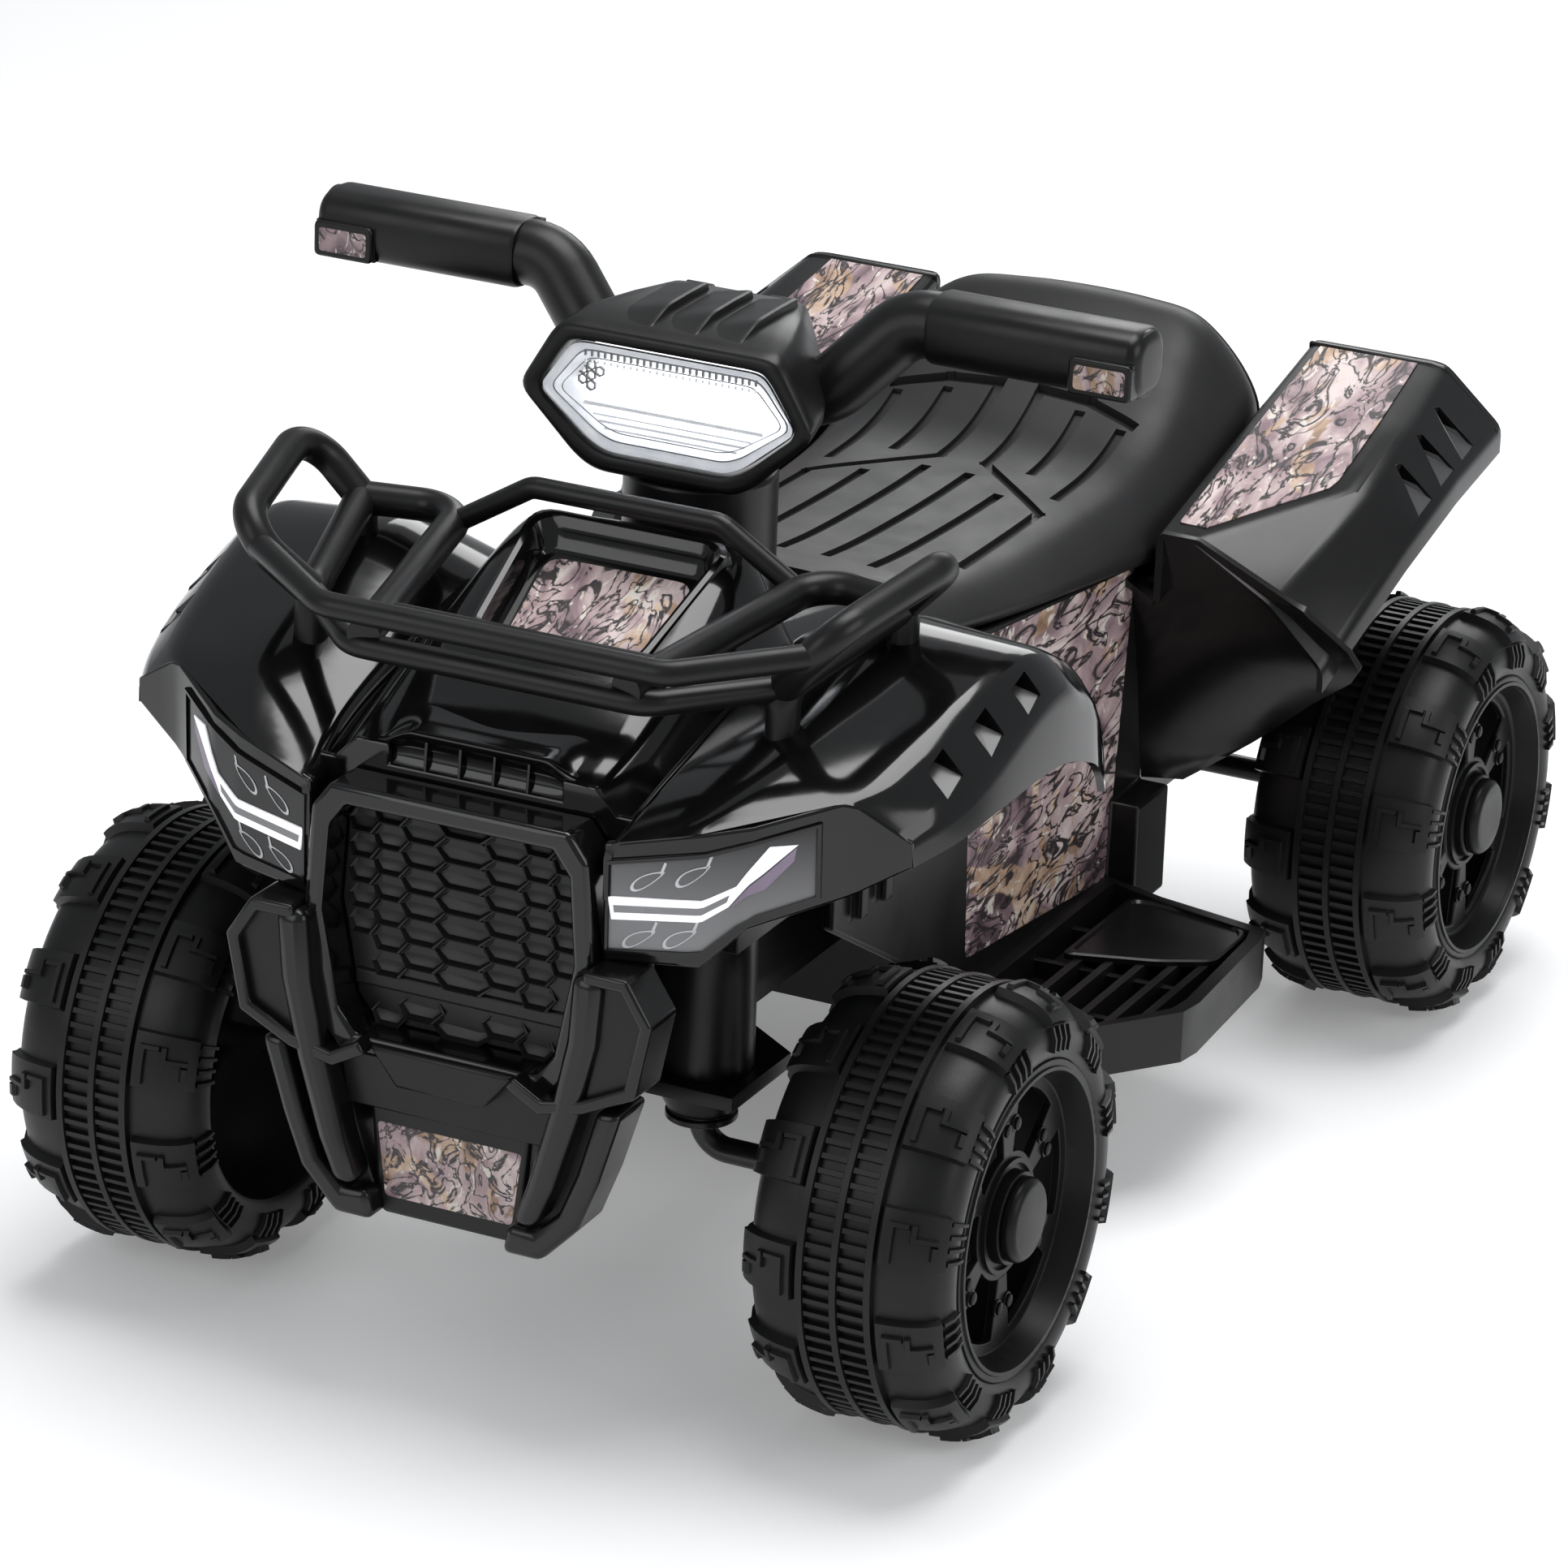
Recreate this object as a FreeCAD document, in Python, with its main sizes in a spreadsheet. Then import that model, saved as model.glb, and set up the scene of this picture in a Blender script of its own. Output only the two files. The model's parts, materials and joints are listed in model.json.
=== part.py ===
import FreeCAD, Part
import math
import os

import Sketcher

# A toddler's battery quad bike: +X forward, +Y to the rider's left, +Z up, ground at zero.

# Driving dimensions in millimetres
SIZES = {
    # stance
    "wheelbase": 473,
    "wheel_track": 315,
    "nose_overhang": 103,
    # tyres and rims
    "tyre_radius": 88,
    "tyre_width": 82,
    "lug_height": 4,
    "lug_overhang": 1.5,
    "tyre_wall": 4,
    "rim_radius": 62,
    "rim_wall": 3.5,
    "rim_dish": 11,
    "rim_flange_width": 8,
    "wheel_hub_radius": 14,
    "wheel_disc_inset": 13,
    "hub_inner_inset": 5,
    "hub_face_inset": 21,
    "rim_boss_radius": 18,
    "rim_boss_height": 5,
    "rim_window_inner": 25,
    "rim_window_outer": 49,
    "hub_cap_radius": 16.5,
    "hub_cap_height": 5.6,
    "hub_cap_wall": 2.2,
    # axles
    "axle_radius": 5,
    "axle_collar_radius": 8.5,
    "axle_collar_width": 1.6,
    "axle_bend_radius": 12,
    "running_clearance": 0.05,
    "side_play": 0.3,
    # kingpin posts
    "kingpin_offset": 60,
    "post_radius": 19.5,
    "post_nose_radius": 12.5,
    "post_flange_radius": 14,
    "post_flange_height": 3,
    "post_bottom_z": 100,
    "post_taper": 13,
    "post_top_z": 196,
    "post_socket_gap": 0.1,
    # steering gear
    "column_x": 125,
    "steering_arm": 40,
    "lever_thickness": 4,
    "lever_half_width": 8,
    "lever_eye_radius": 11,
    "lever_lift": 2,
    "link_pin_radius": 3,
    "link_shoulder_radius": 5,
    "link_shoulder_height": 2,
    "link_thickness": 4,
    "link_bar_width": 20,
    "link_slot_play": 0.8,
    "link_slot_reach": 7,
    "link_pin_spare": 3,
    # chassis tray
    "floor_z": 66,
    "floor_thickness": 4,
    "tray_wall": 4,
    "tray_height": 74,
    "tray_half_width": 70,
    "tray_tail_half_width": 42,
    "tray_tail_reach": 41,
    "tray_shoulder_gap": 94,
    "tray_shoulder_length": 18,
    "tray_front_gap": 193,
    # front subframe
    "subframe_half_width": 36,
    "subframe_low_z": 106,
    "subframe_top_z": 190,
    "subframe_wall": 4,
    "wing_plate": 10,
    "wing_half_length": 25,
    "wing_reach": 25,
    "gusset_z": 110,
    "gusset_plate": 6,
    "gusset_length": 60,
    # body sides
    "side_wall": 5,
    "side_rear_z": 214,
    "side_front_z": 236,
    "side_nose_z": 240,
    "side_nose_low_z": 150,
    "side_knee_z": 113,
    "side_front_gap": 79,
    "side_tail_low_z": 140,
    "side_break_x": 133,
    "pillar_depth": 13,
    "pillar_top_z": 113,
    "pillar_front_x": 118,
    "pillar_rear_x": 150,
    "side_rib_depth": 5,
    "side_rib_width": 7,
    "side_rib_pitch": 22,
    # footboards
    "board_top_z": 80,
    "board_bottom_z": 58,
    "board_floor": 8,
    "board_rim": 6,
    "board_width": 88,
    "board_length": 203,
    "board_rear_gap": 0.3,
    "board_rib_width": 3.5,
    "board_rib_drop": 3,
    # hood and dash
    "panel_gap": 0.3,
    "panel_wall": 3,
    "hood_rear_setback": 64,
    "hood_low_z": 247,
    "hood_rise": 61,
    "hood_half_width": 64,
    "hood_pan_length": 62,
    "hood_pan_half_width": 43,
    "hood_pan_depth": 9,
    "hood_pan_wall": 4,
    "hood_pan_setback": 18,
    "scoop_half_width": 34,
    "scoop_length": 30,
    "scoop_depth": 7,
    "scoop_rib_width": 3,
    "dash_rear_z": 256,
    "dash_front_z": 276,
    "dash_flank_drop": 18,
    "dash_half_width": 63,
    "neck_radius": 30,
    "neck_hole_gap": 3,
    # front fenders
    "fender_length": 200,
    "fender_front_setback": 14,
    "fender_width": 112,
    "fender_low_z": 217,
    "fender_rise": 75,
    "fender_wall": 3,
    "face_sweep": 41,
    "face_width": 80,
    "face_low_z": 195.5,
    "face_height": 66,
    "face_wall": 4,
    "vent_length": 13,
    "vent_depth": 12,
    "vent_pitch": 28,
    "vent_inset": 3,
    "light_panel_wall": 1.5,
    # rear fenders
    "wing_length": 162,
    "wing_front_gap": 123,
    "wing_inner_y": 91,
    "wing_width": 87,
    "wing_low_z": 178,
    "wing_rise": 95,
    "wing_wall": 3,
    "wing_flange_z": 202,
    "wing_plate_wall": 4,
    "wing_vent_length": 11,
    "wing_vent_pitch": 24,
    # seat
    "seat_front_gap": 64,
    "seat_length": 324,
    "seat_half_width": 87,
    "seat_rise": 79,
    "seat_wall": 4,
    # grille and bumper
    "grille_face_setback": 8,
    "grille_depth": 20,
    "grille_half_width": 60.5,
    "grille_low_z": 139,
    "grille_height": 106,
    "grille_bar": 8,
    "insert_plate": 4,
    "hex_width": 21,
    "hex_height": 7,
    "hex_relief": 2.5,
    "hex_pitch_y": 23.5,
    "hex_pitch_z": 9,
    "guard_half_width": 93,
    "guard_height": 73,
    "guard_low_z": 121,
    "guard_depth": 24,
    "guard_recess": 4,
    "leg_low_z": 74,
    "leg_back_setback": 28,
    "leg_depth": 17,
    "skid_half_width": 34,
    "skid_top_z": 119,
    "skid_depth": 14,
    # rack
    "rail_radius": 6.5,
    "bar_radius": 5,
    "thin_bar_radius": 4.3,
    "rail_bend": 16,
    "post_bend": 9,
    "loop_front_lead": 39,
    "loop_rear_lead": -41,
    "loop_front_y": 122,
    "loop_rear_y": 138.6,
    "loop_front_z": 315,
    "loop_rear_z": 327.5,
    "rail_front_lead": 22.4,
    "rail_rear_lead": -44,
    "rail_front_y": 99,
    "rail_rear_y": 115,
    "rail_front_z": 288,
    "rail_rear_z": 302.5,
    "upper_bar_z": 301,
    "lower_bar_z": 286,
    "upper_bar_bow": 30,
    "lower_bar_bow": 37,
    "inner_rail_front_y": 54.5,
    "inner_rail_rear_y": 76,
    "inner_rail_front_z": 291,
    "inner_rail_rear_z": 301.5,
    "inner_rail_front_lead": 62,
    "inner_rail_rear_lead": -54.5,
    "cross_bar_lead": 40,
    "hoop_half_width": 40,
    "hoop_top_z": 321,
    "hoop_lead": -41.5,
    "hoop_bend": 10,
    # handlebar and headlight
    "grip_radius": 13,
    "grip_z": 384,
    "bar_half_width": 174,
    "bar_bend_y": 76,
    "bar_root_y": 46,
    "bar_root_z": 352,
    "bar_root_x": 115,
    "bar_sweep": 11,
    "bar_bend_radius": 22,
    "grip_boss_length": 26,
    "grip_boss_height": 14,
    "grip_boss_depth": 1.5,
    "grip_boss_drop": 4,
    "throttle_length": 30,
    "throttle_height": 16,
    "throttle_depth": 7,
    "button_radius": 5,
    "button_length": 6,
    "button_travel": 2.5,
    "button_gap": 0.3,
    "pod_rear_x": 96,
    "pod_front_x": 157,
    "pod_half_width": 63,
    "pod_low_z": 319,
    "pod_height": 68,
    "pod_bezel": 8,
    "lens_depth": 12,
    "lens_gap": 0.3,
    "light_board_wall": 2,
    "louvre_length": 34,
    "louvre_width": 9,
    "louvre_height": 3,
    "louvre_pitch": 20,
    "neck_low_z": 262,
    "column_low_z": 180,
    "column_top_gap": 8,
    "switch_width": 13,
    "switch_height": 20,
    "switch_depth": 6,
    "switch_gap": 0.5,
    "switch_pitch": 36,
    "switch_z": 372,
    # drive and electrics
    "gearbox_length": 66,
    "gearbox_width": 26,
    "gearbox_height": 52,
    "gearbox_axle_inset": 22,
    "motor_radius": 14,
    "motor_length": 44,
    "sleeve_radius": 8.5,
    "sleeve_lap": 10,
    "battery_length": 101,
    "battery_width": 70,
    "battery_height": 94,
    "battery_x": -70,
    "socket_bore_radius": 2.8,
    "socket_radius": 6,
    "socket_flange_radius": 10,
    "socket_flange": 2,
    "socket_depth": 12,
    "socket_x": 60,
    "socket_z": 150,
    "screw_head_radius": 4,
    "screw_head_height": 2,
    "screw_inset": 14,
    # one overrun serves all cuts
    "cut_overrun": 5,
}

# Counts and angles
LUG_COUNT = 12
LUG_ANGLE = 17
RIM_SPOKES = 6
RIM_WINDOW_ANGLE = 42
LOUVRE_COUNT = 3
SCOOP_SLOTS = 5
VENT_COUNT = 3
FULL_TURN = 360

# Tyre contour: share of the height from rim to crown, share of the half width
CARCASS_SHARES = [(0.0, 0.99), (0.2, 1.0), (0.55, 0.97), (0.85, 0.82), (1.0, 0.55)]
LUG_SHARES = [(0.18, 0.93), (0.24, 1.0), (0.62, 0.98), (1.0, 0.66), (1.0, 0.4), (0.78, 0.4), (0.6, 0.75)]
BEAD_SHARE = 1.5

# Hood stations: length, low height, top height, low half width, top half width
HOOD_SHARES = [
    (0.0, 0.34, 0.87, 0.97, 0.69),
    (0.11, 0.44, 1.0, 1.0, 0.72),
    (0.44, 0.34, 0.69, 1.0, 0.78),
    (0.76, 0.15, 0.34, 0.97, 0.81),
    (1.0, 0.0, 0.15, 0.92, 0.78),
]

# Dash at the rear: share of its low and top half width; pan: rim heights at the rear and front, taper
DASH_REAR_SHARES = (0.97, 0.86)
PAN_RIM_SHARES = (0.99, 0.61)
PAN_TAPER_SHARE = 0.84

# Front fender stations: length from the rear, heights of inner edge, crown, crease, shoulder and lip,
# then widths of crown, crease, shoulder and lip
FENDER_SHARES = [
    (0.0, 0.39, 0.49, 0.39, 0.25, 0.0, 0.39, 0.855, 0.945, 0.96),
    (0.125, 0.71, 0.89, 0.81, 0.6, 0.28, 0.39, 0.87, 0.98, 0.995),
    (0.285, 0.79, 0.99, 0.96, 0.77, 0.4, 0.39, 0.865, 0.98, 1.0),
    (0.535, 0.68, 0.85, 0.83, 0.6, 0.39, 0.39, 0.815, 0.965, 0.99),
    (0.785, 0.53, 0.65, 0.61, 0.41, 0.27, 0.39, 0.745, 0.89, 0.915),
    (1.0, 0.32, 0.4, 0.47, 0.31, 0.2, 0.39, 0.675, 0.745, 0.765),
]

# Front face of the fender: width, sweep at the top and bottom, height at the top and bottom
FACE_SHARES = [
    (0.0, 0.0, 0.02, 0.7, 0.0),
    (0.45, 0.27, 0.2, 0.81, 0.03),
    (0.64, 0.44, 0.37, 0.86, 0.27),
    (1.0, 0.93, 1.0, 1.0, 0.42),
    (1.27, 1.13, 1.15, 0.78, 0.63),
]

# How far a sloping wall's inner side steps in, in walls
FENDER_LEAN_SHARE = 0.4
WING_LEAN_SHARE = 0.6

# Vents: lead of the first one ahead of the axle in pitches, then corners in its length and depth
VENT_LEAD_SHARE = 1.0
VENT_SHARES = [(0.0, 0.0), (1.0, 0.3), (0.7, 1.0), (-0.2, 0.7)]
WING_VENT_START_SHARE = 0.86
WING_VENT_EDGE_SHARES = (0.78, 0.95)
WING_VENT_BACK_SHARE = 0.6

# Light panel on that face: where its slices stand across the face, and its low and top share of each slice
LIGHT_ACROSS_SHARES = [0.02, 0.45, 0.64, 0.9]
LIGHT_EDGE_SHARES = (0.09, 0.86)

# Rear fender stations: length from the front, heights of inner edge, panel edge, ridge, lip and
# skirt, then widths of panel edge, ridge and lip
WING_SHARES = [
    (0.0, 0.586, 0.576, 0.354, 0.1, 0.0, 0.14, 0.56, 0.85),
    (0.33, 0.727, 0.737, 0.727, 0.535, 0.414, 0.68, 0.77, 1.0),
    (0.67, 0.869, 0.874, 0.869, 0.677, 0.556, 0.655, 0.75, 1.0),
    (1.0, 1.0, 1.0, 0.99, 0.747, 0.626, 0.61, 0.68, 0.98),
]

# Front plate of the rear fender: height share above the pillar, setback share of the wing length at
# the inner and outer edge, inner and outer width share
WING_PLATE_SHARES = [
    (0.0, 0.18, 0.22, 0.0, 0.16),
    (0.14, 0.155, 0.31, 0.0, 0.4),
    (0.39, 0.12, 0.19, 0.0, 0.72),
    (0.62, 0.075, 0.045, 0.0, 1.0),
    (0.79, 0.04, 0.015, 0.0, 0.79),
    (0.83, 0.03, 0.005, 0.147, 0.73),
    (1.0, 0.0, 0.0, 0.147, 0.31),
]

# Seat stations: length, then height and half width of the hem, flank, edge and crown
SEAT_SHARES = [
    (0.0, 0.28, 0.71, 0.36, 0.735, 0.52, 0.53, 0.555, 0.23),
    (0.19, 0.197, 0.83, 0.275, 0.86, 0.43, 0.67, 0.465, 0.29),
    (0.47, 0.072, 0.9, 0.17, 0.93, 0.39, 0.74, 0.43, 0.32),
    (0.65, 0.0, 0.94, 0.17, 0.985, 0.45, 0.78, 0.49, 0.345),
    (0.81, 0.0, 0.94, 0.39, 0.99, 0.77, 0.76, 0.83, 0.345),
    (0.91, 0.0, 0.9, 0.52, 0.96, 0.92, 0.69, 1.0, 0.32),
    (1.0, 0.0, 0.8, 0.39, 0.83, 0.73, 0.55, 0.8, 0.28),
]

# Grille ring, half outline from the top: width, height
GRILLE_SHARES = [(0.82, 1.0), (0.95, 0.9), (1.0, 0.52), (0.86, 0.1), (0.72, 0.0)]

# Cells of the grille: margins below and above in bars, flat half width, share of the plate they fill
HEX_MARGIN_SHARES = (1.6, 1.8)
HEX_FLAT_SHARE = 0.3
HEX_FIELD_SHARE = 0.88

# Bumper guard, half outline outside the grille ring from the top: width, height
GUARD_SHARES = [(0.89, 1.0), (1.0, 0.78), (0.91, 0.29), (0.73, 0.165), (0.43, 0.11), (0.32, 0.0)]
PLATE_SHARES = [(0.77, 0.93), (0.87, 0.93), (0.95, 0.76), (0.87, 0.34), (0.76, 0.27)]

# Lower leg of the guard: width share of the guard, height share above the ground line of the guard
LEG_SHARES = [
    (0.82, 1.0), (0.7, 0.35), (0.61, 0.12), (0.49, 0.0),
    (0.35, 0.0), (0.37, 0.12), (0.48, 0.2), (0.64, 0.95),
]
SKID_SHARES = [(1.0, 1.0), (0.92, 0.3), (0.84, 0.0)]

# Rack: where a front bar bends, and where the upper one meets the loop's front leg
BAR_KNEE_SHARE = 0.62
LOOP_JOINT_SHARE = 0.7

# Headlight bezel, half outline from the top: width, height
POD_SHARES = [(0.68, 0.92), (0.76, 0.88), (1.0, 0.48), (0.6, 0.1), (0.46, 0.03)]
POD_STATION_SHARES = [(0.0, 0.62, 0.9), (0.7, 0.94, 1.0), (1.0, 1.0, 0.94)]
LOUVRE_ROOT_SHARE = 0.86

# Rocker switch: reach out of the pod, depth of its valley, reach inside, height inside
ROCKER_OUT_SHARE = 0.4
ROCKER_VALLEY_SHARE = 0.4
ROCKER_IN_SHARE = 0.6
ROCKER_ROOT_SHARE = 0.5

# Gearbox corner cut, and the motor's place in its radii from the box's front and floor
GEARBOX_CUT_SHARE = 0.25
MOTOR_SHARES = (1.4, 1.5)

# Footboard plan: length from the rear, width
BOARD_SHARES = [(0.0, 0.0), (0.05, 0.34), (0.1, 0.92), (0.15, 0.95), (0.52, 1.0), (0.58, 0.98), (0.74, 0.7),
                (0.95, 0.28), (1.0, 0.0)]
BOARD_RIB_SHARES = [0.22, 0.38, 0.54, 0.7, 0.84]
BOARD_CROSS_SHARES = [0.2, 0.4, 0.62]
BOARD_RIB_START_SHARES = (0.02, 0.08)
BOARD_RIB_END_SHARES = (0.94, -0.36)
BOARD_CROSS_REACH_SHARE = 0.86


class Size:
    """A length that carries its value and the sheet formula behind it."""

    def __init__(self, value, formula):
        self.value = value
        self.formula = formula

    def __add__(self, other):
        other = as_size(other)
        return Size(self.value + other.value, f"({self.formula} + {other.formula})")

    def __sub__(self, other):
        other = as_size(other)
        return Size(self.value - other.value, f"({self.formula} - {other.formula})")

    def __neg__(self):
        return Size(-self.value, f"(0 - {self.formula})")

    def __mul__(self, share):
        return Size(self.value * share, f"({self.formula} * {share:.9g})")

    def __truediv__(self, share):
        return self * (1 / share)

    __rmul__ = __mul__

    def __radd__(self, other):
        return as_size(other) + self


def as_size(number):
    return number if isinstance(number, Size) else Size(number, f"{number:.9g}")


doc = FreeCAD.newDocument("quad_bike")
sheet = doc.addObject("Spreadsheet::Sheet", "Sizes")
for row, (name, value) in enumerate(SIZES.items(), start=1):
    sheet.set(f"A{row}", name)
    sheet.set(f"B{row}", str(value))
    sheet.setAlias(f"B{row}", name)
doc.recompute()


class Dimensions:
    """Every cell of the sheet as a Size, by its alias."""


d = Dimensions()
for name in SIZES:
    setattr(d, name, Size(float(sheet.get(name)), f"Sizes.{name}"))

# Places that several pieces share
ZERO = as_size(0)
front_x = (d.wheelbase + d.tyre_radius - d.nose_overhang) / 2
rear_x = front_x - d.wheelbase
nose_x = front_x + d.nose_overhang
axle_z = d.tyre_radius
wheel_y = d.wheel_track / 2
bore_radius = d.axle_radius + d.running_clearance
half_tyre = d.tyre_width / 2
side_outer_y = d.tray_half_width + d.side_wall
tray_front_x = front_x - d.tray_front_gap
side_front_x = front_x - d.side_front_gap
grille_face_x = nose_x - d.grille_face_setback
grille_back_x = grille_face_x - d.grille_depth
hood_front_x = grille_back_x - d.panel_gap
hood_rear_x = front_x - d.hood_rear_setback
hood_length = hood_front_x - hood_rear_x
seat_front_x = d.column_x - d.seat_front_gap
dash_rear_x = seat_front_x + d.panel_gap
fender_front_x = nose_x - d.fender_front_setback
fender_rear_x = fender_front_x - d.fender_length
fender_inner_y = d.hood_half_width + d.panel_gap
wing_front_x = rear_x + d.wing_front_gap
lever_z = d.post_top_z + d.lever_lift
link_z = lever_z + d.lever_thickness + d.link_shoulder_height
board_rear_x = d.board_rear_gap - d.pillar_front_x
board_front_x = board_rear_x + d.board_length
lens_front_x = d.pod_front_x - d.lens_gap
NODES = []


def bind(item, prop, size):
    item.setExpression(prop, as_size(size).formula)


def vector(x, y, z):
    return FreeCAD.Vector(as_size(x).value, as_size(y).value, as_size(z).value)


def keep(item, label):
    item.Label = label
    NODES.append(item)
    return item


def new_body(label):
    return keep(doc.addObject("PartDesign::Body", label), label)


def place(item, x, y, z):
    bind(item, "Placement.Base.x", x)
    bind(item, "Placement.Base.y", y)
    bind(item, "Placement.Base.z", z)


def origin_feature(body, role):
    return next(item for item in body.Origin.OriginFeatures if item.Role == role)


def pin_vertex(sketch, geometry, point, u, v):
    for kind, size in (("DistanceX", as_size(u)), ("DistanceY", as_size(v))):
        index = sketch.addConstraint(Sketcher.Constraint(kind, -1, 1, geometry, point, size.value))
        bind(sketch, f"Constraints[{index}]", size)


def draw_loop(sketch, points):
    """A closed outline of straight edges, each corner held by its two coordinates."""
    first = sketch.GeometryCount
    corners = [FreeCAD.Vector(as_size(u).value, as_size(v).value, 0) for u, v in points]
    count = len(corners)
    for i, corner in enumerate(corners):
        sketch.addGeometry(Part.LineSegment(corner, corners[(i + 1) % count]))
    for i in range(count):
        sketch.addConstraint(Sketcher.Constraint("Coincident", first + i, 2, first + (i + 1) % count, 1))
    for i, (u, v) in enumerate(points):
        pin_vertex(sketch, first + i, 1, u, v)


def draw_circle(sketch, u, v, radius):
    index = sketch.GeometryCount
    centre = FreeCAD.Vector(as_size(u).value, as_size(v).value, 0)
    sketch.addGeometry(Part.Circle(centre, FreeCAD.Vector(0, 0, 1), as_size(radius).value))
    pin_vertex(sketch, index, 3, u, v)
    limit = sketch.addConstraint(Sketcher.Constraint("Radius", index, as_size(radius).value))
    bind(sketch, f"Constraints[{limit}]", radius)


def new_sketch(body, role, height, loops=(), circles=()):
    """A sketch on an origin plane, lifted along the axis that the plane is square to."""
    sketch = body.newObject("Sketcher::SketchObject", "Outline")
    sketch.AttachmentSupport = [(origin_feature(body, role), "")]
    sketch.MapMode = "FlatFace"
    lift = -as_size(height) if role == "XZ_Plane" else as_size(height)
    bind(sketch, "AttachmentOffset.Base.z", lift)
    for points in loops:
        draw_loop(sketch, points)
    for u, v, radius in circles:
        draw_circle(sketch, u, v, radius)
    return sketch


def pad(body, role, start, length, loops=(), circles=()):
    """Raise outlines along +X, +Y or +Z from the start height."""
    sketch = new_sketch(body, role, start, loops, circles)
    feature = body.newObject("PartDesign::Pad", "Pad")
    feature.Profile = sketch
    bind(feature, "Length", length)
    feature.Reversed = role == "XZ_Plane"
    return feature


def pocket(body, role, start, length, loops=(), circles=()):
    """Cut outlines along +X, +Y or +Z from the start height."""
    sketch = new_sketch(body, role, start, loops, circles)
    feature = body.newObject("PartDesign::Pocket", "Pocket")
    feature.Profile = sketch
    bind(feature, "Length", length)
    feature.Reversed = role != "XZ_Plane"
    return feature


def revolve(body, loops, angle=FULL_TURN):
    """Turn outlines of radius and Y about the Y axis."""
    sketch = new_sketch(body, "XY_Plane", ZERO, loops)
    feature = body.newObject("PartDesign::Revolution", "Turned")
    feature.Profile = sketch
    feature.ReferenceAxis = (sketch, ["V_Axis"])
    feature.Angle = angle
    feature.Midplane = angle != FULL_TURN
    return feature


def revolve_upright(body, loop):
    """Turn an outline of radius and Z about the Z axis."""
    sketch = new_sketch(body, "XZ_Plane", ZERO, [loop])
    feature = body.newObject("PartDesign::Revolution", "Turned")
    feature.Profile = sketch
    feature.ReferenceAxis = (sketch, ["V_Axis"])
    feature.Angle = FULL_TURN
    return feature


def loft(body, role, sections, kind="PartDesign::AdditiveLoft"):
    """Skin straight-edged sections, each a height and a closed outline."""
    sketches = [new_sketch(body, role, height, [points]) for height, points in sections]
    feature = body.newObject(kind, "Skin")
    feature.Profile = sketches[0]
    feature.Sections = sketches[1:]
    feature.Ruled = True
    return feature


def ring_pattern(body, feature, count, role="Y_Axis"):
    pattern = body.newObject("PartDesign::PolarPattern", "Ring")
    pattern.Originals = [feature]
    pattern.Axis = (origin_feature(body, role), [""])
    pattern.Angle = FULL_TURN
    pattern.Occurrences = count
    body.Tip = pattern
    return pattern


def stack_pattern(body, feature, pitch, count):
    """Repeat a feature upwards at an even pitch."""
    pattern = body.newObject("PartDesign::LinearPattern", "Stack")
    pattern.Originals = [feature]
    pattern.Direction = (origin_feature(body, "Z_Axis"), [""])
    bind(pattern, "Length", pitch * (count - 1))
    pattern.Occurrences = count
    body.Tip = pattern
    return pattern


def mirrored(half):
    """A closed outline from its +Y half, listed from the top down."""
    return half + [(-u, v) for u, v in reversed(half)]


def rectangle(u_low, v_low, u_high, v_high):
    return [(u_low, v_low), (u_high, v_low), (u_high, v_high), (u_low, v_high)]


def rod_solid(radius, start, end):
    along = vector(*end) - vector(*start)
    return Part.makeCylinder(as_size(radius).value, along.Length, vector(*start), along)


def bend_solid(centre, start, end, along, radius):
    """A round bar's bend: its end disc turned about the bend's centre."""
    disc = Part.Face(Part.Wire([Part.Circle(start, along, radius).toShape()]))
    spoke = start - centre
    turn = spoke.getAngle(end - centre)
    return disc.revolve(centre, spoke.cross(end - centre), math.degrees(turn))


def tube_solid(points, bend_radius, radius):
    """A round bar along straight runs joined by tangent bends; the sizes come from the sheet."""
    corners = [vector(*point) for point in points]
    bend = as_size(bend_radius).value
    thick = as_size(radius).value
    pieces = []
    start = corners[0]
    for before, corner, after in zip(corners, corners[1:], corners[2:]):
        inward = (before - corner).normalize()
        outward = (after - corner).normalize()
        half_angle = inward.getAngle(outward) / 2
        reach = bend / math.tan(half_angle)
        arc_start = corner + inward * reach
        arc_end = corner + outward * reach
        centre = corner + (inward + outward).normalize() * (bend / math.sin(half_angle))
        pieces.append(Part.makeCylinder(thick, (arc_start - start).Length, start, arc_start - start))
        pieces.append(bend_solid(centre, arc_start, arc_end, inward, thick))
        start = arc_end
    pieces.append(Part.makeCylinder(thick, (corners[-1] - start).Length, start, corners[-1] - start))
    return pieces[0].fuse(pieces[1:])


def solid_node(label, shape):
    item = doc.addObject("Part::Feature", label)
    item.Shape = shape
    return keep(item, label)


# Wheels

def tyre_point(height_share, width_share, crown, half_width):
    return d.rim_radius + (crown - d.rim_radius) * height_share, half_width * width_share


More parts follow.
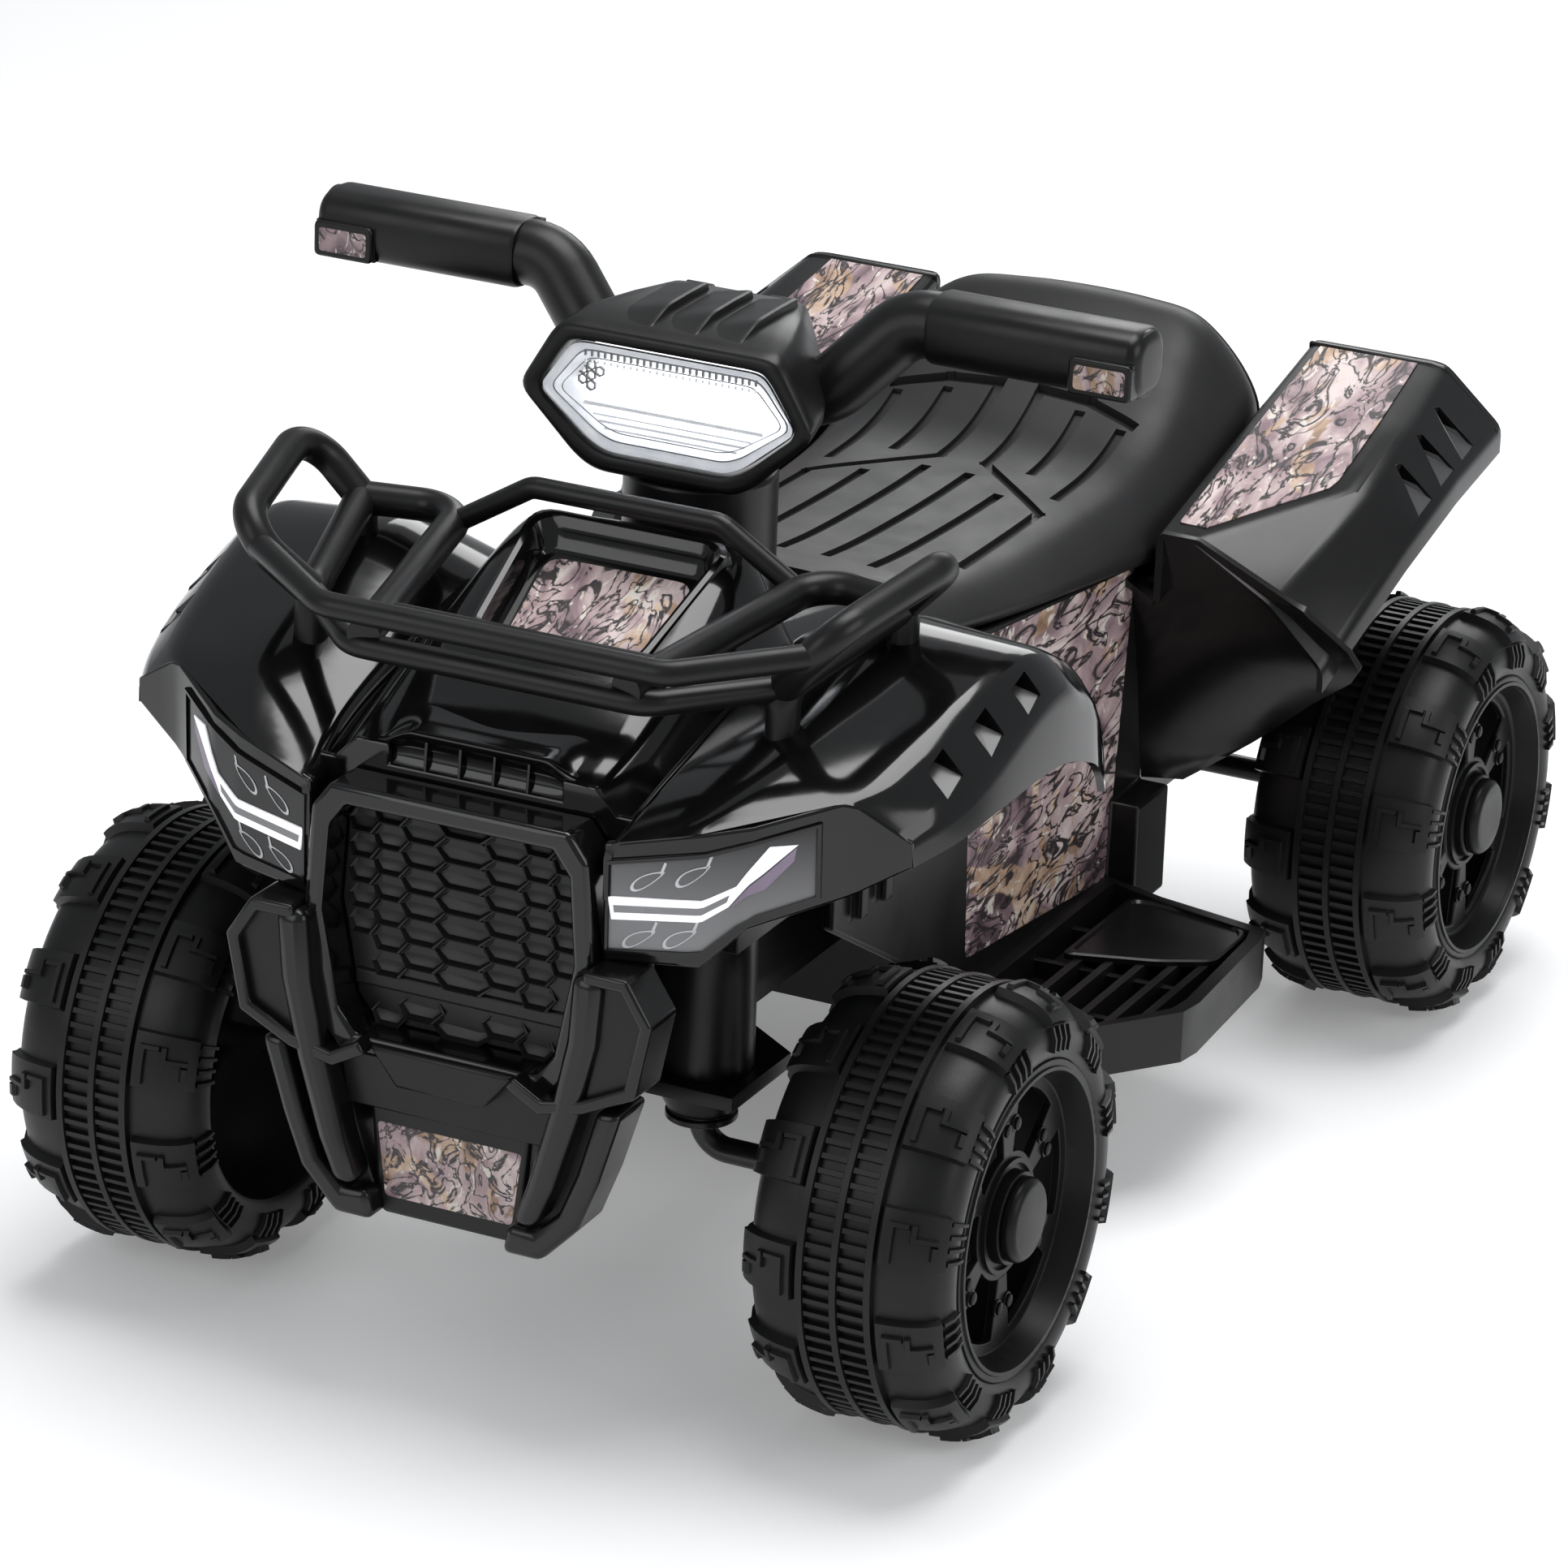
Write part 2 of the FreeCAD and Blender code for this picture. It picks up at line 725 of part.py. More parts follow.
def tyre_body(label):
    """Blow-moulded shell: tread, inner disc and hub tube, open on the outer side for the rim."""
    body = new_body(label)
    crown = d.tyre_radius - d.lug_height
    half = half_tyre - d.lug_overhang
    outer = [tyre_point(r, w, crown, half) for r, w in CARCASS_SHARES]
    inner = [tyre_point(r, -w, crown, half) for r, w in reversed(CARCASS_SHARES)]
    disc_y = d.wheel_disc_inset - half_tyre
    hub_in_y = d.hub_inner_inset - half_tyre
    hub_out_y = half_tyre - d.hub_face_inset
    disc_rim = d.rim_radius - d.wheel_disc_inset
    shell = crown - d.tyre_wall
    hollow_y = half * CARCASS_SHARES[-1][1]
    bead_y = half - d.tyre_wall * BEAD_SHARE
    outline = outer + inner + [
        (disc_rim, disc_y),
        (d.wheel_hub_radius, disc_y),
        (d.wheel_hub_radius, hub_in_y),
        (bore_radius, hub_in_y),
        (bore_radius, hub_out_y),
        (d.wheel_hub_radius, hub_out_y),
        (d.wheel_hub_radius, disc_y + d.tyre_wall),
        (disc_rim, disc_y + d.tyre_wall),
        (d.rim_radius, -bead_y),
        (shell, -hollow_y),
        (shell, hollow_y),
        (d.rim_radius + d.tyre_wall, bead_y),
        (d.rim_radius, bead_y),
    ]
    revolve(body, [outline])
    lug = [tyre_point(r, w, d.tyre_radius, half_tyre) for r, w in LUG_SHARES]
    far_lug = [(radius, -y) for radius, y in lug]
    lugs = revolve(body, [lug, far_lug], LUG_ANGLE)
    ring_pattern(body, lugs, LUG_COUNT)
    return body


def rim_body(label):
    """Dished wheel insert with windows between the spokes and a boss for the hub cap."""
    body = new_body(label)
    outer = d.rim_radius - d.panel_gap
    seat_y = half_tyre - d.hub_face_inset
    disc_y = half_tyre - d.rim_dish - d.rim_wall
    face_y = half_tyre - d.lug_overhang
    boss_y = disc_y + d.rim_wall + d.rim_boss_height
    flange = outer - d.rim_flange_width
    outline = [
        (bore_radius, seat_y),
        (d.wheel_hub_radius, seat_y),
        (d.wheel_hub_radius, disc_y),
        (outer, disc_y),
        (outer, face_y),
        (flange + d.rim_wall, face_y),
        (flange, disc_y + d.rim_wall),
        (d.rim_boss_radius, disc_y + d.rim_wall),
        (d.rim_boss_radius, boss_y),
        (bore_radius, boss_y),
    ]
    revolve(body, [outline])
    window = rectangle(d.rim_window_inner, disc_y - d.cut_overrun, d.rim_window_outer, boss_y + d.cut_overrun)
    sketch = new_sketch(body, "XY_Plane", ZERO, [window])
    cut = body.newObject("PartDesign::Groove", "Window")
    cut.Profile = sketch
    cut.ReferenceAxis = (sketch, ["V_Axis"])
    cut.Angle = RIM_WINDOW_ANGLE
    cut.Midplane = True
    ring_pattern(body, cut, RIM_SPOKES)
    return body


def hub_cap_body(label):
    """Shallow cup that snaps on the boss and hides the axle's end."""
    body = new_body(label)
    low_y = half_tyre - d.rim_dish + d.rim_boss_height
    top_y = low_y + d.hub_cap_height
    wall = d.hub_cap_wall
    outline = [
        (ZERO, top_y - wall),
        (d.hub_cap_radius - wall * 2, top_y - wall),
        (d.hub_cap_radius - wall * 2, low_y),
        (d.hub_cap_radius, low_y),
        (d.hub_cap_radius, top_y - wall),
        (d.hub_cap_radius - wall, top_y),
        (ZERO, top_y),
    ]
    revolve(body, [outline])
    return body


for end, centre_x in (("front", front_x), ("rear", rear_x)):
    for side, hand in (("left", 1), ("right", -1)):
        for make, piece in ((tyre_body, "tyre"), (rim_body, "rim"), (hub_cap_body, "hub_cap")):
            wheel_piece = make(f"{end}_{side}_{piece}")
            place(wheel_piece, centre_x, wheel_y * hand, axle_z)
            if hand < 0:
                wheel_piece.Placement.Rotation = FreeCAD.Rotation(FreeCAD.Vector(0, 0, 1), FULL_TURN / 2)

# Axles and kingpin posts

hub_inner_y = wheel_y - half_tyre + d.hub_inner_inset
boss_face_y = wheel_y + half_tyre - d.rim_dish + d.rim_boss_height
axle_end_y = boss_face_y + d.side_play + d.axle_collar_width


def axle_collar(x, start_y, end_y):
    return rod_solid(d.axle_collar_radius, (x, start_y, axle_z), (x, end_y, axle_z))


def end_collar(x, hand):
    """Push-on stop at the axle's end, under the hub cap."""
    return axle_collar(x, (boss_face_y + d.side_play) * hand, axle_end_y * hand)


def inner_collar(x, hand):
    """Swaged stop on the inner side of the hub."""
    stop_y = hub_inner_y - d.side_play
    return axle_collar(x, (stop_y - d.axle_collar_width) * hand, stop_y * hand)


def knuckle_rod(side, hand):
    """Steel rod bent from the upright kingpin to the wheel's axle."""
    pin_y = d.kingpin_offset * hand
    top = lever_z + d.lever_thickness
    route = [(front_x, pin_y, top), (front_x, pin_y, axle_z), (front_x, axle_end_y * hand, axle_z)]
    rod = tube_solid(route, d.axle_bend_radius, d.axle_radius)
    collars = [end_collar(front_x, hand), inner_collar(front_x, hand)]
    return solid_node(f"knuckle_rod_{side}", rod.fuse(collars))


def kingpin_post(side, hand):
    """Moulded sleeve with a tapered nose and a flange, bored for the kingpin."""
    body = new_body(f"kingpin_post_{side}")
    flange_z = d.post_bottom_z + d.post_flange_height
    outline = [
        (bore_radius, d.post_bottom_z),
        (d.post_flange_radius, d.post_bottom_z),
        (d.post_flange_radius, flange_z),
        (d.post_nose_radius, flange_z),
        (d.post_radius, flange_z + d.post_taper),
        (d.post_radius, d.post_top_z),
        (bore_radius, d.post_top_z),
    ]
    revolve_upright(body, outline)
    place(body, front_x, d.kingpin_offset * hand, ZERO)


def pinned_plate(label, x, y, reach, eye_bore, low_z):
    """Flat arm with an eye at the shaft and a shouldered pin at its far end."""
    body = new_body(label)
    top = low_z + d.lever_thickness
    half = d.lever_half_width
    pin_x = x + reach
    pad(body, "XY_Plane", low_z, d.lever_thickness, circles=[(x, y, d.lever_eye_radius)])
    pad(body, "XY_Plane", low_z, d.lever_thickness, [rectangle(x, y - half, pin_x, y + half)])
    pad(body, "XY_Plane", low_z, d.lever_thickness, circles=[(pin_x, y, half)])
    pad(body, "XY_Plane", top, d.link_shoulder_height, circles=[(pin_x, y, d.link_shoulder_radius)])
    pin_height = d.link_shoulder_height + d.link_thickness + d.link_pin_spare
    pad(body, "XY_Plane", top, pin_height, circles=[(pin_x, y, d.link_pin_radius)])
    through = d.lever_thickness + d.cut_overrun * 2
    pocket(body, "XY_Plane", low_z - d.cut_overrun, through, circles=[(x, y, eye_bore)])
    return body


for side, hand in (("left", 1), ("right", -1)):
    knuckle_rod(side, hand)
    kingpin_post(side, hand)
    pin_y = d.kingpin_offset * hand
    pinned_plate(f"steering_lever_{side}", front_x, pin_y, d.steering_arm, bore_radius, lever_z)

rear_axle = rod_solid(d.axle_radius, (rear_x, -axle_end_y, axle_z), (rear_x, axle_end_y, axle_z))
rear_stops = [end_collar(rear_x, 1), inner_collar(rear_x, 1), end_collar(rear_x, -1)]
solid_node("rear_axle", rear_axle.fuse(rear_stops))


# Steering linkage

def tie_link():
    """Flat T: a bar between the two levers and a tongue back to the column's arm, slotted at each pin."""
    body = new_body("tie_link")
    low = link_z + d.panel_gap
    bar_x = front_x + d.steering_arm
    tongue_x = d.column_x + d.steering_arm
    half_bar = d.link_bar_width / 2
    end_y = d.kingpin_offset + half_bar
    bar = rectangle(bar_x - half_bar, -end_y, bar_x + half_bar, end_y)
    tongue = rectangle(tongue_x - half_bar, -half_bar, bar_x, half_bar)
    for plate in (bar, tongue):
        pad(body, "XY_Plane", low, d.link_thickness, [plate])
    half_slot = d.link_pin_radius + d.link_slot_play
    for x, y in ((bar_x, d.kingpin_offset), (bar_x, -d.kingpin_offset), (tongue_x, ZERO)):
        slot = rectangle(x - d.link_slot_reach, y - half_slot, x + d.link_slot_reach, y + half_slot)
        pocket(body, "XY_Plane", low - d.cut_overrun, d.link_thickness + d.cut_overrun * 2, [slot])


tie_link()
pinned_plate("steering_arm", d.column_x, ZERO, d.steering_arm, d.axle_radius, lever_z)

column_foot = (d.column_x, ZERO, d.column_low_z)
column_head = (d.column_x, ZERO, d.pod_low_z + d.column_top_gap)
solid_node("steering_column", rod_solid(d.axle_radius, column_foot, column_head))


# Chassis

def tray_outline(inset):
    tail_x = rear_x - d.tray_tail_reach + inset
    shoulder_rear = rear_x + d.tray_shoulder_gap - d.tray_shoulder_length + inset
    shoulder_front = rear_x + d.tray_shoulder_gap + inset
    return [
        (tray_front_x - inset, d.tray_half_width - inset),
        (shoulder_front, d.tray_half_width - inset),
        (shoulder_rear, d.tray_tail_half_width - inset),
        (tail_x, d.tray_tail_half_width - inset),
        (tail_x, inset - d.tray_tail_half_width),
        (shoulder_rear, inset - d.tray_tail_half_width),
        (shoulder_front, inset - d.tray_half_width),
        (tray_front_x - inset, inset - d.tray_half_width),
    ]


def chassis_tray():
    """Open tub that carries the battery and the drive, with a narrow tail round the rear axle."""
    body = new_body("chassis_tray")
    pad(body, "XY_Plane", d.floor_z, d.tray_height, [tray_outline(ZERO)])
    pocket(body, "XY_Plane", d.floor_z + d.floor_thickness, d.tray_height, [tray_outline(d.tray_wall)])
    left_y = -d.cut_overrun
    through = d.tray_tail_half_width + d.cut_overrun * 2
    pocket(body, "XZ_Plane", left_y, through, circles=[(rear_x, axle_z, bore_radius)])
    sleeve_hole = d.sleeve_radius + d.panel_gap
    pocket(body, "XZ_Plane", -through, through + d.cut_overrun, circles=[(rear_x, axle_z, sleeve_hole)])


def front_subframe():
    """Hollow spine from the tray to the grille, with a deck and gussets that hold the kingpin posts."""
    body = new_body("front_subframe")
    height = d.subframe_top_z - d.subframe_low_z
    half = d.subframe_half_width
    pad(body, "XY_Plane", d.subframe_low_z, height, [rectangle(tray_front_x, -half, grille_back_x, half)])
    wall = d.subframe_wall
    hollow = rectangle(tray_front_x + wall, wall - half, grille_back_x - wall, half - wall)
    reach_y = d.kingpin_offset + d.wing_reach
    deck = rectangle(front_x - d.wing_half_length, -reach_y, front_x + d.wing_half_length, reach_y)
    pad(body, "XY_Plane", d.subframe_top_z - d.wing_plate, d.wing_plate, [deck])
    for hand in (1, -1):
        root_y = half * hand
        tip_y = reach_y * hand
        gusset = [
            (front_x - d.gusset_length, root_y),
            (front_x + d.wing_half_length, root_y),
            (front_x + d.wing_half_length, tip_y),
            (front_x - d.wing_half_length, tip_y),
        ]
        pad(body, "XY_Plane", d.gusset_z + d.gusset_plate, d.gusset_plate, [gusset])
    pocket(body, "XY_Plane", d.subframe_low_z - d.cut_overrun, height - wall + d.cut_overrun, [hollow])
    socket = d.post_radius + d.post_socket_gap
    holes = [(front_x, d.kingpin_offset * hand, socket) for hand in (1, -1)]
    for hole in holes + [(d.column_x, ZERO, bore_radius)]:
        pocket(body, "XY_Plane", d.subframe_low_z, height + d.cut_overrun, circles=[hole])


chassis_tray()
front_subframe()


# Body sides

def body_side(side, hand):
    """Side wall from the nose box to the tail, with the pillar beside the footboard."""
    body = new_body(f"body_side_{side}")
    inner_y = d.tray_half_width if hand > 0 else -side_outer_y
    tail_x = rear_x - d.tray_tail_reach
    rear_low_x = -d.pillar_rear_x
    outline = [
        (rear_low_x, d.floor_z),
        (board_front_x, d.floor_z),
        (board_front_x, d.side_knee_z),
        (side_front_x, d.side_nose_low_z),
        (side_front_x, d.side_nose_z),
        (seat_front_x, d.side_front_z),
        (-d.side_break_x, d.side_rear_z),
        (tail_x, d.side_rear_z),
        (tail_x, d.side_tail_low_z),
        (rear_low_x, d.side_tail_low_z),
    ]
    pad(body, "XZ_Plane", inner_y, d.side_wall, [outline])
    # ledge on the tray's tail and half of the tail wall
    ledge_y = d.tray_tail_half_width - d.tray_wall
    ledge_width = d.tray_half_width - ledge_y
    ledge_start = ledge_y if hand > 0 else -d.tray_half_width
    ledge = rectangle(tail_x, d.side_tail_low_z, rear_low_x, d.side_tail_low_z + d.side_wall)
    pad(body, "XZ_Plane", ledge_start, ledge_width, [ledge])
    tail_wall = rectangle(tail_x, d.side_tail_low_z, tail_x + d.side_wall, d.side_rear_z)
    seam_y = d.panel_gap / 2
    wall_start = seam_y if hand > 0 else -d.tray_half_width
    pad(body, "XZ_Plane", wall_start, d.tray_half_width - seam_y, [tail_wall])
    pillar = rectangle(rear_low_x, d.floor_z, -d.pillar_front_x, d.pillar_top_z)
    outer_y = side_outer_y if hand > 0 else -side_outer_y - d.pillar_depth
    pad(body, "XZ_Plane", outer_y, d.pillar_depth, [pillar])
    rib_y = side_outer_y if hand > 0 else -side_outer_y - d.side_rib_depth
    for step in (1, 2):
        rib_x = side_front_x - d.side_rib_pitch * step
        rib = rectangle(rib_x, d.side_nose_low_z, rib_x + d.side_rib_width, d.fender_low_z)
        pad(body, "XZ_Plane", rib_y, d.side_rib_depth, [rib])
    if hand < 0:
        start_y = -side_outer_y - d.cut_overrun
        hole = (d.socket_x, d.socket_z, d.socket_radius + d.panel_gap)
        pocket(body, "XZ_Plane", start_y, d.side_wall + d.cut_overrun * 2, circles=[hole])


def board_outline(hand, inset):
    """Footboard plan, drawn in by an inset from its edges."""
    inner_y = side_outer_y + inset
    reach = d.board_width - inset * 2
    run = d.board_length - inset * 2
    start = board_rear_x + inset
    return [(start + run * along, (inner_y + reach * across) * hand) for along, across in BOARD_SHARES]


def footboard(side, hand):
    """Foot tray: a floor, a raised rim and a lattice of ribs."""
    body = new_body(f"footboard_{side}")
    height = d.board_top_z - d.board_bottom_z
    well = board_outline(hand, d.board_rim)
    pad(body, "XY_Plane", d.board_bottom_z, height, [board_outline(hand, ZERO)])
    pocket(body, "XY_Plane", d.board_bottom_z + d.board_floor, height, [well])
    rib_z = d.board_bottom_z + d.board_floor
    rib_height = height - d.board_floor - d.board_rib_drop
    run = d.board_length - d.board_rim * 2
    start_x = board_rear_x + d.board_rim
    near_y = side_outer_y + d.board_rim
    span = d.board_width - d.board_rim * 2
    for across in BOARD_RIB_SHARES:
        low_y = (near_y + span * across) * hand
        high_y = low_y + d.board_rib_width * hand
        near, far = [
            start_x + run * (first + lean * across)
            for first, lean in (BOARD_RIB_START_SHARES, BOARD_RIB_END_SHARES)
        ]
        pad(body, "XY_Plane", rib_z, rib_height, [rectangle(near, low_y, far, high_y)])
    for along in BOARD_CROSS_SHARES:
        low_x = start_x + run * along
        far_y = near_y + span * BOARD_CROSS_REACH_SHARE
        bar = rectangle(low_x, near_y * hand, low_x + d.board_rib_width, far_y * hand)
        pad(body, "XY_Plane", rib_z, rib_height - d.board_rib_drop, [bar])


for side, hand in (("left", 1), ("right", -1)):
    body_side(side, hand)
    footboard(side, hand)


# Hood and dash

def hat_section(low_z, top_z, low_half, top_half, wall):
    """Thin open-bottomed section of a hood, closed as an outline."""
    half_wall = wall / 2
    return [
        (low_half, low_z),
        (top_half, top_z),
        (-top_half, top_z),
        (-low_half, low_z),
        (wall - low_half, low_z),
        (half_wall - top_half, top_z - wall),
        (top_half - half_wall, top_z - wall),
        (low_half - wall, low_z),
    ]


def hood_station(along, low, top, low_half, top_half):
    section = hat_section(
        d.hood_low_z + d.hood_rise * low,
        d.hood_low_z + d.hood_rise * top,
        d.hood_half_width * low_half,
        d.hood_half_width * top_half,
        d.panel_wall,
    )
    return hood_rear_x + hood_length * along, section


def front_cover():
    """Hood with a rimmed pan and a ribbed scoop, and the dash round the steering neck."""
    body = new_body("front_cover")
    loft(body, "YZ_Plane", [hood_station(*row) for row in HOOD_SHARES])
    rear = HOOD_SHARES[0]
    low_z = d.hood_low_z + d.hood_rise * rear[1]
    top_z = d.hood_low_z + d.hood_rise * rear[2]
    dash_low_z = d.dash_front_z - d.dash_flank_drop
    back_wall = mirrored([
        (d.hood_half_width * rear[4], top_z),
        (d.hood_half_width * rear[3], low_z),
        (d.dash_half_width, dash_low_z),
    ])
    pad(body, "YZ_Plane", hood_rear_x, d.panel_wall, [back_wall])
    dash_top = d.hood_half_width * rear[4]
    low_share, top_share = DASH_REAR_SHARES
    stations = (
        (dash_rear_x, d.dash_rear_z, d.dash_half_width * low_share, dash_top * top_share),
        (hood_rear_x + d.panel_wall, d.dash_front_z, d.dash_half_width, dash_top),
    )
    dash = [(x, hat_section(z - d.dash_flank_drop, z, low, top, d.panel_wall)) for x, z, low, top in stations]
    loft(body, "YZ_Plane", dash)
    hole = d.neck_radius + d.neck_hole_gap
    pocket(body, "XY_Plane", d.fender_low_z, d.hood_rise * 2, circles=[(d.column_x, ZERO, hole)])
    # the pan: a block hung under the hood, then hollowed to a sloping floor
    pan_rear_x = hood_rear_x + d.hood_pan_setback
    pan_front_x = pan_rear_x + d.hood_pan_length
    rim_rear_z, rim_front_z = [d.hood_low_z + d.hood_rise * share for share in PAN_RIM_SHARES]
    half = d.hood_pan_half_width
    depth = d.hood_pan_depth
    wall = d.hood_pan_wall
    block = [
        (pan_rear_x, rectangle(-half, rim_rear_z - depth - wall, half, rim_rear_z - d.panel_wall / 2)),
        (pan_front_x, rectangle(-half, rim_front_z - depth - wall, half, rim_front_z - d.panel_wall / 2)),
    ]
    loft(body, "YZ_Plane", block)
    over = d.cut_overrun * 2
    inner = half - wall
    tip = inner * PAN_TAPER_SHARE
    well = [
        (pan_rear_x + wall, rectangle(-inner, rim_rear_z - depth, inner, rim_rear_z + over)),
        (pan_front_x - wall, rectangle(-tip, rim_front_z - depth, tip, rim_front_z + over)),
    ]
    loft(body, "YZ_Plane", well, "PartDesign::SubtractiveLoft")
    # the scoop: slots above the grille with ribs left standing over a shelf
    scoop_x = hood_front_x - d.scoop_length
    rib_pitch = d.scoop_half_width * 2 / SCOOP_SLOTS
    low_z = d.hood_low_z + d.hood_rise * HOOD_SHARES[-1][2]
    for step in range(SCOOP_SLOTS):
        low_y = rib_pitch * step - d.scoop_half_width
        slot = rectangle(low_y, low_z - d.scoop_depth, low_y + rib_pitch - d.scoop_rib_width, low_z + over)
        pocket(body, "YZ_Plane", scoop_x + d.scoop_length / 2, d.scoop_length, [slot])
    shelf_half = d.hood_half_width * HOOD_SHARES[-1][3] - d.panel_wall / 2
    shelf = rectangle(scoop_x, -shelf_half, hood_front_x, shelf_half)
    pad(body, "XY_Plane", d.hood_low_z + d.panel_wall, d.panel_wall, [shelf])


front_cover()


# Front fenders

def fender_section(row):
    heights = [d.fender_low_z + d.fender_rise * share for share in row[1:6]]
    widths = [fender_inner_y] + [fender_inner_y + d.fender_width * share for share in row[6:]]
    wall = d.fender_wall
    top = list(zip(widths, heights))
    under = [
        (widths[4] - wall, heights[4]),
        (widths[3] - wall, heights[3] - wall * FENDER_LEAN_SHARE),
        (widths[2] - wall * FENDER_LEAN_SHARE, heights[2] - wall),
        (widths[1], heights[1] - wall),
        (widths[0], heights[0] - wall),
    ]
    return fender_rear_x + d.fender_length * row[0], top + under


def blend_rows(rows, at):
    """The row that a station table gives between its own rows."""
    near, far = next(pair for pair in zip(rows, rows[1:]) if at <= pair[1][0])
    share = (at - near[0]) / (far[0] - near[0])
    return [a + (b - a) * share for a, b in zip(near, far)]


def face_station(row, offset, wall, hand):
    """One upright slice of the fender's front face, moved forward by an offset."""
    across, top_sweep, low_sweep, top, low = row
    y = (d.grille_half_width + d.panel_gap * 2 + d.face_width * across) * hand
    top_x = fender_front_x - d.face_sweep * top_sweep + offset
    low_x = fender_front_x - d.face_sweep * low_sweep + offset
    top_z = d.face_low_z + d.face_height * top
    low_z = d.face_low_z + d.face_height * low
    return y, [(low_x, low_z), (top_x, top_z), (top_x - wall, top_z), (low_x - wall, low_z)]


def front_fender(side, hand):
    """Arched guard: crowned top, vented outer bevel, turned-down tail and a forward face."""
    body = new_body(f"front_fender_{side}")
    sections = []
    for row in FENDER_SHARES:
        x, outline = fender_section(row)
        sections.append((x, [(y * hand, z) for y, z in outline]))
    loft(body, "YZ_Plane", sections)
    # trim the top along the front face's upper edge
    slices = [face_station(row, ZERO, d.face_wall, hand) for row in FACE_SHARES]
    edge = [(corners[1][0] - d.face_wall / 2, y) for y, corners in slices]
    inner_y = (fender_inner_y - d.cut_overrun) * hand
    beyond_y = (fender_inner_y + d.fender_width + d.cut_overrun) * hand
    beyond_x = fender_front_x + d.cut_overrun
    ahead = [(edge[-1][0], beyond_y), (beyond_x, beyond_y), (beyond_x, inner_y), (edge[0][0], inner_y)]
    pocket(body, "XY_Plane", d.face_low_z, d.fender_rise * 2, [edge + ahead])
    # triangular vents through the bevel
    for step in range(VENT_COUNT):
        vent_x = front_x + d.vent_pitch * (VENT_LEAD_SHARE - step)
        row = blend_rows(FENDER_SHARES, (vent_x - fender_rear_x).value / d.fender_length.value)
        low_y = fender_inner_y + d.fender_width * row[7] + d.vent_inset
        vent = [
            (vent_x + d.vent_length * along, (low_y + d.vent_depth * across) * hand)
            for along, across in VENT_SHARES
        ]
        pocket(body, "XY_Plane", d.fender_low_z, d.fender_rise * 2, [vent])
    loft(body, "XZ_Plane", slices)


def light_panel(side, hand):
    """Clear-faced light insert on the fender's front face."""
    body = new_body(f"light_panel_{side}")
    front = d.light_panel_wall
    low_edge, top_edge = LIGHT_EDGE_SHARES
    slices = []
    for at in LIGHT_ACROSS_SHARES:
        across, top_sweep, low_sweep, top, low = blend_rows(FACE_SHARES, at)
        sweeps = [low_sweep + (top_sweep - low_sweep) * edge for edge in (top_edge, low_edge)]
        heights = [low + (top - low) * edge for edge in (top_edge, low_edge)]
        slices.append(face_station([across] + sweeps + heights, front, d.light_panel_wall, hand))
    loft(body, "XZ_Plane", slices)


for side, hand in (("left", 1), ("right", -1)):
    front_fender(side, hand)
    light_panel(side, hand)


# Rear fenders

def wing_section(row):
    along, inner, panel, ridge, lip, skirt, panel_y, ridge_y, lip_y = row
    z0, z1, z2, z3, z4 = [d.wing_low_z + d.wing_rise * share for share in (inner, panel, ridge, lip, skirt)]
    y1, y2, y3 = [d.wing_inner_y + d.wing_width * share for share in (panel_y, ridge_y, lip_y)]
    wall = d.wing_wall
    seat_y = d.wing_inner_y - wall
    root_y = side_outer_y
    flange_z = d.wing_flange_z
    outline = [
        (root_y, flange_z + wall),
        (seat_y, flange_z + wall),
        (seat_y, z0),
        (y1, z1),
        (y2, z2),
        (y3, z3),
        (y3, z4),
        (y3 - wall, z4),
        (y3 - wall, z3 - wall * WING_LEAN_SHARE),
        (y2 - wall * WING_LEAN_SHARE, z2 - wall),
        (y1, z1 - wall),
        (d.wing_inner_y, z0 - wall),
        (d.wing_inner_y, flange_z),
        (root_y, flange_z),
    ]
    return wing_front_x - d.wing_length * along, outline


def wing_plate_slice(row, hand):
    """One level slice of the fender's forward plate."""
    height, inner_back, outer_back, near, far = row
    top_z = d.wing_low_z + d.wing_rise * WING_SHARES[0][1]
    z = d.pillar_top_z + d.panel_gap + (top_z - d.pillar_top_z) * height
    inner_x = wing_front_x - d.wing_length * inner_back
    outer_x = wing_front_x - d.wing_length * outer_back
    inner_y = (side_outer_y + (d.wing_width + d.wing_wall) * near) * hand
    outer_y = (side_outer_y + (d.wing_width + d.wing_wall) * far) * hand
    wall = d.wing_plate_wall
    return z, [(inner_x, inner_y), (outer_x, outer_y), (outer_x - wall, outer_y), (inner_x - wall, inner_y)]


def rear_fender(side, hand):
    """Faceted wing over the rear wheel with a vented bevel and a forward plate down to the pillar."""
    body = new_body(f"rear_fender_{side}")
    sections = []
    for row in WING_SHARES:
        x, outline = wing_section(row)
        sections.append((x, [(y * hand, z) for y, z in outline]))
    loft(body, "YZ_Plane", sections)
    loft(body, "XY_Plane", [wing_plate_slice(row, hand) for row in WING_PLATE_SHARES])
    for step in range(VENT_COUNT):
        vent_x = wing_front_x - d.wing_length * WING_VENT_START_SHARE + d.wing_vent_pitch * step
        ridge_y, lip_y = [(d.wing_inner_y + d.wing_width * share) * hand for share in WING_VENT_EDGE_SHARES]
        vent = [
            (vent_x, ridge_y),
            (vent_x + d.wing_vent_length, lip_y),
            (vent_x - d.wing_vent_length * WING_VENT_BACK_SHARE, lip_y),
        ]
        pocket(body, "XY_Plane", d.wing_flange_z, d.wing_rise, [vent])


for side, hand in (("left", 1), ("right", -1)):
    rear_fender(side, hand)


# Seat

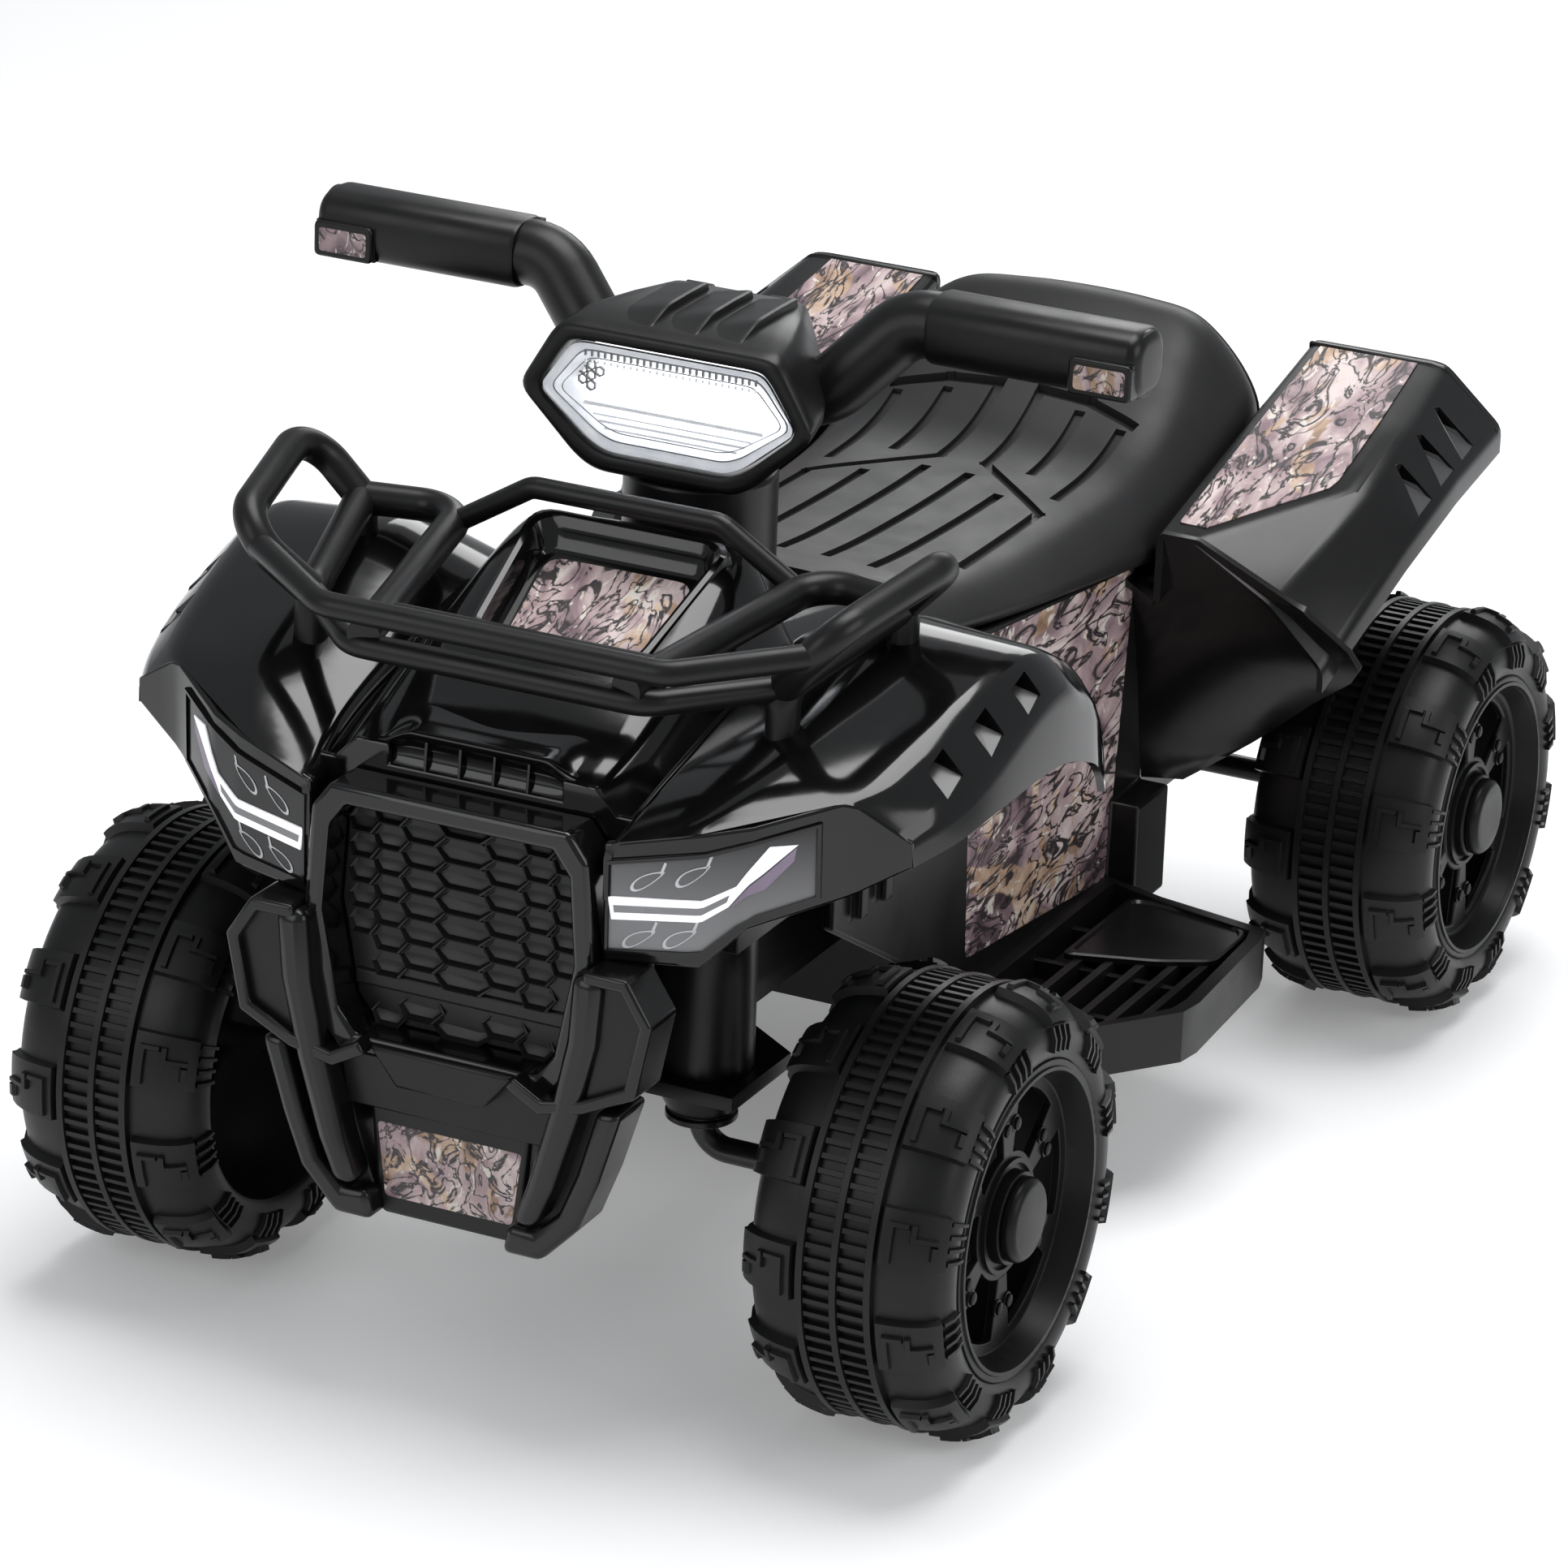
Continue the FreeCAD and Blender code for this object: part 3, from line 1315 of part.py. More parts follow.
def seat_section(row, inset):
    along, hem_z, hem_y, flank_z, flank_y, edge_z, edge_y, crown_z, crown_y = row
    base = d.side_rear_z + d.panel_gap
    half = [
        (d.seat_half_width * crown_y - inset, base + d.seat_rise * crown_z - inset),
        (d.seat_half_width * edge_y - inset, base + d.seat_rise * edge_z - inset),
        (d.seat_half_width * flank_y - inset, base + d.seat_rise * flank_z - inset),
        (d.seat_half_width * hem_y - inset, base + d.seat_rise * hem_z - inset),
    ]
    return mirrored(half)


def seat():
    """Moulded saddle with a raised back, open underneath."""
    body = new_body("seat")
    wall = d.seat_wall
    outside = [(seat_front_x - d.seat_length * row[0], seat_section(row, ZERO)) for row in SEAT_SHARES]
    loft(body, "YZ_Plane", outside)
    run = d.seat_length - wall * 2
    start = seat_front_x - wall
    hollow = [(start - run * row[0], seat_section(row, wall)) for row in SEAT_SHARES]
    loft(body, "YZ_Plane", hollow, "PartDesign::SubtractiveLoft")


seat()


# Grille, bumper and skid plate

def grille_half(inset):
    half = d.grille_half_width - inset
    low = d.grille_low_z + inset
    height = d.grille_height - inset * 2
    return [(half * across, low + height * up) for across, up in GRILLE_SHARES]


def grille_frame():
    body = new_body("grille_frame")
    outlines = [mirrored(grille_half(ZERO)), mirrored(grille_half(d.grille_bar))]
    pad(body, "YZ_Plane", grille_back_x, d.grille_depth, outlines)


def grille_insert():
    """Backing plate with staggered rows of flattened hexagon plates."""
    body = new_body("grille_insert")
    outline = mirrored(grille_half(d.grille_bar + d.panel_gap))
    pad(body, "YZ_Plane", grille_back_x, d.insert_plate, [outline])
    inner_half = d.grille_half_width - d.grille_bar - d.panel_gap
    low_margin, top_margin = [d.grille_bar * share for share in HEX_MARGIN_SHARES]
    low = d.grille_low_z + low_margin
    high = d.grille_low_z + d.grille_height - top_margin
    rows = int((high - low).value / d.hex_pitch_z.value)
    tip = d.hex_width / 2
    flat = d.hex_width * HEX_FLAT_SHARE
    rise = d.hex_height / 2
    for start, shift in ((0, 0), (1, 0.5)):
        z = low + d.hex_pitch_z * (start + 0.5)
        hexes = []
        for column in range(-2, 3):
            y = d.hex_pitch_y * (column + shift)
            if abs(y.value) + tip.value < inner_half.value * HEX_FIELD_SHARE:
                upper = [(y - flat, z + rise), (y + flat, z + rise), (y + tip, z)]
                hexes.append(upper + [(y + flat, z - rise), (y - flat, z - rise), (y - tip, z)])
        first_row = pad(body, "YZ_Plane", grille_back_x + d.insert_plate, d.hex_relief, hexes)
        stack_pattern(body, first_row, d.hex_pitch_z * 2, (rows - start + 1) // 2)


def guard_point(across, up):
    return d.guard_half_width * across, d.guard_low_z + d.guard_height * up


def bumper_guard():
    """U-shaped guard round the lower grille: side plates with sunk faces and two legs."""
    body = new_body("bumper_guard")
    outside = [guard_point(*share) for share in GUARD_SHARES]
    inside = [(y + d.panel_gap, z) for y, z in grille_half(ZERO)[2:]]
    inside[-1] = (inside[-1][0], inside[-1][1] - d.panel_gap)
    top_z = outside[0][1]
    ring = grille_half(ZERO)
    inner_top = (ring[2][0] + d.panel_gap, top_z)
    outer_run = mirrored([inner_top] + outside)
    inner_run = mirrored(list(reversed(inside)))
    outline = outer_run + inner_run[len(inside):] + inner_run[:len(inside)]
    back_x = nose_x - d.guard_depth
    pad(body, "YZ_Plane", back_x, d.guard_depth, [outline])
    for hand in (1, -1):
        plate = [guard_point(across * hand, up) for across, up in PLATE_SHARES]
        pocket(body, "YZ_Plane", nose_x - d.guard_recess, d.guard_recess + d.cut_overrun, [plate])
        leg_top = d.guard_low_z + d.guard_height * GUARD_SHARES[2][1]
        span = leg_top - d.leg_low_z
        leg = [(d.guard_half_width * across * hand, d.leg_low_z + span * up) for across, up in LEG_SHARES]
        pad(body, "YZ_Plane", nose_x - d.leg_back_setback, d.leg_depth, [leg])


def skid_plate():
    body = new_body("skid_plate")
    low = d.leg_low_z + d.panel_gap
    rise = d.skid_top_z - low
    half = [(d.skid_half_width * across, low + rise * up) for across, up in SKID_SHARES]
    pad(body, "YZ_Plane", nose_x - d.leg_back_setback, d.skid_depth, [mirrored(half)])


grille_frame()
grille_insert()
bumper_guard()
skid_plate()


# Rack

def fender_top_z(along_x, across_y):
    """Height of the front fender's skin at a plan position, by its station table."""
    share = (along_x - fender_rear_x).value / d.fender_length.value
    row = blend_rows(FENDER_SHARES, share)
    across = (across_y - fender_inner_y).value / d.fender_width.value
    marks = [(0, row[1]), (row[6], row[2]), (row[7], row[3])]
    near, far = next(pair for pair in zip(marks, marks[1:]) if across <= pair[1][0])
    up = near[1] + (far[1] - near[1]) * (across - near[0]) / (far[0] - near[0])
    return d.fender_low_z + d.fender_rise * up


def rack_point(lead, y, z, hand):
    """A place on the rack, by its lead ahead of the front axle."""
    return front_x + lead, y * hand, z


def on_skin(lead, y, hand):
    """The foot of a post, sunk into the fender's skin by the post's radius."""
    return rack_point(lead, y, fender_top_z(front_x + lead, y) - d.rail_radius, hand)


def between(start, end, share):
    return tuple(near + (far - near) * share for near, far in zip(start, end))


def rail_ends(hand):
    """Front and rear corner of a side rail's lower tube."""
    front = rack_point(d.rail_front_lead, d.rail_front_y, d.rail_front_z, hand)
    return front, rack_point(d.rail_rear_lead, d.rail_rear_y, d.rail_rear_z, hand)


def loop_corners(hand):
    """Front and rear corner of the raised loop above that tube."""
    front = rack_point(d.loop_front_lead, d.loop_front_y, d.loop_front_z, hand)
    return front, rack_point(d.loop_rear_lead, d.loop_rear_y, d.loop_rear_z, hand)


def rack_rail(hand):
    """Lower tube on two posts, with the loop rising from it."""
    front, rear = rail_ends(hand)
    front_foot = on_skin(d.rail_front_lead, d.rail_front_y, hand)
    rear_foot = on_skin(d.rail_rear_lead, d.rail_rear_y, hand)
    lower = tube_solid([front_foot, front, rear], d.post_bend, d.rail_radius)
    post = rod_solid(d.rail_radius, rear_foot, rear)
    loop = tube_solid([front, *loop_corners(hand), rear], d.rail_bend, d.rail_radius)
    return lower.fuse([post, loop])


def front_bar(end, z, bow):
    """Cross bar bowed forward between two ends."""
    end_x, end_y, end_z = end
    knee_x = end_x + bow
    knee_y = end_y * BAR_KNEE_SHARE
    points = [(end_x, -end_y, end_z), (knee_x, -knee_y, z), (knee_x, knee_y, z), end]
    return tube_solid(points, d.rail_bend, d.bar_radius)


def inner_rail_end(lead, hand):
    """The point on an inner rail's axis at a lead ahead of the front axle."""
    span = d.inner_rail_front_lead - d.inner_rail_rear_lead
    share = (lead - d.inner_rail_rear_lead).value / span.value
    rear = rack_point(d.inner_rail_rear_lead, d.inner_rail_rear_y, d.inner_rail_rear_z, hand)
    front = rack_point(d.inner_rail_front_lead, d.inner_rail_front_y, d.inner_rail_front_z, hand)
    return between(rear, front, share)


def inner_rail(hand):
    """Fore-and-aft tube that turns out at its rear to meet the side rail."""
    points = [
        inner_rail_end(d.inner_rail_front_lead, hand),
        inner_rail_end(d.inner_rail_rear_lead, hand),
        rail_ends(hand)[1],
    ]
    return tube_solid(points, d.rail_bend, d.rail_radius)


def largest(shape):
    return max(shape.Solids, key=lambda solid: solid.Volume)


rails = {hand: rack_rail(hand) for hand in (1, -1)}
inner_rails = {hand: inner_rail(hand) for hand in (1, -1)}
upper_end = between(rail_ends(1)[0], loop_corners(1)[0], LOOP_JOINT_SHARE)
upper_bar = front_bar(upper_end, d.upper_bar_z, d.upper_bar_bow)
lower_bar = front_bar(rail_ends(1)[0], d.lower_bar_z, d.lower_bar_bow)
cross_ends = [inner_rail_end(d.cross_bar_lead, hand) for hand in (1, -1)]
cross_bar = rod_solid(d.thin_bar_radius, *cross_ends)
hoop_x = front_x + d.hoop_lead
rear_hoop = tube_solid(
    [
        inner_rail_end(d.hoop_lead, -1),
        (hoop_x, -d.hoop_half_width, d.hoop_top_z),
        (hoop_x, d.hoop_half_width, d.hoop_top_z),
        inner_rail_end(d.hoop_lead, 1),
    ],
    d.hoop_bend,
    d.thin_bar_radius,
)
doc.recompute()
for side, hand in (("left", 1), ("right", -1)):
    fender = next(node for node in NODES if node.Label == f"front_fender_{side}")
    solid_node(f"rack_rail_{side}", largest(rails[hand].cut(fender.Shape)))
both_rails = rails[1].fuse(rails[-1])
both_inner = inner_rails[1].fuse(inner_rails[-1])
front_bars = [largest(bar.cut(both_rails)) for bar in (upper_bar, lower_bar)]
solid_node("rack_front_bars", Part.makeCompound(front_bars))
taken = both_rails.fuse([upper_bar, lower_bar])
solid_node("rack_inner_rails", Part.makeCompound([largest(inner_rails[hand].cut(taken)) for hand in (1, -1)]))
solid_node("rack_cross_bar", largest(cross_bar.cut(both_inner)))
solid_node("rack_rear_hoop", largest(rear_hoop.cut(both_inner)))


# Handlebar and headlight

def bar_points():
    tip_x = d.bar_root_x - d.bar_sweep
    return [
        (tip_x, d.bar_half_width, d.grip_z),
        (tip_x, d.bar_bend_y, d.grip_z),
        (d.bar_root_x, d.bar_root_y, d.bar_root_z),
        (d.bar_root_x, -d.bar_root_y, d.bar_root_z),
        (tip_x, -d.bar_bend_y, d.grip_z),
        (tip_x, -d.bar_half_width, d.grip_z),
    ]


def box_solid(low, high):
    size = vector(*high) - vector(*low)
    return Part.makeBox(size.x, size.y, size.z, vector(*low))


def handlebar_solid():
    """One moulding: bent bar, a boss on the front of each grip's end and the throttle housing."""
    bar = tube_solid(bar_points(), d.bar_bend_radius, d.grip_radius)
    tip_x = d.bar_root_x - d.bar_sweep
    front_x_face = tip_x + d.grip_radius + d.grip_boss_depth
    extras = []
    for hand in (1, -1):
        near = (d.bar_half_width - d.grip_boss_length) * hand
        far = d.bar_half_width * hand
        low_z = d.grip_z - d.grip_boss_drop - d.grip_boss_height / 2
        ends = (near, far) if hand > 0 else (far, near)
        extras.append(box_solid((tip_x, ends[0], low_z), (front_x_face, ends[1], low_z + d.grip_boss_height)))
    inner_y = -d.bar_bend_y - d.throttle_length / 2
    outer_y = inner_y - d.throttle_length
    rear_face = tip_x - d.grip_radius - d.throttle_depth
    low_z = d.grip_z - d.throttle_height / 2
    housing = box_solid((rear_face, outer_y, low_z), (tip_x, inner_y, low_z + d.throttle_height))
    hole_y = (inner_y + outer_y) / 2
    hole_end = rear_face + d.button_length + d.button_travel
    hole_start = (rear_face - d.cut_overrun, hole_y, d.grip_z)
    hole = rod_solid(d.button_radius + d.button_gap, hole_start, (hole_end, hole_y, d.grip_z))
    solid_node("drive_button", rod_solid(
        d.button_radius,
        (rear_face - d.button_travel, hole_y, d.grip_z),
        (hole_end - d.button_travel - d.button_gap, hole_y, d.grip_z),
    ))
    return bar.fuse(extras + [housing]).cut(hole)


solid_node("handlebar", handlebar_solid())


def pod_half(width, height_share, inset):
    low = d.pod_low_z + inset
    height = d.pod_height * height_share - inset * 2
    return [((width - inset) * across, low + height * up) for across, up in POD_SHARES]


def pod_station(along, width_share, height_share):
    x = d.pod_rear_x + (d.pod_front_x - d.pod_rear_x) * along
    return x, mirrored(pod_half(d.pod_half_width * width_share, height_share, ZERO))


def headlight_pod():
    """Six-sided shell that tapers to the rider, with louvres on top and a sunk front for the lens."""
    body = new_body("headlight_pod")
    loft(body, "YZ_Plane", [pod_station(*row) for row in POD_STATION_SHARES])
    front_share = POD_STATION_SHARES[-1][2]
    sunk = mirrored(pod_half(d.pod_half_width, front_share, d.pod_bezel))
    depth = d.lens_depth + d.light_board_wall + d.lens_gap * 2
    pocket(body, "YZ_Plane", d.pod_front_x - depth, depth + d.cut_overrun, [sunk])
    top_z = d.pod_low_z + d.pod_height * LOUVRE_ROOT_SHARE
    half_fin = d.louvre_width / 2
    for step in range(LOUVRE_COUNT):
        middle_y = d.louvre_pitch * (step - 1)
        low_x = d.pod_front_x - d.lens_depth - d.louvre_length
        fin = rectangle(low_x, middle_y - half_fin, low_x + d.louvre_length, middle_y + half_fin)
        pad(body, "XY_Plane", top_z, d.louvre_height, [fin])
    for hand in (1, -1):
        y = d.switch_pitch / 2 * hand
        half_w = d.switch_width / 2 + d.switch_gap
        half_h = d.switch_height / 2 + d.switch_gap
        hole = rectangle(y - half_w, d.switch_z - half_h, y + half_w, d.switch_z + half_h)
        pocket(body, "YZ_Plane", d.pod_rear_x - d.cut_overrun, d.switch_depth + d.cut_overrun, [hole])
    column = d.axle_radius + d.running_clearance
    pocket(body, "XY_Plane", d.pod_low_z - d.cut_overrun, d.column_top_gap + d.cut_overrun + d.panel_gap,
           circles=[(d.column_x, ZERO, column)])
    return body


pod = headlight_pod()
doc.recompute()
saddle = tube_solid(bar_points(), d.bar_bend_radius, d.grip_radius + d.panel_gap)
NODES.remove(pod)
pod.Label = "pod_moulding"
solid_node("headlight_pod", pod.Shape.cut(saddle))


def lens_slab(label, front, wall, gap):
    body = new_body(label)
    outline = mirrored(pod_half(d.pod_half_width, POD_STATION_SHARES[-1][2], d.pod_bezel + gap))
    pad(body, "YZ_Plane", front - wall, wall, [outline])


lens_slab("headlight_lens", lens_front_x, d.lens_depth, d.lens_gap)
lens_slab("light_board", lens_front_x - d.lens_depth - d.lens_gap, d.light_board_wall, d.lens_gap)


def column_neck():
    """Round sleeve between the pod and the dash, bored for the column."""
    body = new_body("column_neck")
    outline = [
        (d.axle_radius + d.running_clearance, d.neck_low_z),
        (d.neck_radius, d.neck_low_z),
        (d.neck_radius, d.pod_low_z),
        (d.axle_radius + d.running_clearance, d.pod_low_z),
    ]
    revolve_upright(body, outline)
    place(body, d.column_x, ZERO, ZERO)


column_neck()


def rocker(label, hand):
    """Rocker with two sloping pads that meet in a shallow valley."""
    body = new_body(label)
    y = d.switch_pitch / 2 * hand
    half_h = d.switch_height / 2 - d.switch_gap
    out = d.switch_depth * ROCKER_OUT_SHARE
    inside = d.pod_rear_x + d.switch_depth * ROCKER_IN_SHARE
    root = half_h * ROCKER_ROOT_SHARE
    outline = [
        (inside, d.switch_z - root),
        (d.pod_rear_x - out, d.switch_z - half_h),
        (d.pod_rear_x - out * ROCKER_VALLEY_SHARE, d.switch_z),
        (d.pod_rear_x - out, d.switch_z + half_h),
        (inside, d.switch_z + root),
    ]
    pad(body, "XZ_Plane", y - d.switch_width / 2, d.switch_width, [outline])


rocker("power_switch", 1)
rocker("direction_switch", -1)


# Drive and electrics

gear_outer_y = -d.tray_tail_half_width + d.tray_wall + d.panel_gap
gear_inner_y = gear_outer_y + d.gearbox_width
floor_top = d.floor_z + d.floor_thickness


def gearbox():
    """Closed housing on the rear axle, rounded over the big gear, with the motor's seat on its side."""
    body = new_body("gearbox")
    low_x = rear_x - d.gearbox_axle_inset
    high_x = low_x + d.gearbox_length
    cut = d.gearbox_height * GEARBOX_CUT_SHARE
    top = floor_top + d.gearbox_height
    outline = [
        (low_x, floor_top),
        (high_x, floor_top),
        (high_x, top - cut),
        (high_x - cut, top),
        (low_x + cut, top),
        (low_x, top - cut),
    ]
    pad(body, "XZ_Plane", gear_outer_y, d.gearbox_width, [outline])
    start = gear_outer_y - d.cut_overrun
    span = d.gearbox_width + d.cut_overrun * 2
    pocket(body, "XZ_Plane", start, span, circles=[(rear_x, axle_z, bore_radius)])
    sleeve_hole = (rear_x, axle_z, d.sleeve_radius + d.panel_gap)
    pocket(body, "XZ_Plane", start, d.sleeve_lap + d.cut_overrun, circles=[sleeve_hole])


def drive_motor():
    body = new_body("drive_motor")
    setback, lift = [d.motor_radius * share for share in MOTOR_SHARES]
    x = rear_x - d.gearbox_axle_inset + d.gearbox_length - setback
    z = floor_top + lift
    pad(body, "XZ_Plane", gear_inner_y, d.motor_length, circles=[(x, z, d.motor_radius)])


def drive_sleeve():
    """Tube on the axle that carries the gearbox's turn to the right rear wheel."""
    body = new_body("drive_sleeve")
    start = -hub_inner_y + d.panel_gap
    end = gear_outer_y + d.sleeve_lap - d.panel_gap
    ring = [(rear_x, axle_z, d.sleeve_radius), (rear_x, axle_z, bore_radius)]
    pad(body, "XZ_Plane", start, end - start, circles=ring)


def battery():
    body = new_body("battery")
    half = d.battery_width / 2
    front = d.battery_x + d.battery_length
    pad(body, "XY_Plane", floor_top, d.battery_height, [rectangle(d.battery_x, -half, front, half)])


def charge_socket():
    """Flanged barrel through the right body side, with a blind bore that opens outwards."""
    body = new_body("charge_socket")
    face_y = -side_outer_y - d.socket_flange
    centre = (d.socket_x, d.socket_z)
    pad(body, "XZ_Plane", face_y, d.socket_flange, circles=[(*centre, d.socket_flange_radius)])
    pad(body, "XZ_Plane", face_y, d.socket_depth + d.socket_flange, circles=[(*centre, d.socket_radius)])
    depth = d.socket_depth + d.cut_overrun
    pocket(body, "XZ_Plane", face_y - d.cut_overrun, depth, circles=[(*centre, d.socket_bore_radius)])


def body_screws():
    """Pan heads under the floor, one group."""
    heads = []
    low_z = d.floor_z - d.screw_head_height
    y = d.tray_half_width - d.screw_inset
    first_x = tray_front_x - d.screw_inset
    last_x = rear_x + d.tray_shoulder_gap + d.screw_inset
    for step in range(4):
        x = last_x + (first_x - last_x) * (step / 3)
        for hand in (1, -1):
            heads.append(rod_solid(d.screw_head_radius, (x, y * hand, low_z), (x, y * hand, d.floor_z)))
    solid_node("body_screws", Part.makeCompound(heads))


gearbox()
drive_motor()
drive_sleeve()
battery()
charge_socket()
body_screws()
doc.recompute()

# Check every object, then write one file for each piece
for item in doc.Objects:
    if "Invalid" in item.State or "Error" in item.State:
        raise RuntimeError(f"{item.Label} failed: {item.State}")
for node in NODES:
    if node.Shape.isNull() or not node.Shape.isValid():
        raise RuntimeError(f"{node.Label} has no valid shape")
os.makedirs("parts", exist_ok=True)
for node in NODES:
    node.Shape.exportStep(os.path.join("parts", f"{node.Label}.step"))
print(len(NODES), "pieces written")
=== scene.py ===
import json
from math import copysign, cos, pi, radians, sin

import bmesh
import bpy
from mathutils import Matrix, Vector


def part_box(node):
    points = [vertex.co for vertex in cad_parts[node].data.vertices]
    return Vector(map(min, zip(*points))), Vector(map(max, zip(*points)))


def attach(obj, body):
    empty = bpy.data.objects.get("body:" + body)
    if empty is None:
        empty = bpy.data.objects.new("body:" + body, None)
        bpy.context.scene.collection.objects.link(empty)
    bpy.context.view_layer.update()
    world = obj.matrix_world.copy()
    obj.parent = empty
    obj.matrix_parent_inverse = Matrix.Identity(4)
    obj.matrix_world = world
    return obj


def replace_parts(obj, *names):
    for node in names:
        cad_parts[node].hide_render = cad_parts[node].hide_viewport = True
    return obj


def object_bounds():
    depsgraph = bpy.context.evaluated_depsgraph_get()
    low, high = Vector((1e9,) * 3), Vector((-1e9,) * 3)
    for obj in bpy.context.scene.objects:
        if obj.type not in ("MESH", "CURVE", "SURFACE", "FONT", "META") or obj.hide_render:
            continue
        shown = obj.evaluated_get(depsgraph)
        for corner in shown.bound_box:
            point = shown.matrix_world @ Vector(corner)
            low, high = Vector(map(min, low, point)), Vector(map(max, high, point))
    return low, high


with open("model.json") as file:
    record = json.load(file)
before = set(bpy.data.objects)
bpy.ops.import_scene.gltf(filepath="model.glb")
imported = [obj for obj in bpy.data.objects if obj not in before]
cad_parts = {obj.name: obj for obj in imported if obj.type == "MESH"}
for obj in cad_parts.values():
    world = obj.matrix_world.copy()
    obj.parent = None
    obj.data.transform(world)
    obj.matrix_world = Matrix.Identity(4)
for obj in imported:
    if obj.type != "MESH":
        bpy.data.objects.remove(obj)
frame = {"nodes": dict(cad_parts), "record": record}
cad_low, cad_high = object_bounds()
record = frame["record"]
body_of_node = {n: body for body, members in record["behaviour"]["bodies"].items() for n in members}
slot_of_node = {row["node"]: row["material_slot"] for row in record["subparts"]}

SIDES = (("left", 1), ("right", -1))
WHEELS = [(f"{axle}_{side}", hand) for axle in ("front", "rear") for side, hand in SIDES]
AHEAD, ACROSS, UP = Vector((1.0, 0.0, 0.0)), Vector((0.0, 1.0, 0.0)), Vector((0.0, 0.0, 1.0))


# Materials

FINISH = {}
BLACK, WHITE = (0, 0, 0), (1, 1, 1)


def feed(tree, socket, value):
    """Sets a socket to a value, or links it to another node's output."""
    if isinstance(value, bpy.types.NodeSocket):
        tree.links.new(value, socket)
    else:
        socket.default_value = value


def plug(tree, node, **values):
    """Feeds a node's sockets, or sets its settings, by name."""
    for name, value in values.items():
        socket = node.inputs.get(name.replace("_", " "))
        if socket is None:
            setattr(node, name, value)
        else:
            feed(tree, socket, value)


def add_node(tree, kind, *in_order, **values):
    """A shader node with its sockets fed in order or by name."""
    made = tree.nodes.new(kind)
    plug(tree, made, **values)
    for socket, value in zip(made.inputs, in_order):
        feed(tree, socket, value)
    return made


def noise(tree, where, scale, detail=2.0, distortion=0.0):
    """Grey noise at a number of features per metre."""
    values = {"Vector": where, "Scale": scale, "Detail": detail, "Distortion": distortion}
    return add_node(tree, "ShaderNodeTexNoise", **values).outputs["Fac"]


def ramp(tree, factor, stops):
    """Colours along a factor: pairs of place and colour."""
    made = add_node(tree, "ShaderNodeValToRGB", Fac=factor)
    while len(made.color_ramp.elements) < len(stops):
        made.color_ramp.elements.new(1.0)
    for element, (place, colour) in zip(made.color_ramp.elements, stops):
        element.position = place
        element.color = (*colour, 1.0)
    return made.outputs["Color"]


def spread(tree, factor, low, high, start=0.3, end=0.7):
    """Maps the middle of a noise, or another run of values, to a range."""
    return add_node(tree, "ShaderNodeMapRange", factor, start, end, low, high).outputs["Result"]


def mixed(tree, factor, first, second):
    """One colour over another by a factor."""
    made = add_node(tree, "ShaderNodeMix", data_type="RGBA", Factor=factor)
    feed(tree, made.inputs[6], first)
    feed(tree, made.inputs[7], second)
    return made.outputs[2]


def new_material(name):
    material = bpy.data.materials.new(name)
    material.use_nodes = True
    FINISH[name] = material
    tree = material.node_tree
    where = tree.nodes.new("ShaderNodeTexCoord").outputs["Object"]
    return tree, tree.nodes["Principled BSDF"], where


def tinted(colour, factor):
    return tuple(channel * factor for channel in colour)


def moulded(name, colour, roughness, grain_scale, grain_height, sheen_change=0.05, shine=0.5):
    """Moulded plastic: a fine grain, with slow changes of tone and sheen over the surface."""
    tree, shader, where = new_material(name)
    tone = ramp(tree, noise(tree, where, 14.0, 4.0), [(0.3, tinted(colour, 0.8)), (0.7, tinted(colour, 1.2))])
    sheen = spread(tree, noise(tree, where, 45.0, 3.0), roughness - sheen_change, roughness + sheen_change)
    grain = noise(tree, where, grain_scale)
    bump = add_node(tree, "ShaderNodeBump", Strength=1.0, Distance=grain_height, Height=grain)
    plug(tree, shader, Base_Color=tone, Roughness=sheen, Specular_IOR_Level=shine)
    plug(tree, shader, Normal=bump.outputs["Normal"])


def mottled_print(name):
    """Printed film: drifting blots of mauve, tan and cream under fine dark strokes."""
    tree, shader, where = new_material(name)
    drift = add_node(tree, "ShaderNodeMapping", Vector=where, Rotation=(0.5, 0.4, 0.9), Scale=(1.0, 2.4, 1.5))
    drift = drift.outputs["Vector"]
    mauve = ramp(tree, noise(tree, drift, 21.0, 7.0, 1.2), [
        (0.3, (0.05, 0.035, 0.04)), (0.42, (0.25, 0.17, 0.19)), (0.53, (0.46, 0.34, 0.35)),
        (0.68, (0.74, 0.62, 0.6)),
    ])
    tan = ramp(tree, noise(tree, drift, 40.0, 6.0, 0.6), [
        (0.35, (0.24, 0.14, 0.09)), (0.5, (0.5, 0.34, 0.24)), (0.68, (0.74, 0.58, 0.46)),
    ])
    where_tan = ramp(tree, noise(tree, drift, 13.0, 2.0, 1.8), [(0.54, BLACK), (0.58, WHITE)])
    where_cream = ramp(tree, noise(tree, drift, 55.0, 5.0, 2.0), [(0.6, BLACK), (0.64, WHITE)])
    slant_values = {"Vector": where, "Rotation": (0.2, 0.9, 0.35), "Scale": (1.0, 3.2, 3.2)}
    slant = add_node(tree, "ShaderNodeMapping", **slant_values)
    lines = noise(tree, slant.outputs["Vector"], 21.0, 7.0, 2.2)
    strokes = ramp(tree, lines, [(0.45, BLACK), (0.478, WHITE), (0.512, WHITE), (0.54, BLACK)])
    pale = mixed(tree, where_cream, mixed(tree, where_tan, mauve, tan), (0.72, 0.66, 0.6, 1.0))
    inked = mixed(tree, strokes, pale, (0.035, 0.028, 0.03, 1.0))
    plug(tree, shader, Base_Color=inked, Roughness=spread(tree, noise(tree, where, 120.0), 0.24, 0.36))


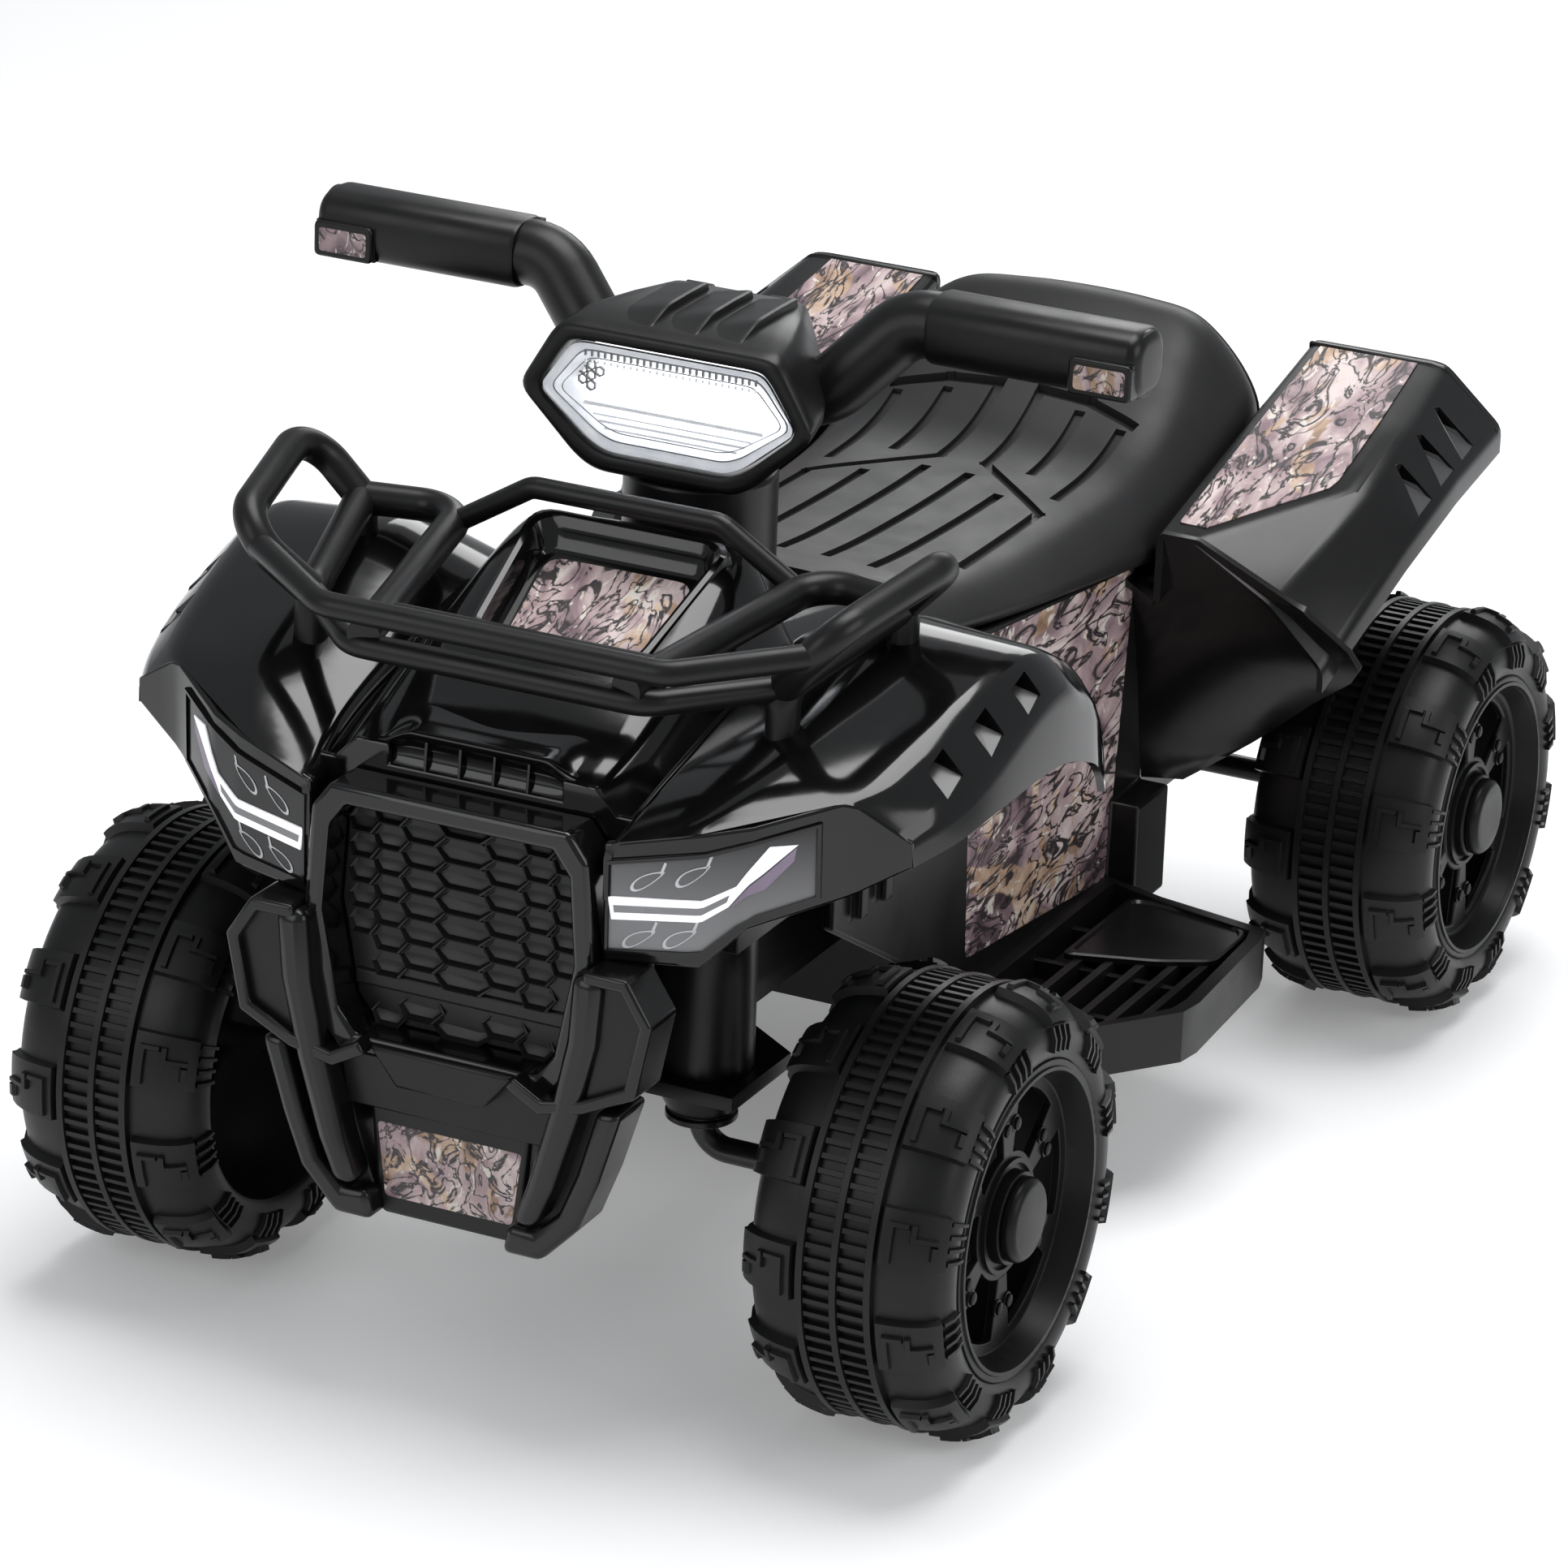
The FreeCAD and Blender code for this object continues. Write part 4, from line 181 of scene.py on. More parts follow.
def painted_reflection_panel(name, dark, pale):
    """Smooth field with a painted reflection: pale at its lower edge and growing darker upwards."""
    tree, shader, where = new_material(name)
    height = add_node(tree, "ShaderNodeSeparateXYZ", Vector=where).outputs["Z"]
    share = spread(tree, height, 0.0, 1.0, 0.2, 0.25)
    tone = ramp(tree, share, [(0.0, pale), (0.55, tinted(pale, 0.55)), (1.0, dark)])
    plug(tree, shader, Base_Color=tone, Roughness=spread(tree, noise(tree, where, 90.0), 0.14, 0.22))


def lamp_and_painted_glow(name, strength):
    """White plastic that glows: the lamp of the light board, and painted glow on the panel's bar, the
    reflector and the lens marks.
    """
    tree, shader, where = new_material(name)
    tone = ramp(tree, noise(tree, where, 160.0), [(0.3, (0.82, 0.84, 0.88)), (0.7, WHITE)])
    plug(tree, shader, Base_Color=tone, Emission_Color=tone, Emission_Strength=strength)


def clear_plastic(name):
    """Clear moulded lens."""
    tree, shader, where = new_material(name)
    haze = spread(tree, noise(tree, where, 90.0), 0.03, 0.1)
    plug(tree, shader, Base_Color=(0.97, 0.98, 1.0, 1.0), Transmission_Weight=1.0, IOR=1.45, Roughness=haze)


def bare_metal(name, colour):
    """Plated steel with a drawn grain."""
    tree, shader, where = new_material(name)
    stretch = add_node(tree, "ShaderNodeMapping", Vector=where, Scale=(1.0, 0.05, 1.0))
    grain = noise(tree, stretch.outputs["Vector"], 900.0, 3.0)
    tone = ramp(tree, grain, [(0.3, tinted(colour, 0.8)), (0.7, colour)])
    plug(tree, shader, Base_Color=tone, Metallic=1.0, Roughness=spread(tree, grain, 0.25, 0.4))


# grey, its blue channel, roughness, grain per metre, grain height, then change of sheen and specular level
MOULDED = {
    "gloss_black": (0.004, 0.0043, 0.1, 70.0, 0.00003, 0.03),
    "satin_black": (0.005, 0.0053, 0.24, 1500.0, 0.00001, 0.03, 0.42),
    "matte_black": (0.006, 0.0063, 0.34, 2400.0, 0.00003, 0.05, 0.32),
    "seat_black": (0.015, 0.0155, 0.42, 1700.0, 0.00004, 0.05, 0.28),
    "grille_black": (0.009, 0.0094, 0.36, 2600.0, 0.00003, 0.05, 0.35),
    "rack_black": (0.007, 0.0073, 0.36, 2200.0, 0.00003, 0.05, 0.32),
    "tyre_black": (0.007, 0.0073, 0.4, 1900.0, 0.00005, 0.05, 0.3),
    "rim_black": (0.008, 0.0084, 0.34, 160.0, 0.00003, 0.04, 0.16),
    # pale grey for the painted highlight on the lower faces of the vents
    "painted_highlight_grey": (0.055, 0.057, 0.3, 160.0, 0.00002),
    "light_panel": (0.03, 0.032, 0.16, 90.0, 0.00002, 0.03),
    "steel": (0.012, 0.012, 0.3, 700.0, 0.00002),
    "gear_grey": (0.12, 0.125, 0.5, 2000.0, 0.00004),
    "battery_grey": (0.2, 0.21, 0.5, 1500.0, 0.00004),
    "button_red": (0.035, 0.037, 0.35, 1500.0, 0.00003),
    "panel_line": (0.72, 0.74, 0.3, 900.0, 0.00001),
    "panel_slot": (0.3, 0.31, 0.3, 900.0, 0.00001),
    "lens_cell": (0.14, 0.145, 0.25, 900.0, 0.00001),
}
for name, (grey, blue, *rest) in MOULDED.items():
    moulded(name, (grey, grey, blue), *rest)
moulded("panel_mauve", (0.3, 0.24, 0.33), 0.3, 900.0, 0.00001)
# The light board is the headlight's lamp; the panel's bar, the reflector and the lens marks glow as painted
# glow.
for name, strength in (("board_white", 2.2), ("painted_glow_bar", 0.5), ("reflector", 0.3), ("lens_mark", 0.22)):
    lamp_and_painted_glow(name, strength)
clear_plastic("lens_clear")
bare_metal("motor_steel", (0.5, 0.5, 0.51))
mottled_print("mottled_print")
# Light panel fields with a painted reflection: the left field is painted lit and the right one painted in
# shade, though both are the same sticker.
painted_reflection_panel("panel_left", (0.02, 0.02, 0.021), (0.3, 0.3, 0.31))
painted_reflection_panel("panel_right", (0.006, 0.006, 0.0065), (0.02, 0.02, 0.021))


# Points and curves

# most of a straight run that a rounded corner may take
CORNER_SHARE = 0.45


def both_sides(make):
    for side, hand in SIDES:
        make(side, hand)


def between(a, b, share):
    return a + (b - a) * share


def evenly(low, high, count):
    return [low + (high - low) * i / (count - 1) for i in range(count)]


def full_turn(count):
    return [2 * pi * step / count for step in range(count)]


def circle(centre, first, second, radius, count, start=0.0):
    """Points round a centre, from a first direction towards a second."""
    angles = [start + angle for angle in full_turn(count)]
    return [centre + (first * cos(a) + second * sin(a)) * radius for a in angles]


def mirrored(half):
    """An outline from its left half, as places across and up."""
    return half + [(-y, z) for y, z in reversed(half)]


def frontal(x, places, hand=1):
    """Places across and up, set into the frontal plane at x."""
    return [Vector((x, y * hand, z)) for y, z in places]


def row_at(rows, at):
    """The row that a station table gives between its own rows."""
    near, far = next(pair for pair in zip(rows, rows[1:]) if at <= pair[1][0])
    share = (at - near[0]) / (far[0] - near[0])
    return [between(a, b, share) for a, b in zip(near, far)]


def smooth_line(points, steps):
    """A curve through points, as a list of points."""
    line = []
    for i, (start, end) in enumerate(zip(points, points[1:])):
        before, after = points[max(i - 1, 0)], points[min(i + 2, len(points) - 1)]
        for t in (step / steps for step in range(steps)):
            line.append(
                0.5 * (2 * start + (end - before) * t + (2 * before - 5 * start + 4 * end - after) * t * t
                       + (3 * start - before - 3 * end + after) * t ** 3)
            )
    return line + [points[-1].copy()]


def spline_rows(stations, steps):
    """Stations of equal length, joined by curves through their points."""
    columns = [smooth_line(list(column), steps) for column in zip(*stations)]
    return [list(row) for row in zip(*columns)]


def corner_curve(before, corner, after, radius, steps):
    """Points round a corner, from one straight run to the next."""
    back, on = before - corner, after - corner
    start = corner + back.normalized() * min(radius, back.length * CORNER_SHARE)
    end = corner + on.normalized() * min(radius, on.length * CORNER_SHARE)
    shares = [step / steps for step in range(steps + 1)]
    return [start * (1 - t) ** 2 + corner * 2 * t * (1 - t) + end * t * t for t in shares]


def rounded_path(points, radius, steps=3):
    """A path of straight runs with its corners rounded."""
    path = [points[0]]
    for corner in zip(points, points[1:], points[2:]):
        path += corner_curve(*corner, radius, steps)
    return path + [points[-1]]


def closed_round(loop, radius, steps=5):
    """A closed loop with rounded corners."""
    ring = []
    for corner in zip(loop[-1:] + loop[:-1], loop, loop[1:] + loop[:1]):
        ring += corner_curve(*corner, radius, steps)
    return ring


# Meshes

SMOOTH_ANGLE = radians(32)
FILM_WALL = 0.0004
FILM_GAP = 0.0001
WELD_GAP = 1e-6
EDGE_ROUND = 0.0012
FINE_ROUND = 0.0008


def add_object(name, data):
    made = bpy.data.objects.new(name, data)
    bpy.context.scene.collection.objects.link(made)
    return made


def new_piece(name, points, faces):
    """An object from points and faces in the frame, in metres."""
    mesh = bpy.data.meshes.new(name)
    mesh.from_pydata([tuple(p) for p in points], [], faces)
    mesh.validate()
    return add_object(name, mesh)


class Build:
    """Collects points and faces of one piece."""

    def __init__(self, rows=None):
        self.points, self.faces = [], []
        if rows:
            self.grid(rows)

    def grid(self, rows, closed=False):
        """A skin over rows of points."""
        first, width, count = len(self.points), len(rows[0]), len(rows)
        for row in rows:
            self.points.extend(row)
        for i in range(count if closed else count - 1):
            for k in range(width - 1):
                a, b = first + i * width + k, first + (i + 1) % count * width + k
                self.faces.append((a, a + 1, b + 1, b))

    def cap(self, first, count, turned=False):
        """A face over a run of points, counted from the end where first is negative."""
        first %= len(self.points)
        face = tuple(range(first, first + count))
        self.faces.append(face[::-1] if turned else face)

    def raised(self, skin, hand, angles, acrosses, base, lift, taper):
        """A pad over a patch of a tyre's skin, with sloped sides."""
        angles = evenly(*angles)
        acrosses = evenly(*sorted((hand * acrosses[0], hand * acrosses[1])), acrosses[2])
        turn = taper / skin.radius
        rows = []
        for i, angle in enumerate([angles[0], *angles, angles[-1]]):
            row = []
            for k, across in enumerate([acrosses[0], *acrosses, acrosses[-1]]):
                if i in (0, len(angles) + 1) or k in (0, len(acrosses) + 1):
                    row.append(skin.point(angle, across, base))
                else:
                    inner_angle = min(max(angle, angles[0] + turn), angles[-1] - turn)
                    inner_across = min(max(across, acrosses[0] + taper), acrosses[-1] - taper)
                    row.append(skin.point(inner_angle, inner_across, lift))
            rows.append(row)
        self.grid(rows)

    def piece(self, name):
        return new_piece(name, self.points, self.faces)


def dress(piece, finish, body="chassis"):
    """Gives a piece its finish and the body it rides on."""
    piece.data.materials.clear()
    piece.data.materials.append(FINISH[finish])
    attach(piece, body)
    return piece


def shown(piece, finish, body="chassis", angle=SMOOTH_ANGLE):
    """Smooth shading with sharp edges above an angle, and a finish."""
    mesh = piece.data
    mesh.polygons.foreach_set("use_smooth", [True] * len(mesh.polygons))
    mesh.set_sharp_from_angle(angle=angle)
    return dress(piece, finish, body)


def bevelled(piece, width, segments=3, angle=radians(28)):
    """Rounds the edges that are sharper than an angle."""
    bevel = piece.modifiers.new("round_edges", "BEVEL")
    bevel.width = width
    bevel.segments = segments
    bevel.limit_method = "ANGLE"
    bevel.angle_limit = angle
    return piece


def thickened(piece, wall):
    """Gives a skin a wall, inwards where wall is positive."""
    solid = piece.modifiers.new("wall", "SOLIDIFY")
    solid.thickness = abs(wall)
    solid.offset = -1.0 if wall > 0 else 1.0
    solid.use_even_offset = True
    return piece


def frozen(piece):
    """Keeps a piece's shape after its modifiers, as a plain mesh."""
    bpy.context.view_layer.update()
    shape = piece.evaluated_get(bpy.context.evaluated_depsgraph_get())
    mesh = bpy.data.meshes.new_from_object(shape)
    piece.modifiers.clear()
    piece.data = mesh
    return piece


def cut_by(piece, cutters):
    """Cuts closed shapes out of a piece."""
    for cutter in cutters:
        cut = piece.modifiers.new("cut", "BOOLEAN")
        cut.operation = "DIFFERENCE"
        cut.object = cutter
        cut.solver = "EXACT"
    frozen(piece)
    for cutter in cutters:
        bpy.data.objects.remove(cutter)
    return piece


def welded(piece, fill=False):
    """Joins points that coincide, fills open ends if asked and turns every face outwards."""
    build = bmesh.new()
    build.from_mesh(piece.data)
    bmesh.ops.remove_doubles(build, verts=build.verts, dist=WELD_GAP)
    if fill:
        bmesh.ops.holes_fill(build, edges=[edge for edge in build.edges if edge.is_boundary], sides=0)
    bmesh.ops.recalc_face_normals(build, faces=build.faces)
    if build.calc_volume(signed=True) < 0.0:
        bmesh.ops.reverse_faces(build, faces=build.faces)
    build.to_mesh(piece.data)
    build.free()
    return piece


def prism(name, loop, offset):
    """A closed prism that reaches an offset to both sides of a loop."""
    count = len(loop)
    points = [p + offset for p in loop] + [p - offset for p in loop]
    faces = [tuple(range(count)), tuple(reversed(range(count, count * 2)))]
    faces += [((i + 1) % count, i, i + count, (i + 1) % count + count) for i in range(count)]
    return welded(new_piece(name, points, faces))


def tube(name, rings, first=False, last=False):
    """A skin over closed rings of equal length, with its ends closed if asked."""
    build = Build([ring + ring[:1] for ring in rings])
    width = len(rings[0])
    if first:
        build.cap(0, width)
    if last:
        build.cap(-width - 1, width, True)
    return welded(build.piece(name))


def skin_piece(name, rows, wall, hand=1):
    """A walled shell over rows of points."""
    return thickened(Build(rows if hand > 0 else rows[::-1]).piece(name), wall)


def film(name, loop, body="chassis"):
    """A printed film with a closed outline."""
    piece = thickened(new_piece(name, loop, [tuple(range(len(loop)))]), FILM_WALL)
    return dress(frozen(piece), "mottled_print", body)


# Tyres

TYRE_STEPS = 144
TREAD_ROWS = 96
LUGS = 12
LUG_TURN = radians(16.0)
BAND_HALF = 0.0155
RIDGE_HALF = 0.0017
LUG_LIFT = 0.0034
RIDGE_LIFT = 0.0029
BAR_LIFT = 0.0022
MARK_LIFT = 0.0017
MARK_WIDTH = 0.0026
SUNK = 0.0008
# slope of the sides of bars, lugs, marks and ribs
BAR_TAPER, LUG_TAPER, MARK_TAPER, RIB_TAPER = 0.0003, 0.0012, 0.0005, 0.0004
RIB_LIFT = LUG_LIFT * 0.62
RIDGE_TOP_SHARE = 0.75
BAR_SHARE = 0.46
BAR_LAP_SHARE = 0.8
# from the band's edge: where lugs start and end, and the steps of the ridge on them
LUG_ENDS = (0.0006, 0.0255)
MARK_STEPS = (0.004, 0.012, 0.0215)
# places of that ridge round the lug, as shares of half its turn
MARK_SHARES = (-0.78, -0.55, -0.05, 0.55)
# comb below that ridge: ribs, then first place, pitch and width as shares of half a lug, and reach across
COMB_RIBS = 4
COMB_SHARES = (-0.82, 0.48, 0.2)
COMB_ENDS = (0.004, 0.0135)
# keeps the tread's ridges above the floor
TREAD_ROOM = 0.0017
# half contour of the carcass from the crown to the bead: share of the half width, share of the radius
CONTOUR_SHARES = [
    (0.0, 0.966), (0.2, 0.966), (0.38, 0.965), (0.56, 0.957), (0.74, 0.936), (0.88, 0.898), (0.962, 0.84),
    (0.985, 0.78), (0.96, 0.73), (0.92, 0.705),
]


class TyreSkin:
    """Places points on a tyre by angle, distance across from the crown and lift above the carcass."""

    def __init__(self, node):
        low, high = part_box(node)
        self.centre = (low + high) / 2
        self.radius = (high.z - low.z) / 2 - TREAD_ROOM
        half = (high.y - low.y) / 2
        half_line = smooth_line([Vector((w * half, r * self.radius)) for w, r in CONTOUR_SHARES], 5)
        self.line = [Vector((-p.x, p.y)) for p in reversed(half_line[1:])] + half_line
        runs = [(b - a).length for a, b in zip(self.line, self.line[1:])]
        self.places = [-sum(runs) / 2]
        for run in runs:
            self.places.append(self.places[-1] + run)

    def point(self, angle, across, lift):
        places = self.places
        i = max(j for j in range(len(places) - 1) if places[j] <= across or j == 0)
        share = (across - places[i]) / (places[i + 1] - places[i])
        on = self.line[i].lerp(self.line[i + 1], share)
        along = (self.line[i + 1] - self.line[i]).normalized()
        out = Vector((-along.y, along.x))
        radius = on.y + out.y * lift
        return self.centre + Vector((radius * cos(angle), on.x + out.x * lift, radius * sin(angle)))


def staggered(count):
    """Angles of the rows on both halves of a tyre, half a pitch apart."""
    pitch = 2 * pi / count
    return [(pitch * (step + (0.5 if hand > 0 else 0.0)), hand) for step in range(count) for hand in (-1, 1)]


def lug_marks(build, skin, angle, hand):
    """The stepped ridge on a shoulder lug and the comb of ribs below it."""
    half = LUG_TURN / 2
    near, middle, far = (BAND_HALF + step for step in MARK_STEPS)
    share = MARK_WIDTH / skin.radius / half
    start, foot, bend, end = MARK_SHARES
    for first, last, low, high in (
        (start, end, near, near + MARK_WIDTH), (end - share, end, near, middle),
        (bend, end, middle, middle + MARK_WIDTH), (bend, bend + share, middle, far),
        (foot, bend, far - MARK_WIDTH, far),
    ):
        angles = (angle + half * first, angle + half * last, 3)
        lifts = (LUG_LIFT - MARK_TAPER, LUG_LIFT + MARK_LIFT)
        build.raised(skin, hand, angles, (low, high, 3), *lifts, MARK_TAPER)
    first, pitch, width = COMB_SHARES
    acrosses = (far + COMB_ENDS[0], far + COMB_ENDS[1], 3)
    for step in range(COMB_RIBS):
        start = first + step * pitch
        angles = (angle + half * start, angle + half * (start + width), 2)
        build.raised(skin, hand, angles, acrosses, -SUNK, RIB_LIFT, RIB_TAPER)


def tyre(node):
    """Blow-moulded tyre: a ribbed centre band between smooth shoulders with stepped lugs."""
    skin = TyreSkin(node)
    build = Build()

    def ring(section):
        angles = full_turn(TYRE_STEPS)
        build.grid([[skin.point(angle, *place) for place in section] for angle in angles], closed=True)

    ring([(across, 0.0) for across in skin.places + skin.places[:1]])
    for middle in (-BAND_HALF + RIDGE_HALF, 0.0, BAND_HALF - RIDGE_HALF):
        foot = middle - RIDGE_HALF
        edge = RIDGE_HALF * RIDGE_TOP_SHARE
        ring([(foot, -SUNK), (middle - edge, RIDGE_LIFT), (middle + edge, RIDGE_LIFT),
              (middle + RIDGE_HALF, -SUNK), (foot, -SUNK)])
    bar_turn = 2 * pi / TREAD_ROWS * BAR_SHARE
    bar_ends = (RIDGE_HALF * BAR_LAP_SHARE, BAND_HALF - RIDGE_HALF * (1 + BAR_LAP_SHARE), 2)
    for angle, hand in staggered(TREAD_ROWS):
        build.raised(skin, hand, (angle, angle + bar_turn, 2), bar_ends, -SUNK, BAR_LIFT, BAR_TAPER)
    lug_ends = (BAND_HALF + LUG_ENDS[0], BAND_HALF + LUG_ENDS[1], 9)
    for angle, hand in staggered(LUGS):
        angles = (angle - LUG_TURN / 2, angle + LUG_TURN / 2, 7)
        build.raised(skin, hand, angles, lug_ends, -SUNK, LUG_LIFT, LUG_TAPER)
        lug_marks(build, skin, angle, hand)
    piece = shown(welded(build.piece(f"{node}_shown"), fill=True), "tyre_black", body_of_node[node])
    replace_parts(piece, node)


for wheel, _ in WHEELS:
    tyre(f"{wheel}_tyre")


# Form and vents that both kinds of fender share

VENTS = 3
VENT_REACH = 0.012
POCKET_DEPTH = 0.011
POCKET_WALL = 0.001
POCKET_FLOOR_SHARE = 0.55
RAMP_WALL = 0.0004
RAMP_DEPTH_SHARE = 0.6


class MudguardForm:
    """Places stations from rows of shares: length, five heights, then widths from the second place on."""

    def __init__(self, node, hand, shares, width, rise):
        self.low, self.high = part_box(node)
        self.hand, self.shares, self.width, self.rise = hand, shares, width, rise
        self.root_y, outer_y = sorted((abs(self.low.y), abs(self.high.y)))
        self.inner_y = self.first_y = outer_y - width
        self.low_z = self.high.z - rise

    def station(self, at):
        row = row_at(self.shares, at)
        heights = [self.low_z + self.rise * share for share in row[1:6]]
        widths = [self.first_y] + [self.inner_y + self.width * share for share in row[6:]]
        return frontal(self.start_x + self.run * at, zip(widths + widths[-1:], heights), self.hand)


def vent_pocket(name, loop, outward, lower):
    """Funnel behind a vent: sloped walls down to a small dark floor, with a ramp from its sill painted pale
    grey as a painted highlight.
    """
    depth = -outward * POCKET_DEPTH
    centre = sum(loop, Vector()) / len(loop)
    inner = [between(p, centre, POCKET_FLOOR_SHARE) + depth for p in loop]
    count = len(loop)
    faces = [(i, (i + 1) % count, (i + 1) % count + count, i + count) for i in range(count)]
    faces.append(tuple(range(count, count * 2)))
    dress(frozen(thickened(new_piece(name, loop + inner, faces), POCKET_WALL)), "gloss_black")
    sill, head = lower
    points = [loop[i] - outward * RAMP_WALL for i in sill]
    points += [loop[i] + depth * RAMP_DEPTH_SHARE for i in head]
    # The ramp is painted pale grey as a painted highlight on the vent's lower face.
    facet = new_piece(f"{name}_ramp", points, [tuple(range(len(points)))])
    dress(frozen(thickened(facet, RAMP_WALL)), "painted_highlight_grey")


def cut_vents(piece, node, form, spacing, corners, lower):
    """Cuts a row of vents into a fender's bevel: start, pitch and length, then corners along and down."""
    start, pitch, length = spacing
    cutters = []
    for step in range(VENTS):
        at = start + step * pitch
        near, far = ((row[2], row[3]) for row in (form.station(at), form.station(at + length)))
        loop = [near[0].lerp(near[1], down).lerp(far[0].lerp(far[1], down), along) for along, down in corners]
        normal = (loop[1] - loop[0]).cross(loop[3] - loop[0]).normalized()
        cutters.append(prism(f"{node}_vent_{step}", loop, normal * VENT_REACH))
        vent_pocket(f"{node}_pocket_{step}", loop, normal * form.hand, lower)
    cut_by(piece, cutters)


# Front fenders: length from the rear, heights of inner edge, crown, crease, shoulder and lip, then widths
# of crown, crease, shoulder and lip
FENDER_WIDTH = 0.112
FENDER_RISE = 0.075
FENDER_WALL = 0.003
FENDER_FLANGE = 0.022
FENDER_SHARES = [
    (0.0, 0.39, 0.49, 0.39, 0.25, 0.0, 0.39, 0.855, 0.945, 0.96),
    (0.05, 0.58, 0.74, 0.66, 0.47, 0.15, 0.39, 0.865, 0.965, 0.98),
    (0.125, 0.71, 0.89, 0.81, 0.6, 0.28, 0.39, 0.87, 0.98, 0.995),
    (0.285, 0.79, 0.99, 0.96, 0.77, 0.4, 0.39, 0.865, 0.98, 1.0),
    (0.535, 0.68, 0.85, 0.83, 0.6, 0.39, 0.39, 0.815, 0.965, 0.99),
    (0.785, 0.53, 0.65, 0.61, 0.41, 0.27, 0.39, 0.745, 0.89, 0.915),
]
FENDER_ROUND = 0.006
FENDER_TOP_SHARE = 0.99
FENDER_VENT_SHARES = (0.32, 0.14, 0.06)
FENDER_VENT_CORNERS = ((0, 0.22), (1, 0.3), (1, 0.86), (0, 0.74))
# where the last station lies, from the inner edge to the lip, and where the top meets the face
FENDER_LAST = (0.785, 0.785, 0.74, 0.68, 0.66)
FENDER_FRONT = [(0.0, 1.0), (0.4, 1.0), (1.0, 1.0), (1.26, 1.0), (1.27, 0.0)]
# Front face: width, sweep at the top and bottom, height at the top and bottom
FACE_SWEEP = 0.041
FACE_WIDTH = 0.08
FACE_HEIGHT = 0.066
FACE_WALL = 0.004
FACE_SHARES = [
    (0.0, 0.0, 0.02, 0.7, 0.0),
    (0.45, 0.27, 0.2, 0.81, 0.03),
    (0.64, 0.44, 0.37, 0.86, 0.27),
    (1.0, 0.93, 1.0, 1.0, 0.42),
    (1.27, 1.13, 1.15, 0.78, 0.63),
]
FACE_ACROSSES = (0.0, 0.1, 0.2, 0.32, 0.45, 0.5, 0.57, 0.64, 0.7, 0.8, 0.9, 0.97, 1.03, 1.12, 1.2, 1.27)


class FenderForm(MudguardForm):
    """Places points on one front fender: its arched top and its forward face."""

    def __init__(self, side, hand):
        super().__init__(f"front_fender_{side}", hand, FENDER_SHARES, FENDER_WIDTH, FENDER_RISE)
        self.start_x, self.run = self.low.x, self.high.x - self.low.x
        self.low_z = self.high.z - FENDER_RISE * FENDER_TOP_SHARE

    def face(self, across, up, lift=0.0):
        """A point on the forward face, lifted forwards."""
        row = row_at(FACE_SHARES, across)
        sweep, height = between(row[2], row[1], up), between(row[4], row[3], up)
        return Vector((
            self.start_x + self.run - FACE_SWEEP * sweep + lift,
            (self.root_y + FACE_WIDTH * across) * self.hand,
            self.low.z + FACE_HEIGHT * height,
        ))


def front_fender(side, hand):
    """Arched fender with a vented bevel, closed in front by a swept face."""
    form = FenderForm(side, hand)
    node = f"front_fender_{side}"
    stations = [form.station(row[0]) for row in FENDER_SHARES]
    stations[-1] = [form.station(at)[place] for place, at in enumerate(FENDER_LAST)]
    stations.append([form.face(*place) for place in FENDER_FRONT])
    stations = [[row[0] - UP * FENDER_FLANGE] + row for row in stations]
    rows = [rounded_path(row, FENDER_ROUND) for row in spline_rows(stations, 8)]
    top = skin_piece(f"{node}_top", rows, FENDER_WALL, -hand)
    cut_vents(top, node, form, FENDER_VENT_SHARES, FENDER_VENT_CORNERS, ((2, 3), (0, 1)))
    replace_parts(shown(top, "gloss_black"), node)
    face_rows = [[form.face(across, up / 6) for up in range(7)] for across in FACE_ACROSSES]
    face = skin_piece(f"{node}_face", face_rows, -FACE_WALL, hand)
    shown(bevelled(frozen(face), EDGE_ROUND), "gloss_black")


both_sides(front_fender)


# Seat: length from the front, then height and half width of the hem, flank, edge and crown
SEAT_SHARES = [
    (0.0, 0.28, 0.71, 0.36, 0.735, 0.52, 0.53, 0.555, 0.23),
    (0.19, 0.197, 0.83, 0.275, 0.86, 0.43, 0.67, 0.465, 0.29),
    (0.47, 0.072, 0.9, 0.17, 0.93, 0.39, 0.74, 0.43, 0.32),
    (0.65, 0.0, 0.94, 0.17, 0.985, 0.45, 0.78, 0.49, 0.345),
    (0.81, 0.0, 0.94, 0.39, 0.99, 0.77, 0.76, 0.83, 0.345),
    (0.91, 0.0, 0.9, 0.52, 0.96, 0.92, 0.69, 1.0, 0.32),
    (1.0, 0.0, 0.8, 0.39, 0.83, 0.73, 0.55, 0.8, 0.28),
]
SEAT_WALL = 0.004
SEAT_CROWN_SHARE = 0.012
SEAM_ROW = 10
SEAM_RADIUS = 0.0011
GROOVE_DEPTH = 0.0024
GROOVE_STEP = 0.006
SLOT_HALF = 0.0024
SLOT_HEIGHT = 0.012
# seat grooves on the left half, as runs of places along and across, in metres from the origin
GROOVES = [
    [(0.03, 0.01), (-0.103, 0.01)],
    [(0.03, 0.0305), (-0.087, 0.0305)],
    [(-0.002, 0.0545), (-0.08, 0.0525), (-0.1195, 0.0105), (-0.1755, 0.0095)],
    [(-0.1755, 0.0095), (-0.1745, 0.0325), (-0.168, 0.0545)],
    [(-0.12, 0.0315), (-0.167, 0.0305)],
    [(-0.1, 0.0515), (-0.162, 0.0515)],
]


